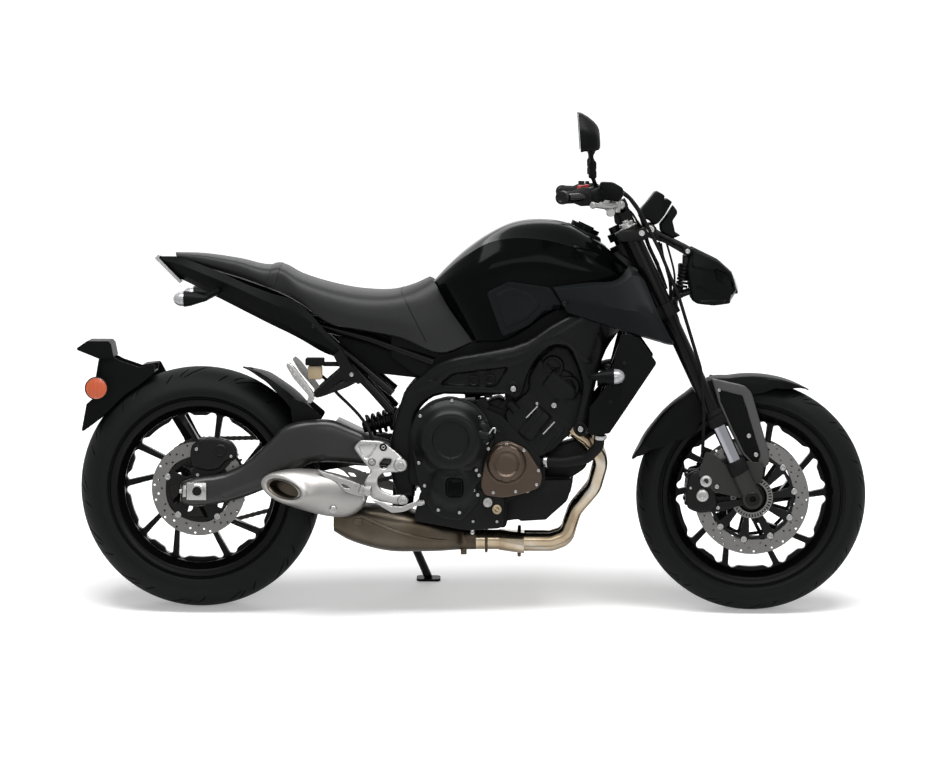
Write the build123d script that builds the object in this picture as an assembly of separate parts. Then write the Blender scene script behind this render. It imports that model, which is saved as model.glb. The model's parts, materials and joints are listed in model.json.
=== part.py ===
from build123d import *
from math import acos, atan2, cos, degrees, hypot, pi, radians, sin, tan
import os

# Standard motorcycle, three-cylinder, parked on its side stand.
# Modelled upright: x forward from the rear axle, y to the rider's left, z up from the ground.
# At the end every piece is leaned over with the machine and moved so that the origin is
# under the middle of the whole machine, on the ground.

# ---- driving dimensions, mm and degrees ----
wheelbase = 1440.0
rear_tyre_radius = 315.0
front_tyre_radius = 300.0
rear_tyre_half = 88.0          # half of the widest tyre section
front_tyre_half = 58.0
rear_rim_half = 72.0           # half the rim width, over the flanges
front_rim_half = 47.0
flange_radius = 231.0
seat_radius = 219.0            # bead seat of both rims
well_radius = 200.0
barrel_wall = 5.5
bead_gap = 0.3
wheel_axle_radius = 12.5
spoke_count = 5
spoke_half_width = 5.0

front_disc_radius = 149.0
front_disc_inner = 112.0
front_disc_y = 62.0
rear_disc_radius = 122.5
rear_disc_inner = 84.0
rear_disc_y = 82.0
disc_thickness = 4.5

rake = 25.0
trail = 103.0
fork_half_spacing = 105.0
fork_tube_radius = 26.0
stanchion_radius = 19.5
stem_radius = 15.0
head_tube_radius = 33.0
steering_lock = 30.0
drawn_wheelbase = 1440.0       # outlines ahead of the engine are drawn for this wheelbase
engine_front = 985.0           # and keep their distance to the front axle from here on

pivot_x = 530.0                # swingarm pivot
pivot_z = 400.0
swingarm_pivot_radius = 14.0
chain_y = 107.0
chain_pitch = 15.875
rear_teeth = 45
front_teeth = 16
sprocket_x = 600.0
sprocket_z = 404.0
chain_height = 15.0
chain_width = 17.0

engine_half = 122.0
frame_outer = 158.0
frame_wall = 44.0
header_radius = 19.0

lean = 9.5                     # to the left, onto the stand
stand_pivot = (520.0, 112.0, 232.0)
stand_foot_reach = (70.0, 150.0)   # forward and outward of the pivot, on the ground
stand_axis_tilt = 29.0

panel_gap = 0.3                # rigid panel to its neighbour
run_gap = 0.05                 # radial, pin or shaft in its bore
seat_gap = 0.3                 # seated but not touching

# ---- worked-out values ----
rake_tan = tan(radians(rake))
fork_offset = front_tyre_radius * sin(radians(rake)) - trail * cos(radians(rake))
front_axle = (wheelbase, front_tyre_radius)
rear_axle = (0.0, rear_tyre_radius)
steer_up = Vector(-sin(radians(rake)), 0, cos(radians(rake)))
steer_fore = Vector(cos(radians(rake)), 0, sin(radians(rake)))
front_shift = wheelbase - drawn_wheelbase
far = 600.0                    # longer than any piece is wide


def steer_x(z):
    """x of the steering axis at a height."""
    return wheelbase + trail - z * rake_tan


def across_fork(along, fore=0.0, y=0.0):
    """Plane square to the steering axis, its x pointing forward."""
    return Plane(origin=fork_point(along, fore, y), x_dir=steer_fore, z_dir=steer_up)


def fork_point(along, fore=0.0, y=0.0):
    """Point on the fork plane: along is measured up the fork line from the axle."""
    base = Vector(front_axle[0], 0, front_axle[1])
    spot = base + steer_up * along + steer_fore * fore
    return Vector(spot.X, y, spot.Z)


# ---- shape helpers ----
def carried(points):
    """Points ahead of the engine move with the front axle."""
    return [(x + front_shift if x > engine_front else x, *rest) for x, *rest in points]


def flat(points, radius=0.0):
    """Closed outline; each corner gets a tangent arc no larger than its two sides allow."""
    if not radius:
        return make_face(Polyline(*points, close=True))
    count = len(points)
    ends = []
    edges = []
    for i, corner in enumerate(points):
        here = Vector(*corner)
        back = (Vector(*points[i - 1]) - here)
        ahead = (Vector(*points[(i + 1) % count]) - here)
        half_angle = radians(back.get_angle(ahead)) / 2
        if degrees(half_angle) > 89.5:
            ends.append((here, here))
            continue
        reach = min(radius / tan(half_angle), 0.45 * min(back.length, ahead.length))
        bend = reach * tan(half_angle)
        inward = (back.normalized() + ahead.normalized()).normalized()
        start = here + back.normalized() * reach
        end = here + ahead.normalized() * reach
        edges.append(ThreePointArc(start, here + inward * (bend / sin(half_angle) - bend), end))
        ends.append((start, end))
    for i in range(count):
        edges.append(Line(ends[i][1], ends[(i + 1) % count][0]))
    return make_face(edges)


def side_plate(points, y_low, y_high, radius=0.0):
    """Side-view outline (x, z) standing between two values of y."""
    plane = Plane(origin=(0, y_high, 0), x_dir=(1, 0, 0), z_dir=(0, -1, 0))
    return extrude(plane * flat(carried(points), radius), y_high - y_low)


def plan_plate(points, z_low, z_high, radius=0.0):
    """Plan outline (x, y) standing between two heights."""
    return extrude(Plane(origin=(0, 0, z_low)) * flat(carried(points), radius), z_high - z_low)


def turned(section, centre, closed_radius=0.0):
    """Section of (y, radius) points turned about a wheel axle at (x, z)."""
    plane = Plane(origin=(centre[0], 0, centre[1]), x_dir=(0, 1, 0), z_dir=(-1, 0, 0))
    return revolve(plane * flat(section, closed_radius),
                   Axis((centre[0], 0, centre[1]), (0, 1, 0)))


def disc(centre, y_low, y_high, radius):
    """Cylinder along y."""
    plane = Plane(origin=(centre[0], y_low, centre[1]), x_dir=(1, 0, 0), z_dir=(0, 1, 0))
    return extrude(plane * Circle(radius), y_high - y_low)


def ring(centre, y_low, y_high, outer, inner):
    return disc(centre, y_low, y_high, outer) - disc(centre, y_low - 1, y_high + 1, inner)


def rod(start, end, radius, end_radius=None):
    """Round bar between two points, tapered when an end radius is given."""
    start = Vector(*start)
    end = Vector(*end)
    plane = Plane(origin=start, z_dir=end - start)
    if end_radius is None:
        return extrude(plane * Circle(radius), (end - start).length)
    far_plane = Plane(origin=end, z_dir=end - start)
    return loft([plane * Circle(radius), far_plane * Circle(end_radius)])


def pipe(points, radius, bends, wall=None):
    """Round tube along straight runs with tangent bends."""
    path = FilletPolyline(*points, radius=bends)
    start = Plane(origin=path @ 0, z_dir=path % 0)
    solid = sweep(start * Circle(radius), path=path)
    if wall:
        solid -= sweep(start * Circle(radius - wall), path=path)
    return solid


def sections_along_x(stations, ruled=False):
    """Loft through rounded sections. Each station: (x, radius, [(y, z), ...]) for the left
    half, from the bottom to the top; the right half is its mirror image."""
    faces = []
    for x, radius, half in carried(stations):
        points = [(y, z) for y, z in half] + [(-y, z) for y, z in reversed(half)]
        plane = Plane(origin=(x, 0, 0), x_dir=(0, 1, 0), z_dir=(1, 0, 0))
        faces.append(plane * flat(points, radius))
    return loft(faces, ruled=ruled)


def mirrored(piece):
    return mirror(piece, about=Plane.XZ)


def both(piece):
    return [piece, mirrored(piece)]


def polar(radius, angle):
    return (radius * cos(radians(angle)), radius * sin(radians(angle)))


nodes = {}


def add(name, *pieces):
    solids = []
    for piece in pieces:
        if isinstance(piece, (list, tuple)):
            for each in piece:
                solids += each.solids()
        else:
            solids += piece.solids()
    nodes[name] = solids


# ---- wheels ----
def rim_section(half):
    """Closed section of the cast rim, (y, radius)."""
    wall = barrel_wall
    return [(-half, flange_radius), (-half + 4, flange_radius), (-half + 5, seat_radius),
            (-half * 0.55, seat_radius - 3), (-half * 0.35, well_radius),
            (half * 0.35, well_radius), (half * 0.55, seat_radius - 3),
            (half - 5, seat_radius), (half - 4, flange_radius), (half, flange_radius),
            (half - 1, seat_radius - wall - 3), (half * 0.35 + 4, well_radius - wall),
            (-half * 0.35 - 4, well_radius - wall), (-half + 1, seat_radius - wall - 3)]


def offset_line(a, b, distance):
    """The line a-b moved sideways to its left by a distance."""
    run = hypot(b[0] - a[0], b[1] - a[1])
    nx = -(b[1] - a[1]) / run * distance
    ny = (b[0] - a[0]) / run * distance
    return (a[0] + nx, a[1] + ny), (b[0] + nx, b[1] + ny)


def crossing(p, q):
    """Where two lines, each a pair of points, cross."""
    (x1, y1), (x2, y2) = p
    (x3, y3), (x4, y4) = q
    d = (x1 - x2) * (y3 - y4) - (y1 - y2) * (x3 - x4)
    a = x1 * y2 - y1 * x2
    b = x3 * y4 - y3 * x4
    return ((a * (x3 - x4) - (x1 - x2) * b) / d, (a * (y3 - y4) - (y1 - y2) * b) / d)


apex_radius = 62.0
apex_angle = 203.0
near_leg_angle = 218.5
far_leg_angle = 249.7
window_rim_radius = 187.0
window_hub_radius = 50.0


def wheel_windows():
    """Openings between the cast spokes, seen from the right side of the machine."""
    step = 360 / spoke_count
    reach = well_radius + 30
    blank = Circle(window_rim_radius)
    windows = []
    for k in range(spoke_count):
        turn = step * k
        apex = polar(apex_radius, apex_angle + turn)
        near = polar(reach, near_leg_angle + turn + 1.5)
        away = polar(reach, far_leg_angle + turn + 4)
        last_apex = polar(apex_radius, apex_angle + turn - step)
        last_away = polar(reach, far_leg_angle + turn - step + 4)
        near_inner = offset_line(apex, near, spoke_half_width)
        away_inner = offset_line(apex, away, -spoke_half_width)
        tip = crossing(near_inner, away_inner)
        inner = flat([tip, near_inner[1], away_inner[1]]) & blank
        windows.append(fillet(inner.vertices(), 6))
        near_outer = offset_line(apex, near, -spoke_half_width)
        last_outer = offset_line(last_apex, last_away, spoke_half_width)
        hub_end = polar(window_hub_radius, apex_angle + turn - 6)
        hub_start = polar(window_hub_radius, apex_angle + turn - step + 26)
        outer = flat([last_outer[0], last_outer[1], near_outer[1], near_outer[0],
                      hub_end, hub_start]) & blank
        windows.append(outer)
    return windows


def wheel_spider(centre, half_at_hub, half_at_rim):
    plane = Plane(origin=(centre[0], far / 4, centre[1]), x_dir=(1, 0, 0), z_dir=(0, -1, 0))
    outline = Circle(well_radius - 2)
    for window in wheel_windows():
        outline -= window
    plate = extrude(plane * outline, far / 2)
    taper = turned([(-half_at_hub, 0), (-half_at_hub, 50), (-half_at_rim - 4, 110),
                    (-half_at_rim, 199), (half_at_rim, 199), (half_at_rim + 4, 110),
                    (half_at_hub, 50), (half_at_hub, 0)], centre)
    return plate & taper


def cast_wheel(centre, rim_half, hub_half, hub_radius):
    rim = turned(rim_section(rim_half), centre)
    spider = wheel_spider(centre, hub_half - 14, 11)
    hub = disc(centre, -hub_half, hub_half, hub_radius)
    return rim + spider + hub - disc(centre, -far, far, wheel_axle_radius + run_gap)


def tyre(centre, radius, half, rim_half):
    bead = rim_half - 5 - bead_gap
    shoulder = radius - half * 0.62
    base = seat_radius + bead_gap
    crown = ThreePointArc((-half, shoulder), (0, radius), (half, shoulder))
    left = ThreePointArc((half, shoulder), (half + 1, shoulder - 14),
                         (bead - 1, flange_radius + 4))
    right = ThreePointArc((-bead + 1, flange_radius + 4), (-half - 1, shoulder - 14),
                          (-half, shoulder))
    foot = Polyline((bead - 1, flange_radius + 4), (bead, flange_radius), (bead, base),
                    (-bead, base), (-bead, flange_radius), (-bead + 1, flange_radius + 4))
    plane = Plane(origin=(centre[0], 0, centre[1]), x_dir=(0, 1, 0), z_dir=(-1, 0, 0))
    return revolve(plane * make_face([crown, left, foot, right]),
                   Axis((centre[0], 0, centre[1]), (0, 1, 0)))


def brake_disc(centre, y, outer, inner, holes, arms, hub_radius):
    """Drilled ring on a lighter armed carrier."""
    low = y - disc_thickness / 2
    high = y + disc_thickness / 2
    band = ring(centre, low, high, outer, inner)
    middle = (outer + inner) / 2
    for k in range(holes):
        angle = 360 / holes * k
        reach = middle + (outer - inner) * 0.24 * ((k % 3) - 1)
        x, z = polar(reach, angle)
        band -= disc((centre[0] + x, centre[1] + z), low - 1, high + 1, 4.0)
    carrier = ring(centre, low, high, hub_radius + 14, hub_radius)
    for k in range(arms):
        angle = 360 / arms * k
        arm = flat([polar(hub_radius + 4, angle - 11), polar(inner + 4, angle + 4),
                    polar(inner + 4, angle + 14), polar(hub_radius + 4, angle + 11)])
        plane = Plane(origin=(centre[0], high, centre[1]), x_dir=(1, 0, 0), z_dir=(0, -1, 0))
        carrier += extrude(plane * arm, high - low)
    return band + carrier


front_hub_half = front_disc_y - disc_thickness / 2
rear_hub_half = 66.0
front_hub_radius = 50.0
rear_hub_radius = 48.0
add("front_rim", cast_wheel(front_axle, front_rim_half, front_hub_half, front_hub_radius))
add("rear_rim", cast_wheel(rear_axle, rear_rim_half, rear_hub_half, rear_hub_radius))
add("front_tyre", tyre(front_axle, front_tyre_radius, front_tyre_half, front_rim_half))
add("rear_tyre", tyre(rear_axle, rear_tyre_radius, rear_tyre_half, rear_rim_half))
add("front_discs", both(brake_disc(front_axle, -front_disc_y, front_disc_radius,
                                   front_disc_inner, 30, 5, 38)))
add("rear_disc", brake_disc(rear_axle, -rear_disc_y, rear_disc_radius, rear_disc_inner, 24, 5,
                            30),
    ring(rear_axle, -rear_disc_y + disc_thickness / 2, -rear_hub_half, 40,
         wheel_axle_radius + run_gap))


def pitch_radius(teeth):
    return chain_pitch / (2 * sin(pi / teeth))


def sprocket(centre, teeth, y_low, y_high, bore):
    """Toothed plate with a bore; every tooth is a blunt wedge between two rollers."""
    radius = pitch_radius(teeth)
    points = []
    for k in range(teeth):
        for step, reach in ((-0.27, -3.2), (-0.12, 3.4), (0.12, 3.4), (0.27, -3.2)):
            points.append(polar(radius + reach, (k + step) * 360 / teeth))
    plane = Plane(origin=(centre[0], y_high, centre[1]), x_dir=(1, 0, 0), z_dir=(0, -1, 0))
    plate = extrude(plane * flat(points), y_high - y_low)
    return plate - disc(centre, y_low - 1, y_high + 1, bore)


rear_sprocket = sprocket(rear_axle, rear_teeth, chain_y - 3.5, chain_y + 3.5, 45)
for k in range(5):
    x, z = polar(78, 72 * k + 20)
    rear_sprocket -= disc((x, rear_axle[1] + z), chain_y - 5, chain_y + 5, 13)
sprocket_carrier = ring(rear_axle, rear_hub_half, chain_y - 3.5, 58, wheel_axle_radius + run_gap)
add("rear_sprocket", rear_sprocket + sprocket_carrier)


# ---- chain: one fixed loop round both sprockets ----
def chain_loop(half, y_low, y_high):
    big = pitch_radius(rear_teeth)
    small = pitch_radius(front_teeth)
    run = hypot(sprocket_x, sprocket_z - rear_axle[1])
    slope = degrees(atan2(sprocket_z - rear_axle[1], sprocket_x))
    spread = degrees(acos((big - small) / run))

    def outline(grow):
        marks = []
        for centre, radius in ((rear_axle, big + grow), ((sprocket_x, sprocket_z), small + grow)):
            for side in (1, -1):
                x, z = polar(radius, slope + side * spread)
                marks.append((centre[0] + x, centre[1] + z))
        x, z = polar(big + grow, slope + 180)
        back = (rear_axle[0] + x, rear_axle[1] + z)
        x, z = polar(small + grow, slope)
        nose = (sprocket_x + x, sprocket_z + z)
        return make_face([Line(marks[0], marks[2]), ThreePointArc(marks[2], nose, marks[3]),
                          Line(marks[3], marks[1]), ThreePointArc(marks[1], back, marks[0])])

    plane = Plane(origin=(0, y_high, 0), x_dir=(1, 0, 0), z_dir=(0, -1, 0))
    return extrude(plane * (outline(half) - outline(-half)), y_high - y_low)


chain_inner = chain_loop(chain_height / 2, chain_y - chain_width / 2, chain_y - 4.0)
chain_outer = chain_loop(chain_height / 2, chain_y + 4.0, chain_y + chain_width / 2)
chain_rollers = chain_loop(chain_height / 2 - 4, chain_y - 4.0, chain_y + 4.0)
rear_tooth_room = disc(rear_axle, chain_y - 4.1, chain_y + 4.1, pitch_radius(rear_teeth) + 3.6)
chain = chain_inner + chain_outer + (chain_rollers - rear_tooth_room)
front_tooth_room = disc((sprocket_x, sprocket_z), chain_y - 4.1, chain_y + 4.1,
                        pitch_radius(front_teeth) + 3.6)
front_sprocket = sprocket((sprocket_x, sprocket_z), front_teeth, chain_y - 3.5, chain_y + 3.5, 8)
front_sprocket += ring((sprocket_x, sprocket_z), chain_y - chain_width / 2 - 6, chain_y + 10,
                       20, 8)
add("drive_chain", chain - front_tooth_room, front_sprocket)

# ---- room the fork tubes need from lock to lock ----
lock_clearance = 7.0


def lock_room(side):
    """The bean-shaped path of one fork tube about the steering axis."""
    swing_radius = hypot(fork_offset, fork_half_spacing)
    straight = degrees(atan2(fork_half_spacing, fork_offset))
    half_width = fork_tube_radius + lock_clearance
    first = straight - steering_lock
    last = straight + steering_lock

    def at(radius, angle):
        x, y = polar(radius, angle)
        return (x, y * side)

    inner = swing_radius - half_width
    outer = swing_radius + half_width
    band = make_face([
        ThreePointArc(at(inner, first), at(inner, straight), at(inner, last)),
        Line(at(inner, last), at(outer, last)),
        ThreePointArc(at(outer, last), at(outer, straight), at(outer, first)),
        Line(at(outer, first), at(inner, first))])
    path = band + Pos(*at(swing_radius, last)) * Circle(half_width)
    return extrude(across_fork(320, -fork_offset) * path, 520)


lock_rooms = lock_room(1) + lock_room(-1)

# ---- frame ----
head_low = 815.0               # along the steering axis, by height
head_high = 958.0
head_tube = rod((steer_x(head_low), 0, head_low), (steer_x(head_high), 0, head_high),
                head_tube_radius)
head_bore = rod((steer_x(head_low - 40), 0, head_low - 40),
                (steer_x(head_high + 40), 0, head_high + 40), stem_radius + run_gap)
spar_side = [(498, 428), (534, 569), (579, 615), (601, 637), (646, 657), (741, 678),
             (853, 707), (915, 748), (1000, 796), (1062, 846), (1130, 846),
             (1150, 820), (1094, 737), (1060, 690), (1032, 601), (1021, 540), (1015, 482),
             (993, 464), (974, 480), (985, 521), (998, 601), (984, 646), (957, 694),
             (926, 696), (886, 668), (857, 622), (847, 583), (820, 562), (797, 571),
             (702, 568), (601, 558), (560, 520), (575, 452), (568, 380), (562, 296),
             (518, 292), (498, 372)]
plate_outer = 106.0            # rear of the frame, beside the swingarm pivot
plate_inner = 68.0
plate_outer_left = 94.0        # stays inside the chain
spar_plan = [(470, -plate_outer), (590, -plate_outer), (700, -140), (760, -152),
             (960, -frame_outer), (1040, -150), (1110, -84), (1165, -40), (1165, 20),
             (1120, 20), (1090, -38), (1010, -112),
             (940, -frame_outer + frame_wall), (760, -152 + frame_wall), (600, -72),
             (590, -plate_inner), (470, -plate_inner)]
spar = side_plate(spar_side, -far, far, 3) & plan_plate(spar_plan, 0, 1200, 0)
spar_window = side_plate([(628, 592), (660, 622), (806, 642), (772, 588)], -far, -130, 5)
spar = spar - spar_window - lock_rooms
for x, z in carried([(819, 586), (993, 484)]):
    spar += disc((x, z), -frame_outer - 6, -frame_outer + frame_wall, 17)
spar -= disc((pivot_x, pivot_z), -far, far, swingarm_pivot_radius)
cross_back = side_plate([(500, 474), (512, 520), (548, 545), (566, 520), (552, 474)],
                        -80, 80, 6)
head_gusset = side_plate([(1050, 800), (1062, 900), (1084, 940), (1140, 905), (1150, 820),
                          (1100, 746)], -40, 40, 8)
chain_room = side_plate([(440, 280), (440, 464), (660, 464), (660, 280)],
                        plate_outer_left, far)
stand_plate = side_plate([(500, 330), (560, 330), (546, 210), (500, 210)],
                         plate_outer_left - 13, plate_outer_left, 8)
main_frame = spar + (mirrored(spar) - chain_room) + head_tube + cross_back + head_gusset
main_frame = main_frame + stand_plate - head_bore
main_frame -= disc((pivot_x, pivot_z), -far, far, swingarm_pivot_radius + run_gap)
add("main_frame", main_frame)

# ---- subframe: tubes under the seat with the passenger peg hangers ----
sub_y = 82.0
upper_rail = pipe([(612, -sub_y - 12, 650), (446, -sub_y, 708), (300, -74, 744),
                   (170, -62, 790), (30, -46, 842)], 13, [60, 60, 60])
lower_rail = pipe([(505, -sub_y - 22, 520), (452, -sub_y - 10, 578), (357, -sub_y, 674),
                   (262, -66, 762)], 12, [40, 80])
brace = rod((505, -sub_y - 18, 568), (360, -sub_y, 690), 10)
hanger = side_plate([(300, 566), (372, 628), (418, 608), (428, 594), (372, 604),
                     (322, 560)], -138, -126, 4)
sub_side = upper_rail + lower_rail + brace
hanger_link = side_plate([(352, 668), (372, 684), (400, 640), (432, 606), (418, 592),
                          (376, 622)], -138, -sub_y + 6, 5)
sub_side += hanger_link + hanger
sub_cross = [rod((x, -y, z), (x, y, z), 9) for x, y, z in ((446, sub_y, 706), (150, 62, 784))]
subframe = sub_side + mirrored(sub_side) + sub_cross[0] + sub_cross[1]
add("subframe", subframe - main_frame)

# ---- engine ----
case_side = [(600, 505), (640, 540), (726, 548), (803, 523), (852, 470), (902, 408),
             (902, 331), (860, 300), (803, 290), (803, 236), (690, 234), (640, 256),
             (600, 283), (584, 340), (582, 440)]
crankcase = side_plate(case_side, -engine_half + 20, engine_half - 20, 14)
case_middle = side_plate([(604, 500), (726, 540), (790, 512), (890, 404), (890, 340),
                          (800, 300), (612, 300), (590, 400)], -engine_half, engine_half, 14)
pan = side_plate([(650, 262), (690, 218), (800, 218), (812, 262)], -84, 84, 10)
gearbox_tail = side_plate([(562, 420), (566, 480), (640, 500), (640, 330), (572, 330)], -62, 62, 12)
sprocket_room = side_plate([(500, 330), (500, 480), (664, 480), (664, 330)],
                           chain_y - chain_width / 2 - 6, far, 20)
crankcase = crankcase + case_middle + pan + gearbox_tail - sprocket_room
add("crankcase", crankcase)

head_side = [(802, 560), (852, 628), (905, 645), (985, 603), (982, 548), (972, 482),
             (927, 451), (868, 430)]
head_half = 104.0
block = side_plate([(770, 522), (826, 588), (930, 470), (886, 404)], -head_half + 8,
                   head_half - 8, 6)
head_block = side_plate(head_side, -head_half, head_half, 14)
cam_cover = side_plate([(858, 632), (910, 662), (985, 618), (968, 590), (880, 600)],
                       -head_half + 10, head_half - 10, 12)
spark_wells = [rod((905, y, 628), (922, y, 672), 20) for y in (-66, 0, 66)]
cylinder_head = block + head_block + cam_cover
for well in spark_wells:
    cylinder_head += well
cylinder_head -= crankcase
add("cylinder_head", cylinder_head)

clutch_centre = (660.0, 453.0 - 10)
cover_flange = side_plate([(574, 462), (592, 508), (640, 546), (694, 546), (742, 516),
                           (762, 462), (752, 400), (728, 352), (717, 310), (684, 266),
                           (626, 274), (590, 318), (570, 384)],
                          -engine_half - 14, -engine_half, 12)
cover_dome = turned([(-engine_half - 10, 0), (-engine_half - 10, 100), (-engine_half - 32, 94),
                     (-engine_half - 44, 84), (-engine_half - 48, 50),
                     (-engine_half - 45, 46), (-engine_half - 45, 0)], clutch_centre)
sight_pod = side_plate([(600, 372), (706, 380), (704, 322), (676, 286), (636, 290),
                        (606, 330)], -engine_half - 30, -engine_half - 10, 14)
sight_well = side_plate([(652, 360), (682, 360), (690, 330), (672, 308), (656, 318)],
                        -engine_half - 40, -engine_half - 18, 8)
clutch_cover = cover_flange + cover_dome + sight_pod - sight_well
alternator_centre = (812.0, 402.0)
left_flange = side_plate([(722, 452), (770, 498), (836, 492), (880, 446), (890, 380),
                          (860, 318), (800, 300), (742, 330), (716, 390)],
                         engine_half, engine_half + 12, 12)
left_dome = turned([(engine_half + 10, 0), (engine_half + 10, 78), (engine_half + 30, 72),
                    (engine_half + 38, 60), (engine_half + 40, 0)], alternator_centre)
sprocket_cover = side_plate([(552, 452), (600, 476), (668, 462), (690, 400), (660, 330),
                             (600, 316), (556, 350)], engine_half, engine_half + 22, 16)
sprocket_cover -= side_plate([(560, 440), (600, 466), (650, 440), (650, 368), (600, 342),
                              (562, 364)], engine_half - 1, engine_half + 16, 14)
add("engine_covers", clutch_cover, left_flange + left_dome, sprocket_cover)

timing_centre = (800.0, 403.0)
timing_flange = side_plate([(770, 448), (802, 468), (847, 446), (884, 396), (892, 368),
                            (877, 340), (819, 322), (770, 322), (764, 372)],
                           -engine_half - 12, -engine_half, 8)
timing_dome = turned([(-engine_half - 8, 0), (-engine_half - 8, 56),
                      (-engine_half - 26, 52), (-engine_half - 30, 46),
                      (-engine_half - 30, 30), (-engine_half - 27, 28),
                      (-engine_half - 27, 0)], timing_centre)
add("timing_cover", (timing_flange + timing_dome) - clutch_cover)

filter_cover = side_plate([(816, 284), (841, 306), (880, 336), (902, 352), (970, 351),
                           (958, 288), (905, 240), (840, 236), (818, 250)], -92, 84, 8)
filter_cover &= plan_plate([(780, -92), (900, -92), (984, -60), (984, 52), (900, 84), (780, 84)],
                           200, 400, 10)
add("oil_cooler", filter_cover - crankcase)

# ---- cooling ----
radiator_lean = 20.0
radiator_plane = Plane(origin=(1084 + front_shift, 0, 600), x_dir=(0, 1, 0),
                       z_dir=(cos(radians(radiator_lean)), 0, -sin(radians(radiator_lean))))
radiator_core = extrude(radiator_plane * RectangleRounded(300, 240, 8), 14, both=True)
radiator_tank = extrude(radiator_plane * Pos(160, 0) * RectangleRounded(32, 256, 12), 20,
                        both=True)
radiator_tank_far = extrude(radiator_plane * Pos(-160, 0) * RectangleRounded(32, 256, 12), 20,
                            both=True)
radiator = radiator_core + radiator_tank + radiator_tank_far
for y in (-132, 132):
    radiator += rod((1035.5 + front_shift, y, 600), (1072 + front_shift, y, 600), 8)
add("radiator", radiator)

shroud_side = [(1096, 732), (1142, 721), (1188, 656), (1067, 474), (1012, 468), (1016, 540),
               (1063, 600)]
shroud_plan = [(990, -192), (1100, -206), (1195, -196), (1195, -188), (1100, -196),
               (990, -184)]
shroud = side_plate(shroud_side, -far, -150, 10) & plan_plate(shroud_plan, 400, 800)
shroud_foot = [rod((x, -197, z), (x, -176.3, z), 7)
               for x, z in carried([(1070, 556), (1104, 656)])]
shroud = shroud + shroud_foot[0] + shroud_foot[1]
add("radiator_shrouds", both(shroud))

hose = pipe(carried([(886, -100, 392), (950, -122, 392), (1010, -134, 404), (1040, -150, 436),
                     (1043, -160, 479)]), 14, [40, 36, 30])
add("coolant_hoses", both(hose - crankcase - radiator))

# ---- exhaust ----
header_ends = ((-78.0, -44.0, 182.0), (0.0, 0.0, 168.0), (78.0, 44.0, 182.0))
headers = []
for port_y, low_y, low_z in header_ends:
    middle_y = (port_y + low_y) / 2
    points = [(950, port_y, 494), (1012, port_y, 446), (1050, port_y, 396),
              (1030, middle_y, 322), (980, low_y, 262), (958, low_y, low_z + 14),
              (918, low_y, low_z), (848, low_y, low_z)]
    headers.append(pipe(carried(points), header_radius, [40, 44, 60, 60, 36, 30]))
port_flanges = []
for port_y, low_y, low_z in header_ends:
    outward = Vector(54, 0, -42).normalized()
    start = Vector(950, port_y, 494) + outward * 26
    port_flanges.append(extrude(Plane(origin=start, z_dir=outward) *
                                RectangleRounded(44, 66, 12), 8))
ported = [(header + flange) - cylinder_head for header, flange in zip(headers, port_flanges)]
collector = loft([
    Plane(origin=(848, 0, 174), x_dir=(0, 1, 0), z_dir=(-1, 0, 0)) *
    RectangleRounded(132, 54, 22),
    Plane(origin=(782, -10, 180), x_dir=(0, 1, 0), z_dir=(-1, 0, 0)) *
    RectangleRounded(64, 54, 26),
])
collector += extrude(Plane(origin=(782, -10, 180), x_dir=(0, 1, 0), z_dir=(-1, 0, 0)) *
                     Circle(26), 60)
neck_x = 722.0
flange_ring = extrude(Plane(origin=(752, -10, 180), x_dir=(0, 1, 0), z_dir=(-1, 0, 0)) *
                      Circle(32), 7)
add("exhaust_headers", ported, collector + flange_ring)

chamber = loft([
    Plane(origin=(x, y, z), x_dir=(0, 1, 0), z_dir=(-1, 0, 0)) * RectangleRounded(w, h, r)
    for x, y, z, w, h, r in (
        (neck_x, -10, 180, 58, 54, 24), (684, -12, 184, 104, 62, 28),
        (616, -18, 200, 176, 88, 38), (500, -24, 214, 190, 112, 46),
        (420, -26, 226, 176, 104, 44), (352, -38, 238, 116, 74, 32))
])
add("exhaust_chamber", chamber)

silencer_face = -228.0
silencer_side = [(180, 352), (219, 370), (250, 376), (308, 374), (373, 360), (440, 324),
                 (440, 290), (392, 250), (352, 251), (287, 268), (214, 301)]
silencer_plan = [(165, -152), (290, -148), (340, -114), (455, -106), (455, -150),
                 (350, -163), (292, -212), (230, silencer_face), (165, -204)]
silencer_body = side_plate(silencer_side, -far, 0, 16) & plan_plate(silencer_plan, 200, 420, 14)
outlet_plane = Plane(origin=(235, silencer_face - 8, 326),
                     x_dir=(cos(radians(12)), 0, -sin(radians(12))), z_dir=(0, 1, 0))
outlet = extrude(outlet_plane * Ellipse(40, 22), 40)
silencer_link = rod((380, -60, 244), (408, -126, 292), 20)
silencer = silencer_body - outlet
add("silencer", silencer, silencer_link - silencer - side_plate(silencer_side, -far, 0, 16) -
    chamber)

# ---- fuel tank, knee panels and side scoops cut from one form ----
tank_form = sections_along_x([
    (612, 8, [(40, 838), (78, 842), (84, 858), (60, 868), (26, 870)]),
    (660, 16, [(70, 770), (112, 786), (122, 850), (104, 896), (44, 919)]),
    (720, 22, [(90, 716), (142, 726), (152, 860), (126, 936), (52, 967)]),
    (800, 24, [(100, 716), (158, 730), (172, 880), (138, 966), (58, 1007)]),
    (880, 26, [(108, 780), (166, 800), (182, 890), (142, 972), (62, 1018)]),
    (960, 26, [(110, 846), (164, 856), (178, 896), (140, 956), (62, 1010)]),
    (1040, 20, [(96, 862), (144, 868), (158, 892), (126, 924), (56, 962)]),
    (1122, 10, [(70, 882), (112, 884), (120, 892), (104, 904), (48, 906)]),
])
head_room = rod((steer_x(780), 0, 780), (steer_x(1040), 0, 1040), head_tube_radius + 9)
nose_room = side_plate([(1036, 700), (1036, 830), (1058, 955), (1058, 1100), (1200, 1100),
                        (1200, 700)], -46, 46)
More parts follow.
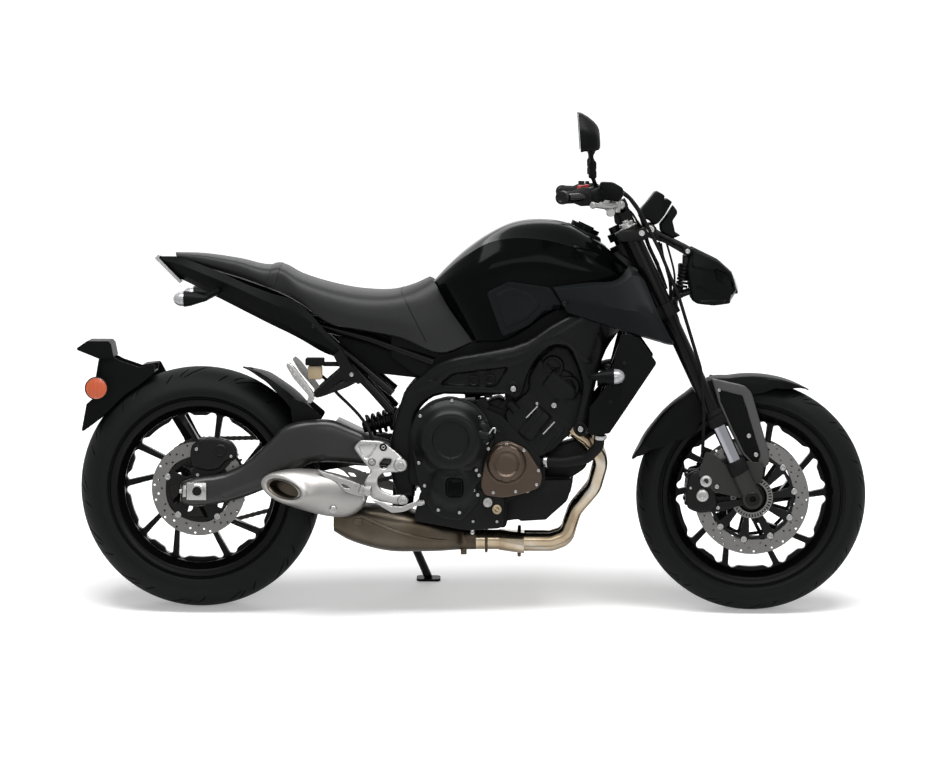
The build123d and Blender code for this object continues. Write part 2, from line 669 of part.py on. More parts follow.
spar_room = side_plate([(600, 640), (741, 690), (853, 719), (915, 760), (1000, 812),
                        (1030, 858), (1150, 870), (1150, 600), (600, 600)], -far, far)
tank_form = tank_form - head_room - nose_room - spar_room - lock_rooms
knee_side = [(752, 830), (808, 862), (914, 843), (954, 784), (898, 740), (858, 700),
             (791, 690)]
knee_inner_y = 128.0
knee_cut = side_plate(knee_side, -far, -knee_inner_y, 10)
knee_room = side_plate(knee_side, -far, -knee_inner_y + panel_gap, 10)
knee_panel = tank_form & knee_cut
cap_centre = Vector(1000, 0, 992)
cap_normal = Vector(0.42, 0, 0.9075)
cap_radius = 39.0
cap_height = 11.0
neck_radius = 27.0
neck_depth = 46.0
cap_plane = Plane(origin=cap_centre, x_dir=(0, 1, 0), z_dir=cap_normal)
fuel_tank = tank_form - knee_room - mirrored(knee_room)
fuel_tank -= extrude(cap_plane * Circle(cap_radius + 5), 60)
fuel_tank -= extrude(cap_plane.offset(-neck_depth) * Circle(neck_radius), 100)
add("fuel_tank", fuel_tank)
add("knee_panels", both(knee_panel))

hinge_offset = cap_radius + 1.0
cap_fore = Vector(0.9075, 0, -0.42)
cap_lift = 0.6
cap_disc = extrude(cap_plane.offset(cap_lift) * Circle(cap_radius), cap_height)
key_cover = extrude(cap_plane.offset(cap_lift + cap_height) * RectangleRounded(20, 44, 9), 4)
add("fuel_cap", cap_disc + key_cover)

scoop_side = [(919, 847), (1010, 856), (1082, 864), (1118, 904), (1141, 895), (1148, 876),
              (1229, 712), (1222, 704), (1141, 725), (1040, 752), (958, 780)]
scoop_plan = [(905, -176), (990, -202), (1100, -216), (1236, -212), (1236, -198),
              (1160, -190), (1100, -176), (905, -164)]
scoop = side_plate(scoop_side, -far, -100, 5) & plan_plate(scoop_plan, 650, 950)
scoop_inner = side_plate([(946, 828), (1060, 838), (1040, 780), (966, 796)], -frame_outer - 30,
                         -frame_outer + 8, 6)
add("side_scoops", both(scoop + scoop_inner - main_frame - fuel_tank))

# ---- seat and tail ----
seat = sections_along_x([
    (-62, 6, [(34, 917), (46, 919), (44, 926), (20, 928)]),
    (60, 8, [(52, 884), (72, 886), (70, 906), (30, 914)]),
    (190, 12, [(78, 836), (112, 842), (104, 880), (44, 895)]),
    (272, 14, [(86, 802), (122, 810), (116, 856), (48, 868)]),
    (340, 16, [(84, 748), (126, 766), (120, 826), (50, 844)]),
    (430, 18, [(86, 738), (136, 760), (128, 814), (54, 832)]),
    (520, 18, [(84, 722), (128, 750), (116, 814), (50, 832)]),
    (590, 12, [(60, 694), (106, 716), (90, 836), (40, 856)]),
    (604, 12, [(62, 684), (110, 704), (96, 816), (40, 830)]),
    (622, 10, [(64, 678), (114, 694), (104, 796), (40, 812)]),
    (656, 8, [(72, 672), (119, 682), (112, 748), (40, 758)]),
    (708, 4, [(84, 689), (120, 690), (118, 701), (60, 704)]),
], ruled=True)
add("seat", seat)

# ---- what fills the frame under the seat and the tank ----
battery_box = side_plate([(348, 734), (430, 726), (520, 710), (598, 676), (596, 614), (572, 606),
                          (460, 618), (386, 654)], -66, 66, 12)
add("battery_box", battery_box - subframe - seat)
airbox = side_plate([(612, 604), (612, 660), (652, 660), (706, 676), (726, 709), (840, 709),
                     (878, 764), (914, 792), (946, 792), (946, 690), (848, 688), (800, 604)],
                    -66, 66, 14)
airbox_shoulder = side_plate([(706, 640), (706, 674), (726, 706), (838, 706), (912, 780),
                              (936, 780), (936, 694), (846, 692), (786, 640)], -96, 96, 10)
airbox = (airbox + airbox_shoulder) - seat - fuel_tank
add("airbox", airbox - cylinder_head)
intakes = [rod((690, y, 578), (816, y, 592), 24) for y in (-66, 0, 66)]
intake_flanges = [rod((716, y, 581), (728, y, 582.3), 30) for y in (-66, 0, 66)]
fuel_rail = side_plate([(742, 556), (742, 600), (764, 602), (764, 558)], -92, 92, 6)
throttle_bodies = fuel_rail
for piece in intakes + intake_flanges:
    throttle_bodies += piece
add("throttle_bodies", throttle_bodies - cylinder_head - crankcase - airbox)

cowl_side = [(-114, 918), (-91, 921), (-48, 910), (61, 873), (121, 846), (252, 805),
             (272, 791), (362, 694), (362, 664), (325, 671), (259, 711), (133, 770),
             (34, 814), (-2, 832), (-48, 852)]
cowl_plan = [(-120, -30), (-40, -58), (120, -104), (260, -130), (375, -122), (375, -112),
             (260, -119), (120, -92), (-40, -40), (-60, 0), (-120, 0)]
cowl = side_plate(cowl_side, -far, 0, 5) & plan_plate(cowl_plan, 600, 1000)
under_tray = side_plate([(-96, 896), (40, 860), (180, 800), (178, 790), (30, 846),
                         (-60, 868)], -32, 32, 2)
tray_room = side_plate([(-70, 960), (-70, 880), (200, 800), (200, 960)], -24, 24)
tail_cowl = cowl + mirrored(cowl) + (under_tray - tray_room) - subframe
add("tail_cowl", tail_cowl)
lamp_side = [(-120, 913), (-110, 923), (-44, 857), (-54, 847)]
tail_lamp = side_plate(lamp_side, -34, 34, 2)
add("tail_lamp", tail_lamp - side_plate(cowl_side, -far, far, 5) - tail_cowl)


# ---- indicators ----
def indicator(root, tip, lens_length):
    """Bullet-shaped lamp on a short stalk, growing from the machine to its side."""
    root = Vector(*root)
    tip = Vector(*tip)
    stalk = rod(root, tip - Vector(14, 0, 0), 7)
    plane = Plane(origin=tip, x_dir=(1, 0, 0), z_dir=(0, 1, 0))
    half = make_face([Line((-46, 0), (lens_length, 0)),
                      ThreePointArc((lens_length, 0), (lens_length * 0.72, 15), (0, 21)),
                      ThreePointArc((0, 21), (-30, 13), (-46, 0))])
    body = revolve(plane * half, Axis(tip, (1, 0, 0)))
    return stalk + body


add("indicators", both(indicator((60, -78, 838), (12, -160, 812), 26) - cowl),
    both(indicator((1080, -192, 622), (1058, -236, 622), 34) - shroud))

# ---- rider footrests, levers and passenger pegs ----
bracket_y = -166.0
bracket_thick = 9.0
bracket_side = [(411, 441), (425, 463), (484, 461), (504, 446), (536, 422), (550, 402),
                (532, 382), (498, 384), (484, 366), (496, 344), (540, 330), (556, 316),
                (544, 298), (490, 306), (456, 320), (447, 330), (444, 362), (458, 384)]
bracket = side_plate(bracket_side, bracket_y - bracket_thick, bracket_y, 6)
bracket -= side_plate([(484, 424), (512, 412), (508, 402), (482, 412)], -far, far, 3)
bracket_bosses = ((530, 402), (540, 314))
for x, z in bracket_bosses:
    bracket += disc((x, z), bracket_y - bracket_thick - 4, bracket_y, 13)
heel_guard = side_plate([(327, 400), (345, 380), (400, 352), (446, 344), (446, 322),
                         (424, 328), (370, 338)], bracket_y - bracket_thick, bracket_y - 4, 3)
bracket = bracket + heel_guard


def bracket_to(plate):
    """One hanger with its two spacers reaching the frame plate."""
    whole = bracket
    for x, z in bracket_bosses:
        whole = whole + disc((x, z), bracket_y - 1, -plate, 10)
    return whole


add("footrest_brackets", bracket_to(plate_outer), mirrored(bracket_to(plate_outer_left)))

peg_x = 462.0
peg_z = 345.0
rider_peg = extrude(Plane(origin=(peg_x, bracket_y - bracket_thick, peg_z),
                          x_dir=(1, 0, 0), z_dir=(0, -1, 0)) * RectangleRounded(26, 18, 6),
                    96)
for k in range(6):
    z = peg_z + 9
    y = bracket_y - bracket_thick - 18 - 13 * k
    rider_peg -= plan_plate([(peg_x - 14, y), (peg_x + 14, y), (peg_x + 14, y - 5),
                             (peg_x - 14, y - 5)], z - 2.5, z + 3)
passenger_peg = rod((300, -130, 566), (244, -150, 640), 11, 9)
add("footpegs", both(rider_peg), both(passenger_peg - hanger))

pedal = side_plate([(451, 318), (470, 322), (512, 296), (586, 308), (592, 300), (584, 292),
                    (512, 280), (462, 302)], bracket_y - bracket_thick - 10,
                   bracket_y - bracket_thick, 3)
pedal += disc((584, 300), bracket_y - bracket_thick - 36, bracket_y - bracket_thick, 8)
shift_y = -bracket_y + bracket_thick
shifter = side_plate([(526, 326), (546, 332), (602, 318), (612, 306), (602, 300), (534, 308)],
                     shift_y + 4.3, shift_y + 12, 4)
shifter += disc((604, 309), shift_y + 6, shift_y + 42, 8)
shift_rod = rod((570, shift_y + 8, 318), (604, shift_y - 20, 420), 4)
add("foot_levers", pedal, shifter + shift_rod)

# ---- swingarm, hugger, shock ----
arm_right_side = [(-44, 334), (-11, 345), (68, 360), (103, 380), (187, 451), (227, 491),
                  (264, 498), (300, 503), (341, 503), (376, 489), (420, 468), (540, 428),
                  (556, 400), (540, 372), (404, 388), (341, 390), (296, 387), (257, 366),
                  (172, 316), (68, 280), (19, 272), (-44, 276)]
arm_end = plate_inner - 1.0
arm_right_plan = [(-60, -128), (160, -128), (330, -140), (420, -130), (474, -104),
                  (488, -arm_end), (575, -arm_end), (575, -40), (380, -40), (345, -88),
                  (310, -98), (-60, -98)]
arm_right = side_plate(arm_right_side, -far, 0, 8) & plan_plate(arm_right_plan, 200, 600)
arm_left_side = [(-44, 340), (-10, 348), (80, 352), (200, 392), (330, 416), (540, 424),
                 (556, 400), (540, 372), (400, 366), (200, 318), (60, 280), (-44, 284)]
arm_left_plan = [(-60, 152), (180, 152), (400, 96), (474, 84), (488, arm_end),
                 (575, arm_end), (575, 40), (380, 40), (330, 94), (200, 122), (-60, 122)]
arm_left = side_plate(arm_left_side, 0, far, 8) & plan_plate(arm_left_plan, 200, 600)
arm_cross = side_plate([(352, 498), (420, 466), (470, 430), (470, 372), (400, 390),
                        (366, 420)], -62, 62, 6)
pivot_tube = disc((pivot_x, pivot_z), -arm_end, arm_end, 26)
swingarm = arm_right + arm_left + arm_cross + pivot_tube
swingarm += disc((pivot_x, pivot_z), -plate_outer + 2, plate_outer_left - 2,
                 swingarm_pivot_radius)
hub_clear = 0.5
rear_axle_bar = disc(rear_axle, -134, 158, wheel_axle_radius)
axle_nut = disc(rear_axle, -144, -128, 21)
spacer_right = disc(rear_axle, -98, -rear_disc_y - disc_thickness / 2 - hub_clear, 19)
spacer_left = disc(rear_axle, chain_y + chain_width / 2 - 3, 122, 19)
adjusters = [side_plate([(-46, 300), (-46, 330), (26, 330), (26, 300)], low, high, 5)
             for low, high in ((-134, -128), (152, 158))]
swingarm += rear_axle_bar + axle_nut + spacer_right + spacer_left + adjusters[0] + adjusters[1]
add("swingarm", swingarm)

hugger_band = turned([(-98, 300), (-98, 322), (-60, 337), (60, 337), (92, 322), (92, 300),
                      (89, 300), (89, 320), (58, 333), (-58, 333), (-95, 320), (-95, 300)],
                     rear_axle)
hugger_cut = side_plate([(100, 600), (119, 630), (186, 610), (280, 560), (380, 470),
                         (330, 430), (262, 470), (170, 560)], -far, far)
add("rear_hugger", hugger_band & hugger_cut)

shock = [rod((420, 0, 470), (560, 0, 512), 17), rod((440, 0, 476), (532, 0, 504), 30)]
add("rear_shock", shock[0] + shock[1] - cross_back - swingarm)

# ---- plate holder ----
holder_y = 158.3               # on the outer face of the left arm
holder_inner = 56.0            # half width over the flap's cheeks
flap_radius = rear_tyre_radius + 9.0
plate_low = Vector(-279, 0, 547)
plate_high = Vector(-261, 0, 653)
plate_thick = 4.0
plate_normal = Vector(-(plate_high - plate_low).Z, 0, (plate_high - plate_low).X).normalized()
plate_centre = (plate_low + plate_high) / 2
plate_plane = Plane(origin=plate_centre, x_dir=(0, 1, 0), z_dir=plate_normal)
plate_bolt_spacing = 140.0
plate_bolt_radius = 3.2
flap_side = [(-261, 653), (-224, 654), (-209, 646), (-159, 629), (-116, 637), (-119, 614),
             (-169, 573), (-219, 532), (-269, 487), (-310, 456), (-296, 532), (-279, 547)]
cheek = side_plate(flap_side, -holder_inner, -holder_inner + plate_thick, 4)
cheek -= disc(rear_axle, -far, far, rear_tyre_radius - 5)
flap = ring(rear_axle, -holder_inner, holder_inner, flap_radius + plate_thick, flap_radius)
flap &= side_plate(flap_side, -far, far, 4)
plate_face = extrude(plate_plane * RectangleRounded(plate_bolt_spacing + 22, 110, 8),
                     -plate_thick)
plate_hood = side_plate([(-321, 678), (-294, 697), (-238, 697), (-231, 689), (-224, 654),
                         (-261, 650), (-319, 673)], -62, 62, 4)
holder_arm = side_plate([(36, 352), (36, 372), (-20, 440), (-98, 590), (-122, 634), (-160, 630),
                         (-170, 606), (-140, 560), (-60, 430), (-34, 352), (-34, 310), (36, 310)],
                        holder_y, holder_y + 9, 8)
holder_bridge = side_plate([(-128, 613), (-122, 634), (-160, 630), (-170, 607)],
                           holder_inner - plate_thick, holder_y + 9, 5)
reflector_arm = side_plate([(-264, 604), (-250, 604), (-250, 562), (-278, 562), (-278, 592)],
                           -90, -78, 3)
reflector = disc((-266, 576), -97, -89, 28)
plate_holder = cheek + mirrored(cheek) + flap + plate_face + plate_hood
plate_holder = plate_holder + holder_arm + holder_bridge + reflector_arm + reflector
for y in (-plate_bolt_spacing / 2, plate_bolt_spacing / 2):
    plate_holder -= extrude(plate_plane.offset(-plate_thick - 1) * Pos(y, 0) *
                            Circle(plate_bolt_radius), plate_thick + 2)
add("plate_holder", plate_holder)

# ---- rear brake ----
caliper_outline = [(-20, 434), (4, 450), (88, 436), (104, 408), (96, 386), (52, 364),
                   (-14, 348)]
rear_caliper = side_plate(caliper_outline, -97.5, -64, 8)
rear_caliper -= ring(rear_axle, -rear_disc_y - 3.2, -rear_disc_y + 3.2,
                     rear_disc_radius + 3, 20)
rear_caliper -= disc(rear_axle, -far, 0, 62)
add("rear_caliper", rear_caliper)

reservoir = extrude(Plane(origin=(309, -112, 620)) * Circle(21), 36)
reservoir_cap = extrude(Plane(origin=(309, -112, 656)) * Circle(23.5), 11)
reservoir_stay = side_plate([(309, 632), (309, 648), (372, 650), (384, 634)],
                            -125.7, -120, 4)
add("brake_reservoir", (reservoir + reservoir_cap + reservoir_stay) - (hanger_link + hanger))

# ---- side stand, drawn down on the leaned ground ----
lean_rad = radians(lean)
pivot_point = Vector(*stand_pivot)
foot_x = stand_pivot[0] + stand_foot_reach[0]
foot_y = stand_pivot[1] + stand_foot_reach[1]
foot_point = Vector(foot_x, foot_y, foot_y * tan(lean_rad))
ground_up = Vector(0, -sin(lean_rad), cos(lean_rad))
stand_axis = Vector(0, cos(radians(stand_axis_tilt)), sin(radians(stand_axis_tilt)))
foot_plane = Plane(origin=foot_point, x_dir=(1, 0, 0), z_dir=ground_up)
stand_foot = extrude(foot_plane * RectangleRounded(64, 40, 12), 7)
leg_end = foot_point + ground_up * 6
leg_run = (leg_end - pivot_point).normalized()
leg_square = (leg_run - stand_axis * leg_run.dot(stand_axis)).normalized()
knuckle = pivot_point + leg_run * 62
stand_leg = rod(pivot_point + leg_square * 14, knuckle, 6.5)
stand_leg += rod(pivot_point + leg_run * 34, leg_end, 11)
stand_eye = extrude(Plane(origin=pivot_point - stand_axis * 7, z_dir=stand_axis) *
                    Circle(19), 14)
stand_bolt_radius = 8.0
bolt_plane = Plane(origin=pivot_point - stand_axis * 24, z_dir=stand_axis)
bolt_bore = extrude(bolt_plane * Circle(stand_bolt_radius + run_gap), 40)
add("side_stand", stand_foot + stand_leg + stand_eye - bolt_bore)
stand_lug = extrude(bolt_plane * Circle(21), 16.7)
stand_bolt = extrude(bolt_plane * Circle(stand_bolt_radius), 33)
bolt_head = extrude(bolt_plane.offset(31.3) * RegularPolygon(13, 6), 8)
nodes["main_frame"] = (main_frame + stand_lug + stand_bolt + bolt_head).solids()

# ---- steering: yokes, fork, axle ----
top_along = (990.0 - front_tyre_radius) / cos(radians(rake))
low_along = (785.0 - front_tyre_radius) / cos(radians(rake))


def yoke(along, thick, reach):
    outline = flat([(-fork_offset - 25, -26), (-fork_offset - 25, 26), (-fork_offset - 6, 48),
                    (-24, fork_half_spacing + 20), (-6, fork_half_spacing + reach),
                    (22, fork_half_spacing + reach), (34, fork_half_spacing - 6), (12, 40),
                    (12, -40), (34, -fork_half_spacing + 6), (22, -fork_half_spacing - reach),
                    (-6, -fork_half_spacing - reach), (-24, -fork_half_spacing - 20),
                    (-fork_offset - 6, -48)], 12)
    return extrude(across_fork(along) * outline, thick)


tube_top = top_along + 30
tube_bottom = 250.0
stanchion_bottom = 60.0
top_yoke = yoke(top_along - 8, 20, fork_tube_radius + 4)
low_yoke = yoke(low_along - 14, 34, fork_tube_radius + 6)
stem = extrude(across_fork(low_along - 12, -fork_offset) * Circle(stem_radius),
               top_along - low_along + 40)
clamp_posts = [extrude(across_fork(top_along + 11, 6, y) * RectangleRounded(34, 26, 7), 52)
               for y in (-48, 48)]
lift_bore_radius = 8.5         # takes the pin of a stand that lifts by the steering stem
lift_bore_depth = 30.0
spindle_bore_radius = 8.5      # takes the pin of a stand that lifts by the front spindle
spindle_bore_depth = 40.0
stem_foot = low_along - 14
lift_bore = extrude(across_fork(stem_foot - 1, -fork_offset) * Circle(lift_bore_radius),
                    lift_bore_depth + 1)
yokes = top_yoke + low_yoke + stem + clamp_posts[0] + clamp_posts[1] - lift_bore
for y in (-fork_half_spacing, fork_half_spacing):
    yokes -= extrude(across_fork(low_along - 60, 0, y) * Circle(fork_tube_radius),
                     top_along - low_along + 160)
fork_tubes = []
stanchions = []
feet = []
caliper_outer = front_disc_y + 29
guard_leg_y = 90.0
for side in (-1, 1):
    y = fork_half_spacing * side
    upper = extrude(across_fork(tube_bottom + 60, 0, y) * Circle(fork_tube_radius),
                    tube_top - tube_bottom - 60)
    lower = extrude(across_fork(tube_bottom, 0, y) * Circle(fork_tube_radius - 3.5), 60)
    cap = extrude(across_fork(tube_top, 0, y) * RegularPolygon(15, 6), 8)
    fork_tubes.append(upper + lower + cap)
    stanchions.append(extrude(across_fork(stanchion_bottom + 30, 0, y) *
                              Circle(stanchion_radius),
                              tube_bottom - stanchion_bottom - 30))
    foot = extrude(across_fork(stanchion_bottom - 60, 0, y) * Circle(stanchion_radius + 5), 90)
    foot += disc(front_axle, min(y - 24 * side, y + 22 * side), max(y - 24 * side,
                                                                  y + 22 * side), 25)
    lug = side_plate([(1318, 420), (1345, 410), (1400, 360), (1428, 318), (1412, 300),
                      (1340, 316), (1300, 360)], -caliper_outer - 9, -caliper_outer - seat_gap, 6)
    guard_lug = side_plate([(1419, 397), (1470, 392), (1464, 340), (1420, 330)],
                           -guard_leg_y - 7, -guard_leg_y - seat_gap, 6)
    if side > 0:
        lug = mirrored(lug)
        guard_lug = mirrored(guard_lug)
    feet.append(foot + lug + guard_lug)
spindle_end = fork_half_spacing + 26
axle = disc(front_axle, -spindle_end, spindle_end, wheel_axle_radius)
axle_bore = disc(front_axle, -spindle_end - 1, -spindle_end + spindle_bore_depth,
                 spindle_bore_radius)
spacers = [ring(front_axle, low, high, 18, 1) for low, high in (
    (-fork_half_spacing + 22, -front_hub_half - hub_clear),
    (front_hub_half + hub_clear, fork_half_spacing - 22))]
add("fork_yokes", yokes)
add("fork_tubes", fork_tubes)
add("fork_stanchions", stanchions)
add("fork_feet", feet[0] + feet[1] + axle + spacers[0] + spacers[1] - axle_bore)

# ---- handlebar and controls ----
bar_radius = 11.0
bar_centre = fork_point(top_along + 63, 6)
bar_points = [(bar_centre.X, 0, bar_centre.Z), (bar_centre.X, -66, bar_centre.Z),
              (bar_centre.X - 28, -150, bar_centre.Z + 32),
              (bar_centre.X - 51, -236, bar_centre.Z + 35),
              (bar_centre.X - 143, -404, bar_centre.Z + 34)]
half_bar = pipe(bar_points, bar_radius, [40, 40, 60])
handlebar = half_bar + mirrored(half_bar)
clamps = [extrude(across_fork(top_along + 63, 6, y) * RectangleRounded(38, 26, 8), 19)
          for y in (-48, 48)]
bar_run = (Vector(*bar_points[4]) - Vector(*bar_points[3])).normalized()
bar_end = Vector(*bar_points[4])


def on_bar(back):
    """Point on the straight outer run of the bar, measured in from its end."""
    return bar_end - bar_run * back


def sleeve(back_from, back_to, radius):
    start = on_bar(back_to)
    plane = Plane(origin=start, z_dir=bar_run)
    body = extrude(plane * Circle(radius), back_to - back_from)
    return body - extrude(plane.offset(-1) * Circle(bar_radius), back_to - back_from + 2)


clamp_caps = clamps[0] + clamps[1]
add("handlebar", handlebar)
yokes_with_clamps = (yokes + clamp_caps) - handlebar
nodes["fork_yokes"] = yokes_with_clamps.solids()
grip = sleeve(-8, 112, 16.5) + extrude(Plane(origin=on_bar(-8), z_dir=bar_run) * Circle(16), 12)
add("grips", both(grip - half_bar))

switch_box = extrude(Plane(origin=on_bar(150), z_dir=bar_run) * RectangleRounded(38, 44, 10), 36)
master = rod(on_bar(196) + Vector(34, 0, 6), on_bar(158) + Vector(34, 0, 6), 13)
master_clamp = extrude(Plane(origin=on_bar(190), z_dir=bar_run) * RectangleRounded(34, 34, 9),
                       26)
fluid_pot = extrude(Plane(origin=on_bar(178) + Vector(44, 0, 14)) * RectangleRounded(46, 52, 8),
                    36)
right_set = (switch_box + master_clamp + master + fluid_pot) - half_bar
left_set = mirrored((switch_box + master_clamp + master) - half_bar)
add("switchgear", right_set, left_set)

lever_root = on_bar(176) + Vector(46, 0, -8)
lever_mid = on_bar(110) + Vector(62, 0, -12)
lever_tip = on_bar(4) + Vector(44, 0, -14)
lever = pipe([tuple(lever_root), tuple(lever_mid), tuple(lever_tip)], 5.5, [90])
lever += Pos(lever_tip) * Sphere(8)
add("control_levers", both(lever - right_set))

mirror_foot = on_bar(172)
mirror_knee = mirror_foot + Vector(-10, -48, 50)
mirror_neck = mirror_foot + Vector(-12, -58, 138)
mirror_stem = pipe([tuple(mirror_foot + Vector(8, 0, 14)), tuple(mirror_knee),
                    tuple(mirror_neck)], 5, [40])
mirror_knuckle = rod(mirror_knee + (mirror_neck - mirror_knee) * 0.2,
                     mirror_knee + (mirror_neck - mirror_knee) * 0.6, 9)
mirror_head_plane = Plane(origin=mirror_foot + Vector(-24, -98, 170), x_dir=(0, 1, 0),
                          z_dir=(-1, 0, -0.12))
mirror_shell = loft([mirror_head_plane.offset(16) * RectangleRounded(150, 94, 32),
                     mirror_head_plane.offset(4) * RectangleRounded(146, 90, 31),
                     mirror_head_plane.offset(-26) * RectangleRounded(92, 58, 24)])
mirror_root = rod(mirror_foot + Vector(0, 0, 10), mirror_foot + Vector(8, 0, 22), 9)
mirror_set = mirror_shell + mirror_stem + mirror_knuckle + mirror_root
add("mirrors", both(mirror_set - right_set - half_bar))

# ---- headlamp, instrument, mudguard ----
headlamp_side = [(1273, 925), (1279, 950), (1350, 916), (1384, 885), (1402, 831), (1381, 825),
                 (1380, 804), (1338, 799), (1294, 804), (1279, 813), (1267, 888)]
headlamp_plan = [(1240, -92), (1300, -98), (1360, -78), (1404, -30), (1404, 30), (1360, 78),
                 (1300, 98), (1240, 92)]
headlamp = side_plate(headlamp_side, -far, far, 6) & plan_plate(headlamp_plan, 700, 1000)
add("headlamp", headlamp)
bracket_bar = side_plate([(1130, 994), (1150, 1008), (1190, 1000), (1250, 981), (1284, 948),
                          (1276, 874), (1256, 868), (1262, 934), (1238, 964), (1180, 982)],
                         62, 68, 3)
lamp_brackets = both(bracket_bar)
instrument = side_plate([(1149, 1044), (1193, 1098), (1213, 1084), (1230, 1071), (1245, 1053),
                         (1233, 1021), (1242, 991), (1193, 1006), (1155, 1018)], -72, 60, 6)
instrument_stay = side_plate([(1150, 1000), (1176, 1014), (1200, 1016), (1246, 976),
                              (1248, 948), (1234, 948), (1228, 966), (1186, 996),
                              (1160, 990)], -30, 30, 4)
bracket_link = rod((1244 + front_shift, -66, 952), (1244 + front_shift, 66, 952), 7)
add("instrument", instrument + instrument_stay + lamp_brackets[0] + lamp_brackets[1] +
    bracket_link - headlamp - yokes_with_clamps)

guard_clear = 12.0
guard_inner = front_tyre_radius + guard_clear
guard_band = turned([(-64, guard_inner - 34), (-66, guard_inner - 34), (-64, guard_inner - 8),
                     (-44, guard_inner + 4), (44, guard_inner + 4), (64, guard_inner - 8),
                     (66, guard_inner - 34), (64, guard_inner - 34), (61, guard_inner - 9),
                     (42, guard_inner), (-42, guard_inner), (-61, guard_inner - 9)],
                    front_axle)
guard_cut = side_plate([(1440, 300), (1100, 405), (1080, 700), (1600, 700), (1640, 604),
                        (1590, 590)], -far, far)
guard_skirt = side_plate([(1131, 396), (1161, 408), (1282, 456), (1366, 566), (1411, 592),
                          (1411, 640), (1100, 640), (1100, 405)], -67.5, -63.5, 6)
guard_skirt &= disc(front_axle, -far, 0, guard_inner - 10)
guard = (guard_band & guard_cut) + guard_skirt + mirrored(guard_skirt)
guard_leg = side_plate([(1340, 600), (1411, 590), (1434, 572), (1473, 394), (1448, 376),
                        (1414, 445), (1364, 560)], -guard_leg_y, -guard_leg_y + 5, 8)
guard_leg_top = side_plate([(1352, 584), (1410, 584), (1424, 566), (1366, 560)],
                           -guard_leg_y, -60, 6)
guard += guard_leg + guard_leg_top + mirrored(guard_leg + guard_leg_top)
add("front_mudguard", guard)

front_caliper_side = [(1273, 407), (1347, 401), (1366, 352), (1366, 316), (1342, 256),
                      (1273, 270), (1258, 316), (1258, 370)]
caliper = side_plate(front_caliper_side, -caliper_outer, -front_disc_y + 22, 10)
caliper -= disc(front_axle, -front_disc_y - 3.4, -front_disc_y + 3.4, front_disc_radius + 3)
caliper -= disc(front_axle, -far, 0, 100)
add("front_calipers", both(caliper))

hose_start = on_bar(196) + Vector(34, 0, 6)
hose_points = [tuple(hose_start), tuple(hose_start - bar_run * 50),
               *carried([(1150, -152, 1030), (1196, -146, 940), (1246, -146, 820),
                         (1302, -146, 640), (1312, -134, 520), (1312, -86, 450),
                         (1310, -80, 404)])]
brake_hose = pipe(hose_points, 4.5, [36, 40, 60, 90, 90, 40, 30]) - caliper
add("brake_hoses", brake_hose)

# ---- lean onto the stand, then put the origin under the middle ----
front_crown = (front_tyre_half ** 2 + (front_tyre_half * 0.62) ** 2) / (
    2 * front_tyre_half * 0.62)
rear_crown = (rear_tyre_half ** 2 + (rear_tyre_half * 0.62) ** 2) / (2 * rear_tyre_half * 0.62)
front_drop = front_crown * (1 - cos(lean_rad))
rear_drop = rear_crown * (1 - cos(lean_rad))
nose_up = degrees(atan2(front_drop - rear_drop, wheelbase))
stand_down = Pos(0, 0, rear_drop) * Rot(0, -nose_up, 0) * Rot(-lean, 0, 0)

low = [1e9] * 3
high = [-1e9] * 3
for solids in nodes.values():
    for solid in solids:
        box = (stand_down * solid).bounding_box()
        for axis, (a, b) in enumerate(((box.min.X, box.max.X), (box.min.Y, box.max.Y),
                                       (box.min.Z, box.max.Z))):
            low[axis] = min(low[axis], a)
            high[axis] = max(high[axis], b)
centre = Pos(-(low[0] + high[0]) / 2, -(low[1] + high[1]) / 2, -low[2])
placed = centre * stand_down


def spot(x, y, z):
    """A point of the upright machine in the parked frame, metres."""
    point = (placed * Pos(x, y, z)).position
    return tuple(round(value / 1000, 5) for value in (point.X, point.Y, point.Z))


def heading(vector):
    turned_vector = (placed * Pos(*vector)).position - (placed * Pos(0, 0, 0)).position
    return tuple(round(value, 6) for value in turned_vector.normalized())


os.makedirs("parts", exist_ok=True)
for name, solids in nodes.items():
    leaned = [placed * solid for solid in solids]
    whole = Compound(children=leaned) if len(leaned) > 1 else leaned[0]
    export_step(whole, f"parts/{name}.step")
print("size", [round(b - a, 1) for a, b in zip(low, high)], "nodes", len(nodes))
print("steering", spot(steer_x(880), 0, 880), heading((-steer_up.X, 0, -steer_up.Z)))
print("front axle", spot(wheelbase, 0, front_tyre_radius), heading((0, 1, 0)))
print("rear axle", spot(0, 0, rear_tyre_radius))
print("stand", spot(*stand_pivot), heading(tuple(stand_axis)))
hinge_at = cap_centre + cap_fore * hinge_offset + cap_normal * cap_lift
print("cap hinge", spot(*hinge_at), heading((0, 1, 0)))
print("neck", spot(*(cap_centre - cap_normal * neck_depth / 2)), heading(tuple(cap_normal)))
print("spindle bore", spot(wheelbase, -spindle_end + spindle_bore_depth / 2, front_tyre_radius),
      heading((0, -1, 0)))
print("plate bolts", spot(*(plate_centre - plate_normal * plate_thick / 2)),
      heading(tuple(plate_normal)))
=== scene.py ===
import bpy, bmesh, json, math
from mathutils import Matrix, Vector, geometry, kdtree
from mathutils.bvhtree import BVHTree


